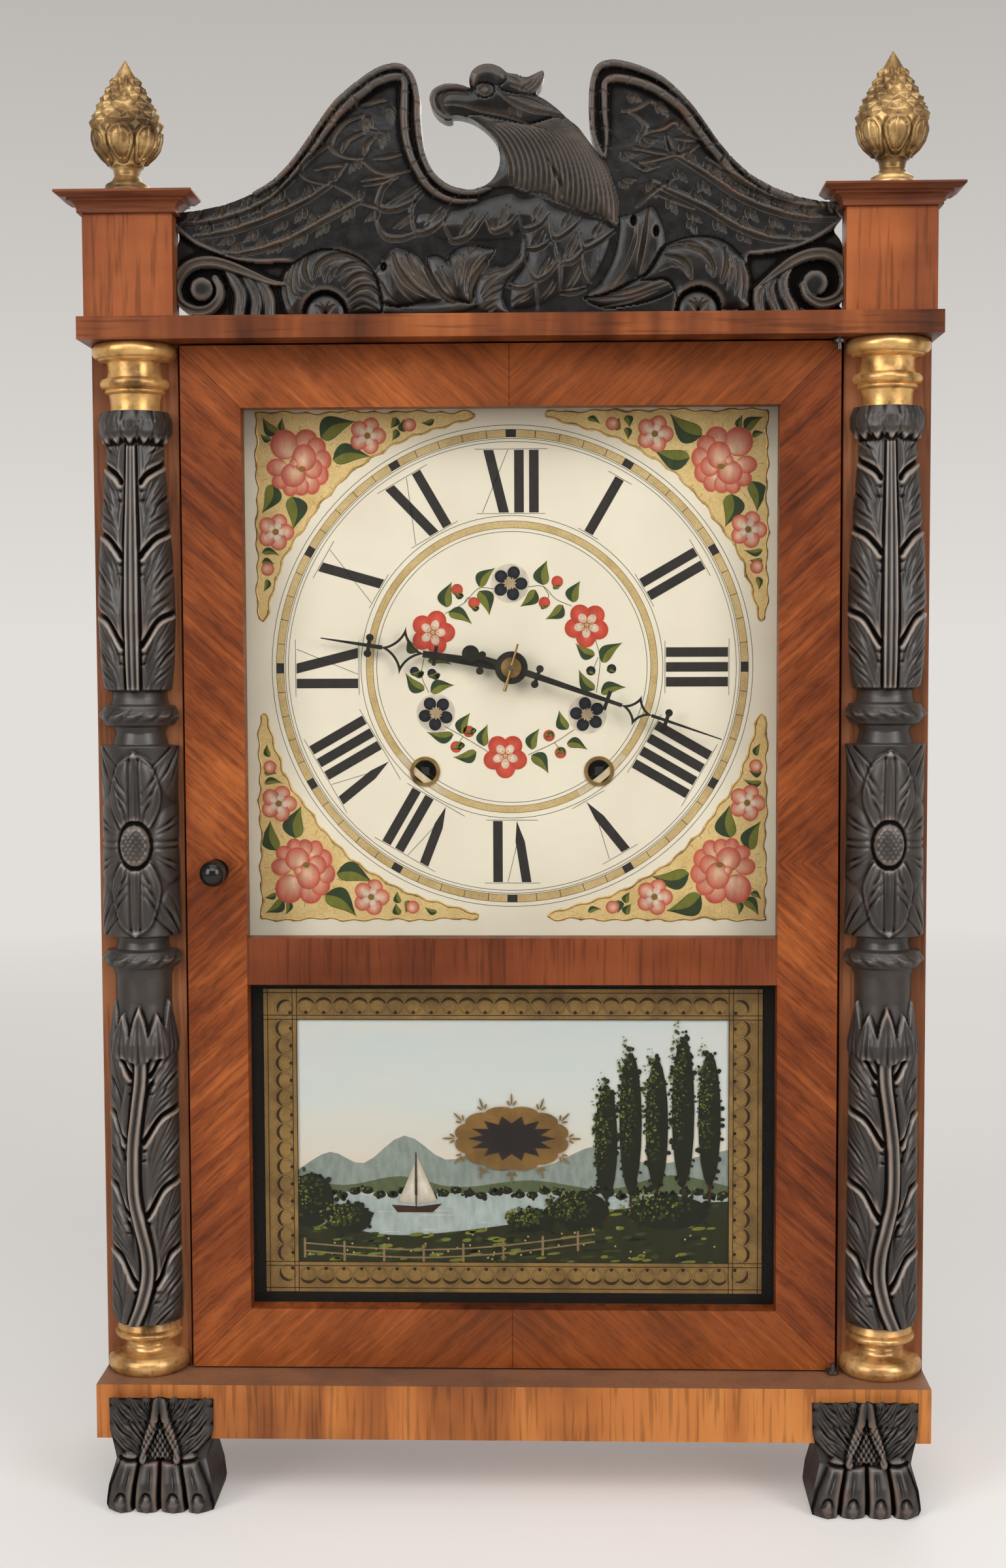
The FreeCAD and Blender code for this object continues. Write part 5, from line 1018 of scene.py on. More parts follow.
# Height and radius along the column and along the finial
COLUMN = (
    (91.8, 18.2), (241, 17.1), (250, 15.6), (262, 14.7), (276, 14.9), (280.8, 16.4), (281, 18.6),
    (285.5, 20.4), (290, 18.8), (290.2, 14.6), (294, 13.5), (297.4, 13.8), (297.8, 20.4), (303, 20.0),
    (346, 19.0), (390, 19.6), (397.4, 20.6), (397.8, 14.8), (404, 13.1), (407.8, 14.4), (408, 18.2),
    (413, 20.6), (418.4, 18.6), (418.7, 15.6), (422, 14.5), (425.8, 14.5), (426.2, 17.2), (440, 18.6),
    (466, 19.6), (500, 18.1), (530, 15.8), (552, 14.2), (552.8, 14.2), (556, 14.6), (559, 16.2), (565, 16.6),
    (570, 14.6))
FINIAL = (
    (0, 12.3), (1.6, 12.3), (2.6, 11.2), (4.2, 11.0), (6.0, 8.0), (8.5, 6.4), (11.0, 6.8), (12.6, 7.4),
    (13.2, 8.8), (14.4, 9.0), (15.4, 9.6), (18.4, 13.0), (22.0, 15.6), (27.0, 17.0), (31.0, 17.2),
    (36.0, 16.6), (43.0, 13.4), (50.0, 9.6), (55.6, 6.2), (58.2, 5.4), (62.0, 3.2), (66.5, 0.3))


def upright_leaf(c, tip, right):
    """A leaf that is the same on both sides of c, from its tip and the points of its right edge."""
    return [(c, tip)] + [(c + u, v) for u, v in right] + [(c - u, v) for u, v in reversed(right)]


def acanthus(r, side, lobes, rib):
    """Lobes down one side of a shaft: (eye, outer tip) heights, with the rib's offset at each."""
    combs = 14
    for (eye, tip), (next_eye, next_tip) in zip(lobes, lobes[1:]):
        inner, low = rib(eye) * side + 5.0, rib(next_eye) * side + 5.0
        edge, deep = r.size(tip) * 0.99, r.size(next_tip) * 0.99
        across, mid = (inner + edge) / 2 + 1.5, (tip + next_tip) / 2
        top = [(inner + 0.3, eye - 1.5), (inner + 2.6, eye + 2), (across, tip - 4), (edge, tip)]
        under = [
            (deep, next_tip + 1), ((low + deep) / 2 + 1.5, next_tip - 3), (low + 2.4, next_eye + 3),
            (low, next_eye)]
        r.pillow(r.on(*flip(side, top + under)), 0.2, 1.5, 2.6)
        rim = np.array([
            (inner + 2.2, eye - 4), (across, tip - 7), (edge * 0.97, tip - 4), (edge * 0.97, mid + 2),
            (deep * 0.96, next_tip + 7), ((low + deep) / 2 + 3, next_tip + 1)])
        for k in range(combs):
            t = (k + 0.5) / combs
            end = [np.interp(t, np.linspace(0, 1, len(rim)), rim[:, c]) for c in (0, 1)]
            start = (low + 0.8 + 0.9 * t, next_eye + 4 + (eye - next_eye) * 0.5 * (1 - t))
            bend = (start[0] * 0.6 + end[0] * 0.4 - 0.4, (start[1] + end[1]) / 2)
            depth = 0.45 + 0.4 * (k % 3 == 1)
            r.cut(r.on(*flip(side, (start, bend, end))), 0.95, depth, (0.4, 1, 1, 0.6))
        line = r.on(*flip(side, top))
        r.cut(line, 2.3, 2.6, (1, 0.9, 0.8, 0.6))
        r.cut([(u, v - 2.4) for u, v in line], 1.4, -0.9, (1, 1, 0.8, 0.4))
        for drop in (6.5, 11.5):
            spot = inner - (drop - 6.5) * 0.1
            tick = [(spot - 0.4, eye - drop), (spot + 2.2, eye - drop + 0.8)]
            r.cut(r.on(*flip(side, tick)), 1.0, 1.1, (0.6, 1, 0.5))
        wide = r.size(mid)
        gouge = [(wide * 0.99, mid + 1), (wide * 0.8, mid - 4), (wide * 0.55, mid - 14)]
        r.cut(r.on(*flip(side, gouge)), 1.5, 1.5, (1, 0.7, 0.2))


def upper_shaft(r):
    """Lobes on both sides of a straight double rib."""
    lobes = ((565, 575), (535, 544), (497, 509), (451, 467), (414, 428))
    for side in (-1, 1):
        acanthus(r, side, lobes, lambda z: 0.0)
    r.strap([(0, 552), (0, 490), (0, 426)], 4.4, 0.9, 1.2, (0.8, 0.95, 1))
    for off, narrow, width, depth in ((1.5, 0.8, 0.9, 1.3), (4.3, 0.85, 1.0, 1.4)):
        for u in (-off, off):
            r.cut([(u * narrow, 552), (u, 490), (u, 427)], width, depth, (1, 1))
    r.h[(r.v > 552.4) | (r.v < 426.4)] = 0


def lower_shaft(r):
    """Lobes on both sides of a swaying double rib, under a ring of upright leaves."""
    sway = (
        (92, -4.4), (104, 0.0), (118, 2.9), (131, 2.5), (145, -0.5), (162, -3.7), (186, -3.8), (207, -1.5),
        (227, 0.7), (260, 0.3))
    heights, offsets = zip(*sway)
    lobes = ((262, 275), (226, 242), (191, 207), (152, 169), (115, 133), (78, 96))
    for side in (-1, 1):
        acanthus(r, side, lobes, lambda z: np.interp(z, heights, offsets))
    line = [(x * 1.1, z) for z, x in sway]
    r.strap(line, 4.0, 0.7, 0.8)
    for off in (-1.9, 1.9):
        r.strap([(x + off, z) for x, z in line], 1.9, 0.9, 1.7)
    for off in (-4.1, 4.1):
        r.cut([(x + off, z) for x, z in line], 0.9, 1.2, (1, 1))
    r.h[(r.v > 246) & (r.v < 297.6)] = 0
    leaves = ((66, 264, 236, 7.5, 1.2), (34, 257.5, 234, 7.0, 1.7), (0, 261, 232, 6.4, 2.2))
    for turn, tip, low, half, level in leaves:
        for side in (-1, 1):
            c = side * math.radians(turn) * r.radius
            right = [(half * 0.55, tip - 7), (half, low + 9), (half * 0.8, low)]
            r.pillow(upright_leaf(c, tip, right), level, 0.8, 1.5)
            r.cut([(c, tip - 3), (c, low)], 0.9, 0.9, (0.5, 1))
            for off in (-0.45, 0.45):
                r.cut([(c + off * half * 0.6, tip - 9), (c + off * half * 1.2, low)], 0.8, 0.6, (0.4, 1))


def drum_sides(r):
    """Petals and leaves at both sides of the drum between the two rope rings."""
    r.h[(r.v > 297.6) & (r.v < 397.6)] = 0
    petal = [(6, 346), (14, 362), (24, 368), (33, 367), (33, 325), (24, 324), (14, 330)]
    for side in (-1, 1):
        r.pillow(flip(side, petal), 0.0, 1.5, 4.0)
        for z in (344.2, 347.8):
            r.cut(flip(side, [(8, z), (31, z)]), 0.9, 1.0, (0.6, 1))
        for z, end in ((351, 357), (353, 362), (341, 335), (339, 330)):
            r.cut(flip(side, [(11, z), (19, (z + end) / 2), (28, end)]), 1.1, 0.9, (0.3, 1, 0.4))
        for tip, base, sign in ((396, 374, 1), (299, 321, -1)):
            leaf = [
                (11, base + 6 * sign), (22, tip), (31, tip), (31, base - 6 * sign), (20, base - 4 * sign)]
            r.pillow(flip(side, leaf), -0.1, 1.2, 3.0)
            vein = [(13, base + 4 * sign), (19, base + 11 * sign), (27, tip)]
            r.cut(flip(side, vein), 1.2, 1.2, (0.3, 1, 0.8))
            vein = [(18, base), (24, base + 9 * sign), (29, tip - 3 * sign)]
            r.cut(flip(side, vein), 0.9, 0.8, (0.3, 1, 0.6))
            vein = [(9, base + 12 * sign), (21, tip + sign * 0.5)]
            r.cut(flip(side, vein), 1.0, 1.0, (0.5, 1))


def drum_flower(r):
    """Two tall petals and an oval seed head in the middle of the drum."""
    middle = 346
    for tip, wide, half, base in ((393.8, 373, 13.8, 352), (298.6, 321, 13.0, 340)):
        edge = [
            (0, tip), (half * 0.62, tip + (wide - tip) * 0.3), (half, wide),
            (half * 0.85, wide + (base - wide) * 0.5), (5, base)]
        r.pillow(edge + flip(-1, edge[:0:-1]), 0.5, 1.7, 3.0)
        for side in (1, -1):
            r.cut(flip(side, edge), 1.0, -0.7, (1, 1))
        r.strap([(0, tip + (wide - tip) * 0.1), (0, base)], 2.7, 1.4, 1.1, (0.6, 1))
        for off, narrow, width in ((0.9, 0.7, 0.7), (2.8, 0.8, 0.8)):
            for u in (-off, off):
                r.cut([(u * narrow, tip + (wide - tip) * 0.12), (u, base)], width, 1.0, (1, 1))
        for side in (-1, 1):
            for k, out in enumerate((0.45, 0.7, 0.9, 0.95)):
                start = base + (wide - base) * (0.15 + 0.28 * k)
                end = base + (wide - base) * (0.62 + 0.36 * k)
                vein = [(3.6, start), (half * out * 0.75, (start + end) / 2 + 0.3), (half * out, end)]
                r.cut(flip(side, vein), 1.0, 0.9, (0.5, 1, 0.3))
    angles = np.linspace(0, 2 * math.pi, 16, endpoint=False)
    oval = [(8.2 * math.sin(a), middle + 11.2 * math.cos(a)) for a in angles]
    r.pillow([(u * 1.18, middle + (v - middle) * 1.14) for u, v in oval], -1.0, 0.5, 2.0)
    r.pillow(oval, 1.2, 2.4, 2.2)
    for row in range(-5, 6):
        for place in range(-3, 4):
            u, v = (place + 0.5 * (row % 2)) * 2.6, row * 2.0
            if (u / 6.6)**2 + (v / 9.4)**2 < 1:
                r.dent((u, middle + v), 0.95, -0.9)


def rope_rings(r):
    for ring in (285.5, 413.2):
        for k in range(-5, 6):
            c = k * 9.0
            strand = [(c - 6, ring - 2.8), (c, ring + 0.2), (c + 6, ring + 2.6)]
            r.strap(strand, 3.0, -0.6, 1.7, (0.15, 1, 0.15))
            r.cut([(c - 3.4, ring + 0.2), (c, ring + 1.2), (c + 3.4, ring + 2.2)], 0.9, 0.6, (0.3, 1, 0.3))


def leaf_collar(r):
    """Two rows of leaves that hang under the capital."""
    for level, shift, tip in ((1.3, 0.5, 555.0), (2.2, 0.0, 553.2)):
        for k in range(-4, 5):
            c = (k + shift) * 9.2
            left = [(c - 3.4, 571), (c - 4.7, 563.5), (c - 3.4, tip + 4.2)]
            right = [(c + 3.4, tip + 4.2), (c + 4.7, 563.5), (c + 3.4, 571)]
            shape = left + [(c, tip)] + right
            r.pillow(shape, level, 1.0, 1.4)
            r.cuts((shape[1:4], shape[3:6]), 0.9, -0.5, (0.5, 1, 1))
            for off in (-2.4, -1.2, 0, 1.2, 2.4):
                r.cut([(c + off * 0.8, 569.5), (c + off, tip + 2.2 + abs(off) * 1.3)], 0.7, 0.55)


def columns():
    step, radius = 0.6, 20.0
    r = Turned(COLUMN, radius, 90, step)
    for layer in (upper_shaft, lower_shaft, drum_sides, drum_flower, rope_rings, leaf_collar):
        layer(r)
    r.soften()
    rows, cols = r.h.shape
    marks = [m.ravel() for m in r.marks(step)]
    ends = np.arange(rows) * cols
    back = [(b, b + cols - 1, a + cols - 1, a) for a, b in zip(ends, ends[1:])]
    faces = grid_faces(rows, cols) + back + end_faces(rows, cols)
    for name, side in (("left", -1), ("right", 1)):
        node = "column_" + name
        low, high = extent(node)
        points = r.points((low[0] + high[0]) / 2, high[1], -side).reshape(-1, 3)
        turned = [face[::-1] for face in faces] if side > 0 else faces
        made = piece(
            "column_carving_" + name, points, turned, SHAFT, "case", "ebonised_wood", node, marks=marks)
        crease(made, range((rows - 1) * (cols - 1), len(faces)))


def finials():
    """Pineapples: a ring of leaves below, and rows of scales above."""
    step, radius = 0.5, 16.0
    leaves, scales = 7, 13
    r = Turned(FINIAL, radius, 180, step)
    around = 2 * math.pi * radius
    for k in range(-1, leaves + 2):
        c = -around / 2 + (k + 0.5) * around / leaves
        shape = upright_leaf(c, 32.3, [(4.4, 30.6), (6.9, 26.0), (6.2, 19.5), (3.4, 14.6)])
        r.pillow(shape, 0.5, 0.9, 1.0)
        inner = [(c + (u - c) * 0.72, 23.5 + (v - 23.5) * 0.78) for u, v in shape]
        r.pillow(inner, 0.3, 0.8, 3.0)
        r.cut(inner + inner[:1], 0.8, 0.6, (1, 1))
        r.cut(shape + shape[:1], 1.0, 0.9, (1, 1))
        r.strap([(c, 31), (c, 15)], 0.8, 1.0, 0.7, (0.3, 1))
    rise, wide = 4.3, around / scales
    for row in range(7):
        z = 34.4 + row * rise
        for k in range(-1, scales + 2):
            c = -around / 2 + (k + 0.5 * (row % 2) + 0.1 * row) * wide
            fall = np.abs(r.u - c) / (wide * 0.56) + np.abs(r.v - z) / (rise * (0.7 if row else 0.9))
            r.h = np.maximum(r.h, np.where(r.v < 58, 2.3 * (1 - fall), 0))
    rows, cols = r.h.shape
    marks = [m[:, :-1].ravel() for m in r.marks(step)]
    faces = grid_faces(rows, cols - 1, True) + end_faces(rows, cols - 1)
    for name in ("left", "right"):
        node = "finial_" + name
        low, high = extent(node)
        x, y, _ = (low + high) / 2
        points = r.points(x, y)[:, :-1].reshape(-1, 3) + (0, 0, low[2])
        piece("finial_carving_" + name, points, faces, FINIAL_GILT, "case", "gilt_wood", node, marks=marks)


def paw_carving(us, vs):
    """Toes below, a waist with a crossed band, and hair that fans out over the base board."""
    r = Relief(us, vs, 2.0)
    middle = 236

    def at(*points):
        return [((x - middle) / 6.75, (605 - y) / 7.1) for x, y in points]

    for low, high in ((88, 112), (182, 190), (284, 284), (380, 372)):
        mid = (low + high) / 2
        r.strap(at((low, 600), (mid, 500), (high, 425)), 7.6, 1.4, 4.2, (1, 0.96, 0.84))
        r.strap(at((low, 596), (low, 570), (low * 0.7 + high * 0.3, 540)), 3.0, 5.2, 1.8, (0.6, 1, 0.2))
        r.cut(at((low - 22, 560), (low - 12, 535), (low + 8, 530), (low + 24, 560)), 1.0, 0.9)
        r.cut(at((mid - 12, 520), (high - 10, 440)), 1.0, 0.5)
    for low, high in ((132, 143), (238, 238), (334, 330)):
        r.cut(at((low, 604), ((low + high) / 2, 510), (high, 420)), 1.6, 2.6, (1, 1, 0.6))
    r.cut(at((80, 412), (150, 418), (236, 412), (330, 416), (415, 410)), 1.6, 1.6, (1, 1))
    tufts = (
        ((60, 300), (150, 395), 5.0), ((55, 235), (160, 350), 5.4), ((70, 175), (180, 305), 5.4),
        ((130, 172), (196, 270), 4.6), ((185, 176), (208, 235), 3.6))
    for side in (-1, 1):
        def both(*points):
            return at(*[(middle + side * (x - middle), y) for x, y in points])

        for tip, root, width in tufts:
            bend = ((tip[0] + root[0]) / 2 - 4, (tip[1] + root[1]) / 2 + 6)
            r.leaf(both(tip, bend, root), width, 2.0, 2.4, (1, 1, 0.5), 3)
        r.strap(both((226, 178), (214, 260), (190, 330), (160, 408)), 2.6, 4.0, 1.8)
    r.pillow(at((236, 268), (262, 330), (298, 405), (236, 410), (175, 405), (210, 330)), 3.4, 0.8, 2.0)
    for k in range(-3, 4):
        for lean in (1, -1):
            x = middle + k * 22
            r.cut(at((x - lean * 60, 268), (x + lean * 30, 408)), 0.8, 0.7, (1, 1))
    return r


def paws():
    """Carved paw feet, with a shelf behind the hair for the base board."""
    step, reach, height, top = 0.7, 30, 62, 61.0
    us, vs = np.arange(-reach, reach + 0.01, step), np.arange(0, height + 0.01, step)
    r = paw_carving(us, vs)
    half = np.interp(vs, (0, 4, 14, 27, 33, 43, 62), (27.6, 28.4, 27.2, 23.6, 25.0, 27.2, 27.4))
    front_at = (0, 3, 8, 16, 27, 31, 37, 62)
    front = np.interp(vs, front_at, (-68.5, -70.6, -71.2, -69.8, -66.4, -65.6, -65.4, -64.6))
    back = np.where(vs > 36.1, -64.0, -30.0)
    share = us / reach
    ragged = 1 - 0.035 * np.abs(np.sin(share * 11)) - 0.02 * np.abs(share)
    x = share[None, :] * half[:, None]
    z = vs[:, None] * (1 + (ragged[None, :] - 1) * (vs[:, None] / height)**3) * (top / height)
    y = front[:, None] - np.clip(r.h, 0, 7.4) * np.clip(1.15 - np.abs(share[None, :])**6, 0, 1)
    left = np.dstack([-half[:, None], back[:, None], z[:, :1]])
    right = np.dstack([half[:, None], back[:, None], z[:, -1:]])
    shape = np.concatenate([np.dstack([x, np.maximum(y, -78.0), z]), right, left], axis=1)
    rows, cols, _ = shape.shape
    marks = [np.pad(m, ((0, 0), (0, 2))).ravel() for m in r.marks(step)]
    faces = grid_faces(rows, cols, True) + end_faces(rows, cols)
    sharp = [k for k in range(len(faces)) if k >= (rows - 1) * cols or k % cols >= cols - 3]
    for name, side in (("left", -1), ("right", 1)):
        node = "paw_foot_" + name
        low, high = extent(node)
        points = shape.reshape(-1, 3) * (side, 1, 1) + ((low[0] + high[0]) / 2, 0, 0)
        turned = faces if side > 0 else [face[::-1] for face in faces]
        made = piece("paw_carving_" + name, points, turned, PAW, "case", "ebonised_wood", node, marks=marks)
        crease(made, sharp)


# Painted decoration: thin flat shapes laid on a board or behind glass
class Art:
    """Painted shapes in mm on an upright plane, gathered by colour. A higher layer lies in front."""

    COAT = 0.05

    def __init__(self, y, z):
        self.y, self.z = y, z
        self.kinds = {}

    def shape(self, kind, layer, points, faces, fade):
        store = self.kinds.setdefault(kind, ([], [], []))
        start = len(store[0])
        store[0].extend((x, self.y - self.COAT * (layer + 1), z + self.z) for x, z in points)
        store[1].extend([start + i for i in face] for face in faces)
        store[2].extend(fade)

    def add(self, kind, layer, outline, heart=None):
        """A closed shape; with a heart, its colour runs from the heart to the rim."""
        points = np.asarray(outline, float)
        x, z = points.T
        if np.sum(x * np.roll(z, -1) - z * np.roll(x, -1)) < 0:
            points = points[::-1]
        count = len(points)
        if heart is None:
            self.shape(kind, layer, points, [range(count)], [1.0] * count)
        else:
            fan = [(i, (i + 1) % count, count) for i in range(count)]
            self.shape(kind, layer, [*points, heart], fan, [1.0] * count + [0.0])

    def strip(self, kind, layer, left, right, closed=False):
        """A band between two lines; left is on the left going along."""
        count = len(left)
        runs = [(i, (i + 1) % count) for i in range(count if closed else count - 1)]
        faces = [(i + count, j + count, j, i) for i, j in runs]
        self.shape(kind, layer, [*left, *right], faces, [1.0] * (2 * count))

    def line(self, kind, layer, points, width):
        path = smooth(points)
        ahead = np.gradient(path, axis=0)
        side = np.column_stack([-ahead[:, 1], ahead[:, 0]]) / np.hypot(*ahead.T)[:, None] * width / 2
        self.strip(kind, layer, path + side, path - side)

    def oval(self, kind, layer, centre, wide, tall=None, turn=0.0, heart=None, count=20):
        a = np.linspace(0, 2 * math.pi, count, endpoint=False)
        x, z = np.cos(a) * wide, np.sin(a) * (tall or wide)
        c, s = math.cos(turn), math.sin(turn)
        outline = np.column_stack([x * c - z * s, x * s + z * c]) + centre
        self.add(kind, layer, outline, heart)

    def ring(self, kind, layer, inner, outer, centre=(0, 0), count=160, start=0.0, end=360.0):
        """A ring or an arc of one; angles run clockwise from the top."""
        whole = end - start >= 360
        a = np.radians(np.linspace(start, end, count, endpoint=not whole))
        round_line = np.column_stack([np.sin(a), np.cos(a)])
        self.strip(kind, layer, round_line * outer + centre, round_line * inner + centre, whole)

    def leaf(self, layer, base, tip, fat):
        """A pointed leaf, one half in the shade and one in the light."""
        curl = 0.12
        base, tip = np.array(base, float), np.array(tip, float)
        t = np.linspace(0, 1, 13)
        side = np.array([base[1] - tip[1], tip[0] - base[0]])
        rib = base + (tip - base) * t[:, None] + side * (curl * np.sin(math.pi * t * 1.25))[:, None]
        swell = side * (fat * np.sin(math.pi * t**0.7) * (1 - t)**0.3)[:, None]
        self.add("leaf_dark", layer, np.vstack([rib + swell, (rib - swell)[-2:0:-1]]))
        self.add("leaf_light", layer + 1, np.vstack([rib, (rib - swell * 0.94)[-2:0:-1]]))

    def make(self, name, looks, body, slot):
        for kind, (points, faces, fade) in self.kinds.items():
            made = piece(f"{name}_{kind}", points, faces, looks[kind], body, slot, flat=True)
            blush = made.data.attributes.new("blush", "FLOAT", "POINT")
            blush.data.foreach_set("value", np.array(fade, np.float32))
            film = made.modifiers.new("coat", "SOLIDIFY")
            film.thickness = self.COAT * 0.5 * MM
            film.offset = -1.0


# Dial: numerals, rings, a wreath round the hub and gilt corners
def numeral(art, text, hour):
    """A Roman numeral with its top outwards: thick bars, hairline strokes and long hairline serifs."""
    high, low, bar, hair, gap = 115.2, 82.2, 5.1, 0.25, 2.8
    widths = {"I": bar, "V": 12.6, "X": 13.6}
    total = sum(widths[glyph] for glyph in text) + gap * (len(text) - 1)
    turn = math.radians(30 * hour)
    across = np.array([math.cos(turn), -math.sin(turn)])
    outward = np.array([math.sin(turn), math.cos(turn)])

    def put(*points):
        return [across * t + outward * r for t, r in points]

    at = -total / 2
    for glyph in text:
        wide = widths[glyph]
        if glyph == "I":
            art.add("ink", 1, put((at, high), (at, low), (at + bar, low), (at + bar, high)))
        elif glyph == "V":
            point = at + wide * 0.62
            split = low + 11.0
            bend = at + (point - at - bar * 0.5) * (high - split) / (high - low)
            right = (bend + bar * 0.98, split), (at + bar, high)
            art.add("ink", 1, put((at, high), (bend, split), (point, low), *right))
            art.line("ink", 1, put((at + wide, high), (bend + bar * 0.7, split - 1.5)), hair)
        else:
            right = (at + wide, low), (at + bar * 1.05, high)
            art.add("ink", 1, put((at, high), (at + wide - bar * 1.05, low), *right))
            art.line("ink", 1, put((at + wide * 0.96, high), (at - 0.5, low)), hair)
        at += wide + gap
    reach = total / 2 + 4.6
    art.line("ink", 1, put((-reach, high + 0.5), (reach, high + 0.5)), hair)
    art.line("ink", 1, put((-reach + 1, low - 0.5), (reach - 1, low - 0.5)), hair)


def dial_rings(art):
    minutes, inner_band = (122.0, 126.0), (74.1, 77.8)
    for r in (128.3, 121.2, 119.6, 80.6, 72.2):
        art.ring("ink", 1, r - 0.13, r + 0.13)
    art.ring("gold", 0, *minutes)
    for r in (*minutes, *reversed(inner_band)):
        art.ring("ink", 1, r - 0.1, r + 0.1)
    fade_from, fade_to = 128.0, 152.0
    art.ring("gold", 0, *inner_band, start=-fade_from, end=fade_from)
    art.ring("gold", 0, *inner_band, count=40, start=fade_to, end=360 - fade_to)
    for side in (0, 360 - fade_to - fade_from):
        art.ring("worn_gold", 0, *inner_band, count=24, start=fade_from + side, end=fade_to + side)
    for minute in range(60):
        half = 1.25 if minute % 5 == 0 else 0.07
        art.ring("ink", 2, *minutes, count=6, start=6 * minute - half, end=6 * minute + half)
    for hour, text in enumerate("I II III IIII V VI VII VIII IX X XI XII".split()):
        numeral(art, text, hour + 1)


def blossom(art, layer, centre, petal, dist, turn, kind, glow=None):
    """Five round petals, each with a lighter spot if there is a glow."""
    for k in range(5):
        a = turn + k * 2 * math.pi / 5
        way = np.array([math.sin(a), math.cos(a)])
        spot, heart = centre + way * dist, centre + way * dist * 1.1
        art.oval(kind, layer + 0.3 * k, spot, petal, petal * 1.06, -a, heart)
        if glow:
            spot, heart = centre + way * dist * 0.66, centre + way * dist * 0.5
            art.oval(glow, layer + 2, spot, petal * 0.42, petal * 0.5, -a, heart)


def eye(art, layer, centre, radius):
    """A dot with two rings of dots round it."""
    for k in range(19):
        r = radius * (0.0 if k == 0 else 0.5 if k < 7 else 1.0)
        a = k * math.pi / (3 if k < 7 else 6)
        art.oval("dot", layer, centre + np.array([math.cos(a), math.sin(a)]) * r, 0.5, count=8)


def wreath(art):
    """Six flowers and six sprigs round the hub, drawn on a grid with the hub at (808, 697), y down."""
    unit = 0.0939

    def spot(point):
        return np.array([(point[0] - 808) * unit, (697 - point[1]) * unit])

    for centre in ((800, 220), (1238, 965), (375, 955)):
        art.oval("haze", 0, spot(centre), 10.4, heart=spot(centre), count=28)
        blossom(art, 3, spot(centre), 3.3, 5.9, math.radians(centre[0] % 7 * 10), "night")
        eye(art, 7, spot(centre), 2.9)
    for centre, turn in (((1235, 458), 40), ((770, 1200), 36), ((360, 497), 18)):
        blossom(art, 3, spot(centre), 5.3, 6.4, math.radians(turn), "red", "cream")
        eye(art, 7, spot(centre), 3.0)
    leaves = (
        ((990, 232), (998, 90), 0.36), ((1155, 330), (1188, 205), 0.34), ((945, 258), (865, 360), 0.33),
        ((1100, 345), (1008, 432), 0.32), ((625, 240), (708, 125), 0.3), ((440, 355), (458, 208), 0.32),
        ((625, 262), (695, 395), 0.34), ((450, 385), (590, 438), 0.28), ((1320, 670), (1428, 548), 0.28),
        ((1280, 630), (1165, 570), 0.3), ((1280, 825), (1180, 718), 0.27), ((1315, 845), (1455, 800), 0.27),
        ((270, 610), (210, 530), 0.36), ((330, 660), (470, 668), 0.22), ((310, 825), (195, 735), 0.28),
        ((345, 835), (478, 785), 0.3), ((1125, 1050), (1068, 945), 0.33), ((1120, 1130), (1242, 1155), 0.29),
        ((920, 1165), (955, 1040), 0.3), ((920, 1195), (1025, 1292), 0.33), ((520, 1075), (560, 950), 0.31),
        ((475, 1078), (320, 1075), 0.25), ((650, 1145), (660, 1018), 0.31), ((605, 1175), (475, 1218), 0.3))
    for base, tip, fat in leaves:
        art.leaf(2, spot(base), spot(tip), fat)
    red = (
        (1068, 212), (995, 330), (500, 255), (595, 330), (1020, 1085), (1085, 1182), (563, 1060),
        (490, 1148))
    night = ((1258, 717), (1376, 706), (255, 717), (354, 729))
    for kind, size, berries in (("red", 3.1, red), ("night", 2.5, night)):
        for centre in berries:
            art.oval(kind, 3, spot(centre), size, heart=spot(centre) + 0.6)
            inward = spot(centre) * -0.045 + np.array([0.8, -0.4])
            for k in (-1, 0, 1):
                art.leaf(3.5, spot(centre) + inward * 1.6, spot(centre) + np.array([k * 2.4, -1.6]), 0.3)
    stems = (
        ((900, 240), (990, 240), (1060, 310), (1150, 350)),
        ((710, 250), (620, 250), (540, 330), (430, 390)), ((1285, 540), (1310, 660), (1290, 840)),
        ((310, 640), (295, 740), (335, 840)), ((1165, 1050), (1050, 1125), (900, 1195)),
        ((425, 1030), (530, 1090), (670, 1175)), ((990, 240), (1020, 290), (1000, 320)),
        ((540, 330), (560, 300), (580, 310)), ((1300, 640), (1275, 700)), ((295, 740), (270, 715)),
        ((1050, 1125), (1080, 1160)), ((530, 1090), (500, 1130)))
    for stem in stems:
        art.line("stem", 1, [spot(point) for point in stem], 0.34)


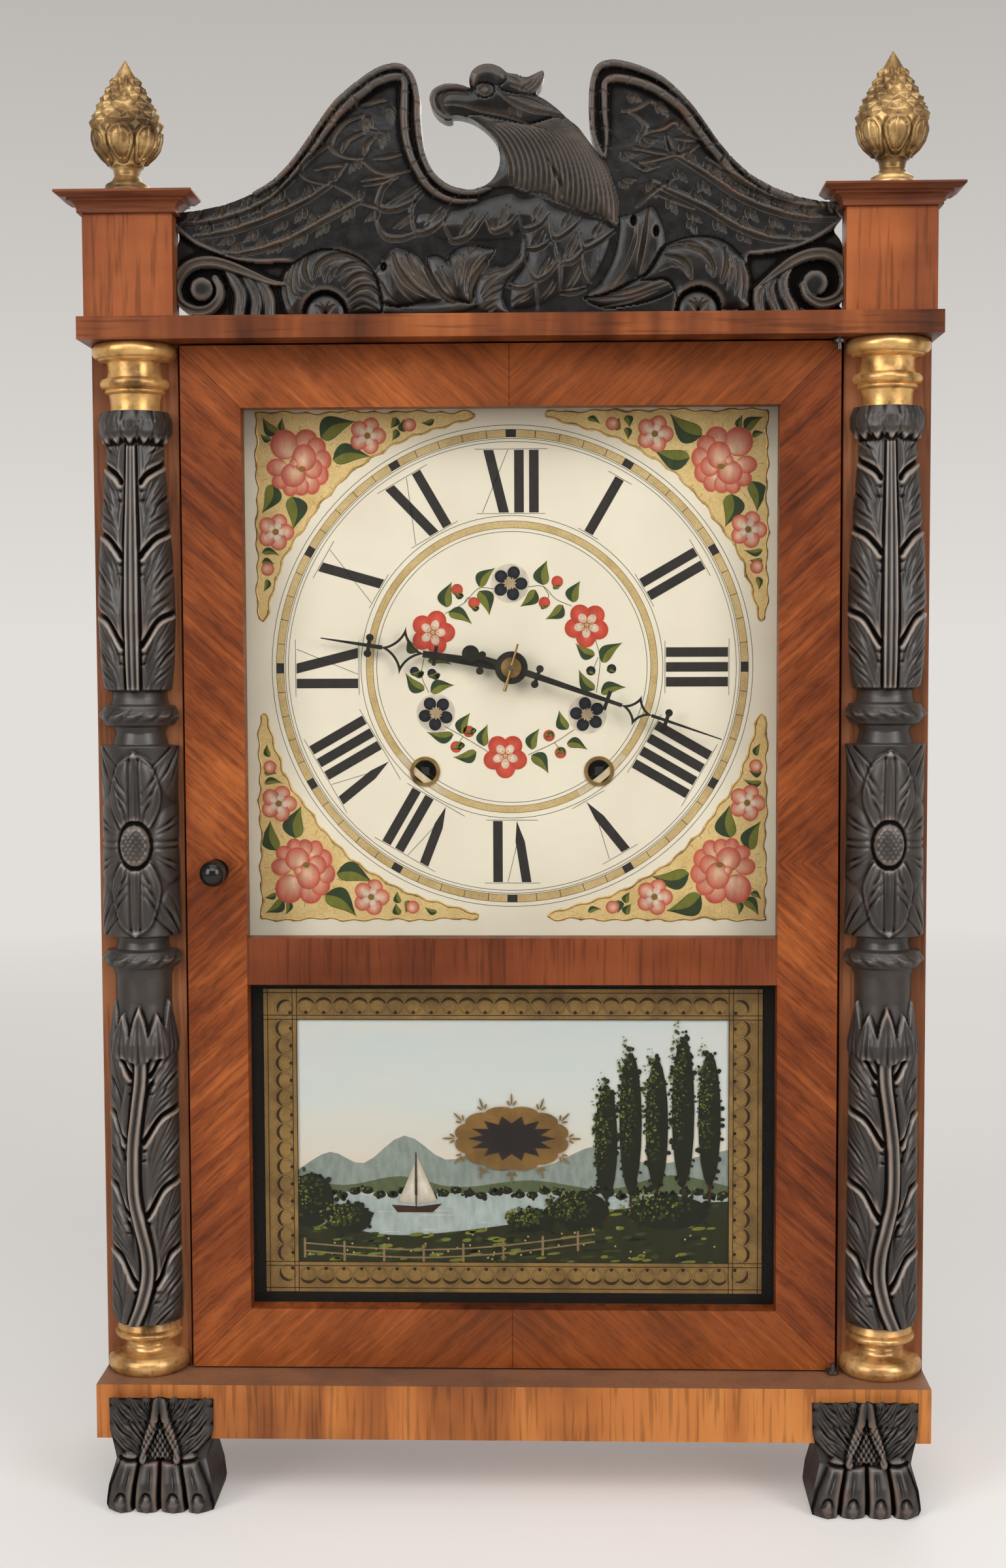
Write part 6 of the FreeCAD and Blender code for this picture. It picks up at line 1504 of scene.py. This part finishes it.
def corner(art, right, low):
    """A gold corner with a rose, two small flowers, buds and leaves. Returns its edge.

    Drawn for the upper left on a grid with the hub at (1701, 1681), y down, and mirrored to the others."""
    unit = 0.0827
    mirror = np.array([-1 if right else 1, -1 if low else 1])

    def spot(x, y):
        return np.array([(x - 1701) * unit, (1681 - y) * unit]) * mirror

    edge = [
        (62, 48), (250, 42), (450, 55), (650, 40), (870, 50), (1090, 42), (1290, 55), (1430, 45),
        (1472, 75), (1410, 98), (1240, 148), (1090, 192), (940, 255), (850, 310), (750, 370), (640, 450),
        (560, 535), (480, 615), (430, 680), (380, 760), (310, 845), (262, 920), (215, 1010), (200, 1070),
        (165, 1160), (140, 1250), (118, 1345), (95, 1380), (72, 1340), (58, 1200), (68, 1000), (58, 780),
        (72, 560), (60, 360), (70, 200)]
    closed = smooth([spot(*point) for point in edge + edge[:1]], 10)[:-1]
    art.add("corner_gold", 0, closed)
    leaves = (
        ((205, 178), (95, 78), 0.3), ((240, 165), (226, 72), 0.28), ((158, 215), (85, 182), 0.3),
        ((478, 205), (695, 82), 0.33), ((555, 345), (798, 305), 0.3), ((165, 495), (110, 690), 0.32),
        ((290, 575), (312, 790), 0.36), ((965, 75), (935, 150), 0.4), ((965, 150), (945, 228), 0.34),
        ((1210, 92), (1125, 120), 0.25), ((90, 935), (210, 945), 0.22), ((125, 1105), (105, 1190), 0.28),
        ((1020, 170), (1010, 85), 0.4), ((90, 1000), (175, 1005), 0.34))
    for base, tip, fat in leaves:
        art.leaf(2, spot(*base), spot(*tip), fat)
    petals = (
        (245, 245, 92, 95), (385, 210, 70, 62), (450, 262, 62, 62), (492, 345, 55, 66), (470, 440, 58, 66),
        (420, 505, 50, 58), (350, 515, 52, 56), (280, 525, 48, 50), (215, 480, 55, 48), (195, 390, 66, 56),
        (430, 400, 60, 66), (300, 440, 80, 78), (372, 330, 78, 88), (302, 362, 24, 30))
    middle = np.array([345, 385])
    for k, (x, y, wide, tall) in enumerate(petals):
        heart = np.array([x, y]) * 0.55 + middle * 0.45
        art.oval("rose", 4 + 0.4 * k, spot(x, y), wide * unit, tall * unit, heart=spot(*heart))
    art.oval("eye", 10, spot(358, 402), 2.0, 1.5)
    for x, y in ((780, 192), (182, 803)):
        blossom(art, 4, spot(x, y), 4.5, 5.2, 0.35, "rose", "cream")
        art.oval("eye", 8, spot(x, y), 1.7)
    for x, y in ((1052, 126), (128, 1042)):
        art.oval("rose", 5, spot(x, y), 3.5, heart=spot(x - 8, y - 6))
    for k in range(16):
        a = math.radians(35 * (k % 4) - 52 + (k // 4) * 90) + 0.3
        way = np.array([math.cos(a), math.sin(a)])
        art.line("pen", 1, [spot(*(middle + way * 228)), spot(*(middle + way * 262))], 0.22)
    return closed if mirror.prod() > 0 else closed[::-1]


def rope(paths, front, hub):
    """The raised rope round each gold corner, with a knot every few millimetres."""
    points, faces = [], []
    section = np.array([(-1, 0), (-0.75, 0.7), (0, 1), (0.75, 0.7), (1, 0)])
    sides = len(section)
    for path in paths:
        run = lengths(path)
        ahead = np.roll(path, -1, axis=0) - np.roll(path, 1, axis=0)
        across = np.column_stack([-ahead[:, 1], ahead[:, 0]]) / np.hypot(*ahead.T)[:, None]
        knot = np.maximum(0, np.cos(2 * math.pi * run / 9.0))**8
        wave = across * (0.5 * np.sin(2 * math.pi * run / 12.0))[:, None]
        start, count = len(points), len(path)
        for at, way, size in zip(path + wave, across, 0.55 + 0.4 * knot):
            for s, h in section:
                x, z = at + way * s * size
                points.append((x, front - h * size * 0.8, hub + z))
        for i in range(count):
            a, b = start + sides * i, start + sides * ((i + 1) % count)
            faces.extend((a + k, a + k + 1, b + k + 1, b + k) for k in range(sides - 1))
            faces.append((a + sides - 1, a, b, b + sides - 1))
    look = gilt("rope_gilding", (214, 176, 104), (140, 108, 58))
    piece("dial_rope", points, faces, look, "case", "painted_dial")


def dial():
    """The dial's painting, on the front of its board and round the axis of the hands."""
    front, hub = extent("dial_board")[0][1], 437.0
    art = Art(front, hub)
    dial_rings(art)
    wreath(art)
    edges = [corner(art, right, low) for right in (False, True) for low in (False, True)]
    looks = {
        "ink": tint("dial_ink", (56, 52, 49)),
        "gold": gold_leaf("dial_gold", (234, 204, 142), (208, 176, 114)),
        "worn_gold": tint("dial_worn_gold", (226, 206, 168)),
        "corner_gold": gold_leaf("corner_gold", (255, 224, 152), (236, 198, 126)),
        "red": tint("flower_red", (206, 74, 54), (222, 98, 76)),
        "rose": tint("flower_rose", (212, 96, 76), (250, 208, 170)),
        "cream": tint("flower_cream", (238, 196, 170), (246, 232, 208)),
        "night": tint("flower_night", (26, 28, 34), (46, 50, 58)),
        "haze": tint("flower_haze", (230, 217, 192), (176, 170, 158)),
        "dot": tint("flower_dots", (214, 174, 104)),
        "eye": tint("flower_eye", (150, 116, 48)),
        "leaf_dark": tint("leaf_shade", (58, 74, 46), (72, 86, 46)),
        "leaf_light": tint("leaf_light", (126, 128, 54), (150, 148, 66)),
        "stem": tint("leaf_stem", (96, 100, 60)),
        "pen": tint("pen_lines", (130, 100, 52))}
    art.make("dial", looks, "case", "painted_dial")
    rope(edges, front, hub)


# Tablet: paint on the back of the lower pane
def grove(art, rng, layer, centre, wide, tall, count, spread=1.0):
    """A tree's crown of dabs, darkest first and lightest on its upper left."""
    kinds = ("tree_dark", "tree_dark", "tree_mid", "tree_light")
    art.oval("tree_dark", layer, centre, wide * 0.86, tall * 0.92, count=18)
    for k in range(count):
        tone = k * 4 // count
        a, r = rng.uniform(0, 2 * math.pi), math.sqrt(rng.uniform(0, 1))
        shrink = np.array([1 - 0.12 * tone, 1 - 0.1 * tone])
        at = np.array([math.cos(a) * r, math.sin(a) * r]) * shrink + np.array([-0.16, 0.14]) * tone
        size = spread * rng.uniform(0.7, 1.7) * (1.2 - 0.25 * tone)
        depth = layer + tone + k / count * 0.8
        place = centre + at * (wide, tall)
        art.oval(kinds[tone], depth, place, size, size * rng.uniform(0.6, 1.0), a, count=7)


def landscape(art, rng, left, right):
    """Sky, hills and a lake with a sailing boat and a far bank of trees."""
    art.add("sky", 1, [(left, 116), (right, 116), (right, 250.5), (left, 250.5)])
    ridge = [
        (left, 168), (-98, 178), (-80, 172), (-58, 187), (-36, 174), (-14, 179), (14, 170), (46, 182),
        (74, 172), (right, 180)]
    art.add("hill_far", 2, [*smooth(ridge, 4), (right, 140), (left, 140)])
    ridge = [(left, 164), (-90, 160), (-60, 165), (-30, 159), (10, 163), (50, 158), (84, 166), (right, 160)]
    art.add("hill_near", 3, [*smooth(ridge, 4), (right, 140), (left, 140)])
    art.add("lake", 4, [(left, 130), (right, 130), (right, 155), (20, 156.5), (-50, 155.5), (left, 157)])
    for _ in range(26):
        x, z = rng.uniform(-108, 90), rng.uniform(134, 155)
        art.oval("ripple", 4.6, (x, z), rng.uniform(3, 12), 0.22, count=8)
    for k in range(34):
        grove(art, rng, 5, np.array([-112 + k * 6.8, 156 + 1.5 * math.sin(k * 1.7)]), 3.6, 2.2, 8, 0.9)
    boat = np.array([-52.0, 146.0])
    art.add("hull", 9, boat + [(-13, 3.4), (-10, -0.6), (9, -0.6), (14, 4.2), (2, 2.6)])
    art.add("sail", 9, boat + [(0.8, 4.2), (0.8, 30), (11.5, 5.6)], boat + (3, 14))
    art.add("sail", 9, boat + [(-0.6, 4.2), (-0.6, 26), (-9.5, 5.2)], boat + (-2, 12))
    art.line("hull", 9.5, [boat + (0.1, 2.6), boat + (0.1, 32)], 0.6)


def shore(art, rng, left, right):
    """A meadow in front of the lake with a rail fence, poplars and bushes."""
    low = 116.0
    bank = [
        (left, 141), (-92, 137), (-66, 133), (-40, 134), (-8, 138), (22, 143), (52, 147), (84, 150),
        (right, 152)]
    art.add("meadow", 10, [*smooth(bank, 4), (right, low), (left, low)])
    kinds = ("tree_dark", "tree_mid", "tree_light", "bloom")
    for k in range(230):
        x = rng.uniform(left + 3, right - 3)
        z = rng.uniform(low + 2, np.interp(x, *zip(*bank)))
        kind = kinds[k % 4]
        if kind == "bloom":
            art.oval(kind, 13, (x, z), 0.55, count=7)
        else:
            wide, tall = rng.uniform(1.5, 4.5), rng.uniform(0.5, 1.2)
            art.oval(kind, 11 + k % 4 * 0.4, (x, z), wide, tall, 0.1, count=8)
    rail = [(-112, 128.5), (-80, 126), (-48, 125), (-16, 126.5), (16, 130), (44, 134)]
    for drop in (0.0, 4.2):
        art.line("fence", 14, [(x, z - drop) for x, z in rail], 0.8)
    post = [(-0.6, -8), (0.6, -8), (0.6, 2.4), (0, 3.2), (-0.6, 2.4)]
    for place in smooth(rail, 3)[::2]:
        art.add("fence", 14.5, place + post)
    for x, foot, tall in ((50, 144, 74), (63, 146, 90), (77, 148, 84), (91, 149, 96), (105, 150, 86)):
        art.line("hull", 14, [(x, foot - 4), (x + 0.4, foot + tall * 0.4)], 1.5)
        grove(art, rng, 15, np.array([x, foot + tall * 0.54]), 7.0, tall * 0.46, 260, 0.9)
    bushes = ((-108, 152, 14, 16), (-88, 142, 14, 9), (36, 147, 18, 11), (10, 141, 13, 7), (84, 146, 24, 10))
    for x, z, wide, tall in bushes:
        grove(art, rng, 19, np.array([x, z]), wide, tall, 200)


def disc(art, at, outward):
    """A shaded disc of the border, with dots round its outer side."""
    outward = np.array(outward, float)
    angle = math.degrees(math.atan2(outward[0], outward[1]))
    art.ring("border_line", 24, 4.45, 4.6, at, 28)
    art.ring("border_line", 24, 3.45, 3.6, at - outward * 0.5, 24)
    spread = np.linspace(-78, 78, 13)
    a = np.radians(angle + spread)
    away = np.column_stack([np.sin(a), np.cos(a)])
    thick = np.cos(np.radians(spread))[:, None]
    art.strip("border_shade", 24, at + away * 4.5, at + away * (4.5 - 1.5 * thick))
    art.oval("border_line", 25, at - outward * 3.7, 0.95, count=12)
    for k in range(-4, 5):
        b = math.radians(angle + k * 17)
        art.ring("border_line", 24, 0.42, 0.52, at + np.array([math.sin(b), math.cos(b)]) * 5.6, 8)


def border(art, half, low, high):
    """A gold frame with rows of discs between dark lines."""
    side, strip, spacing = 17.9, 16.6, 9.5
    wide, tall = 2 * half - 2 * side, high - low - 2 * strip
    inner = [
        (-half + side, low + strip), (half - side, low + strip), (half - side, high - strip),
        (-half + side, high - strip)]
    art.strip("border_gold", 23, inner, [(-half, low), (half, low), (half, high), (-half, high)], True)
    for x in (2.2, 15.4, 17.7):
        for s in (-1, 1):
            art.line("border_line", 24, [(s * (half - x), low), (s * (half - x), high)], 0.45)
    for z in (2.1, 14.2, 16.4):
        art.line("border_line", 24, [(-half, low + z), (half, low + z)], 0.45)
        art.line("border_line", 24, [(-half, high - z), (half, high - z)], 0.45)
    count = round(wide / spacing)
    for k in range(count):
        x = -half + side + (k + 0.5) * wide / count
        disc(art, np.array([x, high - 8.9]), (0, 1))
        disc(art, np.array([x, low + 8.9]), (0, -1))
    count = round(tall / spacing)
    for k in range(count):
        z = low + strip + (k + 0.5) * tall / count
        disc(art, np.array([-half + 10.8, z]), (-1, 0))
        disc(art, np.array([half - 10.8, z]), (1, 0))
    for s in (-1, 1):
        for z, t in ((high - 10.2, 1), (low + 10.2, -1)):
            disc(art, np.array([s * (half - 11.6), z]), (s * 0.7, t * 0.7))


def cartouche(art, centre):
    """A scalloped gold oval with a dark zigzag middle and sprigs of three strokes at its cusps."""
    wide, tall, lobes, points = 31.0, 17.6, 12, 28
    a = np.linspace(0, 2 * math.pi, 144, endpoint=False)
    size = 0.92 + 0.08 * np.abs(np.sin(a * lobes / 2))**0.7
    scallops = np.column_stack([np.cos(a) * wide * size, np.sin(a) * tall * size]) + centre
    art.add("cartouche_gold", 23, scallops)
    a = np.linspace(0, 2 * math.pi, points, endpoint=False)
    for kind, layer, shrink in (("cartouche_edge", 24, 1.0), ("cartouche_dark", 25, 0.9)):
        size = np.where(np.arange(points) % 2 == 0, 1.0, 0.68) * shrink
        art.add(kind, layer, np.column_stack([np.cos(a) * 23.8 * size, np.sin(a) * 12.4 * size]) + centre)
    for k in range(lobes):
        a = 2 * math.pi * k / lobes
        foot = centre + np.array([math.cos(a) * wide * 0.95, math.sin(a) * tall * 0.95])
        out = math.atan2(math.sin(a) / tall, math.cos(a) / wide)
        for lean, length in ((-0.6, 3.4), (0.0, 6.6), (0.6, 3.4)):
            turn = out + lean
            way = np.array([math.cos(turn), math.sin(turn)])
            art.oval("sprig_gold", 23, foot + way * (length * 0.5 + 1.2), length * 0.5, 0.55, turn, count=10)


def sky_paint():
    """A pale sky, warmer near the hills, with soft clouds."""
    sky = Paint("tablet_sky", Roughness=0.5)
    rise = sky.math("DIVIDE", sky.math("SUBTRACT", sky.parts()[UP], 0.15), 0.1)
    stops = ((0.1, (240, 212, 180)), (0.3, (230, 222, 204)), (0.55, (220, 226, 218)), (1.0, (214, 222, 218)))
    colour = sky.ramp(rise, *[(place, rgb(*shade)) for place, shade in stops])
    cloud = sky.ramp(sky.noise(1.0, 4.0, (18.0, 18.0, 60.0)), (0.4, 0.0), (0.75, 0.6))
    return sky.finish(sky.mix(cloud, colour, rgb(232, 226, 212)))


def tablet():
    """A painted landscape in a gold border, just behind the back of the lower pane."""
    inset, room = 0.4, 1.4
    low, high = extent("tablet_glass")
    art = Art(high[1] + room, 0.0)
    rng = np.random.default_rng(11)
    (left, _, foot), (right, _, top) = low + inset, high - inset
    art.add("backing", 0, [(left, foot), (right, foot), (right, top), (left, top)])
    landscape(art, rng, -116.0, 116.0)
    shore(art, rng, -116.0, 116.0)
    border(art, 132.9, 102.0, 266.4)
    cartouche(art, np.array([-0.5, 185.8]))
    looks = {"sky": sky_paint()}
    plain = {
        "backing": (24, 20, 18), "hill_far": (150, 160, 150), "hill_near": (96, 106, 74),
        "lake": (180, 192, 186), "ripple": (222, 216, 198), "hull": (66, 44, 30), "meadow": (48, 50, 28),
        "fence": (150, 124, 88), "tree_dark": (34, 36, 22), "tree_mid": (62, 74, 34),
        "tree_light": (126, 130, 50), "bloom": (198, 176, 96), "border_line": (50, 38, 22),
        "border_shade": (64, 46, 24), "cartouche_edge": (66, 52, 40), "cartouche_dark": (46, 39, 38)}
    for kind, shade in plain.items():
        looks[kind] = tint("tablet_" + kind, shade, gloss=0.6)
    looks["sail"] = tint("tablet_sail", (206, 194, 168), (240, 232, 214), 0.6)
    golds = {
        "border_gold": ((164, 128, 68), (124, 94, 48)), "cartouche_gold": ((150, 112, 54), (120, 88, 42)),
        "sprig_gold": ((150, 120, 66), (124, 98, 52))}
    for kind, shades in golds.items():
        looks[kind] = gold_leaf("tablet_" + kind, *shades)
    art.make("tablet", looks, "door", "painted_glass")


# Boards and metal from the construction
def dress(material, *names, round_edge=0.0):
    """Gives pieces of the construction a material, and rounded edges of a radius in mm."""
    for name in names:
        board = nodes[name]
        board.data.materials.clear()
        board.data.materials.append(material)
        if round_edge:
            board.modifiers.new("weld", "WELD").merge_threshold = 1e-5
            bevel = board.modifiers.new("edges", "BEVEL")
            bevel.width = round_edge * MM
            bevel.segments = 2
            bevel.limit_method = "ANGLE"
            bevel.harden_normals = True


EBONY = ebony(
    "ebonised_splat", (8, 6, 5), (18, 14, 12), (90, 80, 71), dust=0.55, shade=0.12, gloss=0.29, bump=0.4,
    shine=0.4)
# Painted sheen: the shafts get lighter greys than the splat's ebony, for the sheen on their rounded faces.
SHAFT = ebony("ebonised_shafts", (44, 38, 34), (64, 56, 50), (172, 157, 144))
PAW = ebony("ebonised_paws", (24, 18, 15), (42, 34, 29), (126, 112, 100))
GILT = gilt("old_gilding")
BASE_GILT = gilt("base_gilding", (204, 154, 94), (110, 80, 45))
FINIAL_GILT = gilt("finial_gilding", (150, 116, 70), (84, 62, 36))
BRASS = metal("old_brass", (196, 158, 96), (120, 92, 52), gloss=0.3)
STEEL = metal("dark_steel", (120, 116, 112), (62, 58, 55), gloss=0.35)
IRON = metal("cast_iron", (70, 68, 66), (40, 38, 37), gloss=0.55)
BLUED = metal("hand_iron", (66, 62, 57), (46, 43, 39), gloss=0.4)
FRONT = wood("base_veneer", (112, 62, 36), (186, 112, 58), (214, 138, 72), UP, figure=0.1, dusty=True)
CORNICE = wood("cornice_veneer", (54, 27, 15), (124, 66, 35), (184, 106, 58), ACROSS, figure=1.0)
SIDE = wood("side_veneer", (78, 40, 23), (124, 66, 37), (156, 88, 50), UP, figure=0.3)
BLOCK = wood("pedestal_veneer", (90, 44, 24), (144, 77, 41), (178, 100, 53), UP, figure=0.4)
CAP = wood("cap_moulding", (84, 43, 27), (124, 68, 42), (152, 86, 53), ACROSS, figure=0.2)
STILE = wood("stile_wood", (98, 58, 36), (142, 86, 54), (168, 108, 70), UP, figure=0.2, gloss=0.5)
PLAIN = wood("plain_pine", (112, 84, 58), (150, 116, 82), (176, 142, 104), UP, figure=0.1, gloss=0.6)
MOVEMENT = wood("movement_oak", (120, 88, 56), (164, 126, 84), (188, 152, 106), UP, figure=0.2, gloss=0.55)
CHERRY = (120, 70, 44), (160, 98, 62), (182, 120, 80)
WHEELS = wood("cherry_wheels", *CHERRY, ACROSS, figure=0.2, gloss=0.5)
DRUM = wood("cherry_drums", *CHERRY, ACROSS, figure=0.2, gloss=0.5, iron_to=0.0075)
FLAME = flame("door_veneer")
RAIL = wood("rail_veneer", (74, 35, 19), (116, 58, 31), (146, 77, 42), UP, figure=0.4)
CREAM = coat("dial_cream", (252, 241, 215), spread=5, gloss=0.5, grain=60.0, crack=0.05)
BLACK = coat("knob_black", (22, 20, 19), spread=6, gloss=0.15)
GLASS = glass("clear_glass")

dress(FRONT, "base_board", round_edge=0.5)
dress(CORNICE, "cornice_board", round_edge=0.5)
dress(BLOCK, "pedestals", round_edge=0.4)
dress(CAP, "pedestal_caps", round_edge=0.2)
dress(STILE, "case_stile_left", "case_stile_right", round_edge=0.3)
dress(SIDE, "case_side_left", "case_side_right", round_edge=0.4)
dress(PLAIN, "backboard", "inner_battens", "rear_feet", round_edge=0.3)
dress(FLAME, "door_stile_left", "door_stile_right", "door_top_rail", "door_bottom_rail")
dress(RAIL, "door_middle_rail")
dress(GLASS, "dial_glass", "tablet_glass")
dress(STEEL, "hinge_plates", "hinge_pins", "latch_tongue", "pendulum_rod", "verge")
dress(STEEL, "minute_arbor", "strike_fly", "hammer")
dress(BLACK, "latch_knob")
dress(CREAM, "dial_board")
dress(BRASS, "winding_grommets", "hand_washer", "taper_pin", "pendulum_bob", "bell")
dress(BLUED, "minute_hand", "hour_hand")
dress(MOVEMENT, "front_plate", "back_plate", "plate_pillars")
dress(WHEELS, "time_great_wheel", "strike_great_wheel", "second_wheel", "centre_wheel", "third_wheel")
dress(WHEELS, "escape_wheel", "strike_pin_wheel", "minute_wheel", "hour_wheel")
dress(DRUM, "time_drum", "strike_drum")
dress(IRON, "time_weight", "strike_weight")
dress(GILT, "column_capitals")
dress(BASE_GILT, "column_bases")
dress(FINIAL_GILT, "finial_left", "finial_right")
dress(SHAFT, "column_left", "column_right")
dress(PAW, "paw_foot_left", "paw_foot_right")
splat()
columns()
finials()
paws()
dial()
tablet()


# Stage: floor, light and camera
def stage():
    """A pale floor that fades out away from the clock."""
    size = 6.0
    corners = [(-size, -size, 0), (size, -size, 0), (size, size, 0), (-size, size, 0)]
    mesh = bpy.data.meshes.new("floor")
    mesh.from_pydata(corners, [], [(0, 1, 2, 3)])
    floor = bpy.data.objects.new("floor", mesh)
    bpy.context.scene.collection.objects.link(floor)
    paint = Paint("floor_pale", Roughness=0.6)
    away = paint.node("VectorMath", {0: paint.place}, operation="LENGTH").outputs["Value"]
    direct = paint.node("LightPath", {}).outputs["Is Camera Ray"]
    paint.feed(paint.shader, {
        "Alpha": paint.ramp(paint.math("DIVIDE", away, 2.5), (0.2, 1.0), (0.9, 0.0)),
        "Emission Color": rgb(230, 226, 222), "Emission Strength": paint.math("MULTIPLY", direct, 0.28)})
    colour = paint.ramp(paint.noise(3.0, 3.0), (0.3, rgb(226, 222, 218)), (0.7, rgb(230, 226, 222)))
    mesh.materials.append(paint.finish(colour))


def lamp(name, place, aim, size, power):
    light = bpy.data.lights.new(name, "AREA")
    light.shape = "RECTANGLE"
    light.size, light.size_y = size
    light.energy = power
    made = bpy.data.objects.new(name, light)
    made.location = place
    made.rotation_euler = (Vector(aim) - Vector(place)).to_track_quat("-Z", "Y").to_euler()
    bpy.context.scene.collection.objects.link(made)


def lights():
    """Two large lamps in front, one above them, and two weaker ones behind and above the clock."""
    lamp("key_left", (-1.25, -1.45, 1.05), (0, 0, 0.4), (0.9, 1.4), 17.5)
    lamp("key_right", (1.25, -1.4, 1.05), (0, 0, 0.4), (0.9, 1.4), 17)
    lamp("fill", (0, -1.9, 2.0), (0, 0, 0.38), (1.6, 1.0), 15)
    lamp("back", (0.5, 1.7, 1.5), (0, 0, 0.4), (1.6, 1.2), 9)
    lamp("top", (0, -0.5, 1.9), (0, 0, 0.4), (1.6, 1.2), 7)


def room():
    """A pale room, brighter behind the clock, that shows in full but lights the clock only a little."""
    world = bpy.data.worlds.new("studio")
    bpy.context.scene.world = world
    world.use_nodes = True
    tree = Tree(world.node_tree, "Generated")
    _, depth, rise = tree.parts()
    rays = tree.node("LightPath", {}).outputs
    shown = tree.math("MAXIMUM", rays["Is Camera Ray"], rays["Is Glossy Ray"])
    shown = tree.math("MAXIMUM", shown, rays["Is Transmission Ray"])
    level = tree.node("MapRange", {"Value": shown, "To Min": 0.3, "To Max": 1.0}).outputs[0]
    behind = {"Value": depth, "From Min": -0.4, "From Max": 0.4, "To Min": 0.4}
    strength = tree.math("MULTIPLY", level, tree.node("MapRange", behind).outputs[0])
    colour = tree.ramp(rise, (0.0, rgb(226, 222, 218)), (0.4, rgb(168, 165, 161)))
    tree.feed(world.node_tree.nodes["Background"], {"Color": colour, "Strength": strength})


def camera():
    """The photo's camera, found from straight edges in it."""
    place, lens = (0.0296, -1.1399, 0.4517), 48.63
    yaw, pitch, roll = (math.radians(angle) for angle in (-1.744, -3.891, -0.225))
    ahead = Vector((math.sin(yaw) * math.cos(pitch), math.cos(yaw) * math.cos(pitch), math.sin(pitch)))
    right = Vector((math.cos(yaw), -math.sin(yaw), 0))
    up = right.cross(ahead)
    turned = right * math.cos(roll) + up * math.sin(roll), up * math.cos(roll) - right * math.sin(roll)
    made = bpy.data.objects.new("camera", bpy.data.cameras.new("camera"))
    made.matrix_world = Matrix((*turned, -ahead)).transposed().to_4x4()
    made.matrix_world.translation = place
    made.data.sensor_fit = "VERTICAL"
    made.data.sensor_height = 36.0
    made.data.lens = lens
    bpy.context.scene.collection.objects.link(made)
    bpy.context.scene.camera = made


stage()
lights()
room()
camera()
bpy.context.scene.view_settings.view_transform = "Standard"
bpy.context.view_layer.update()
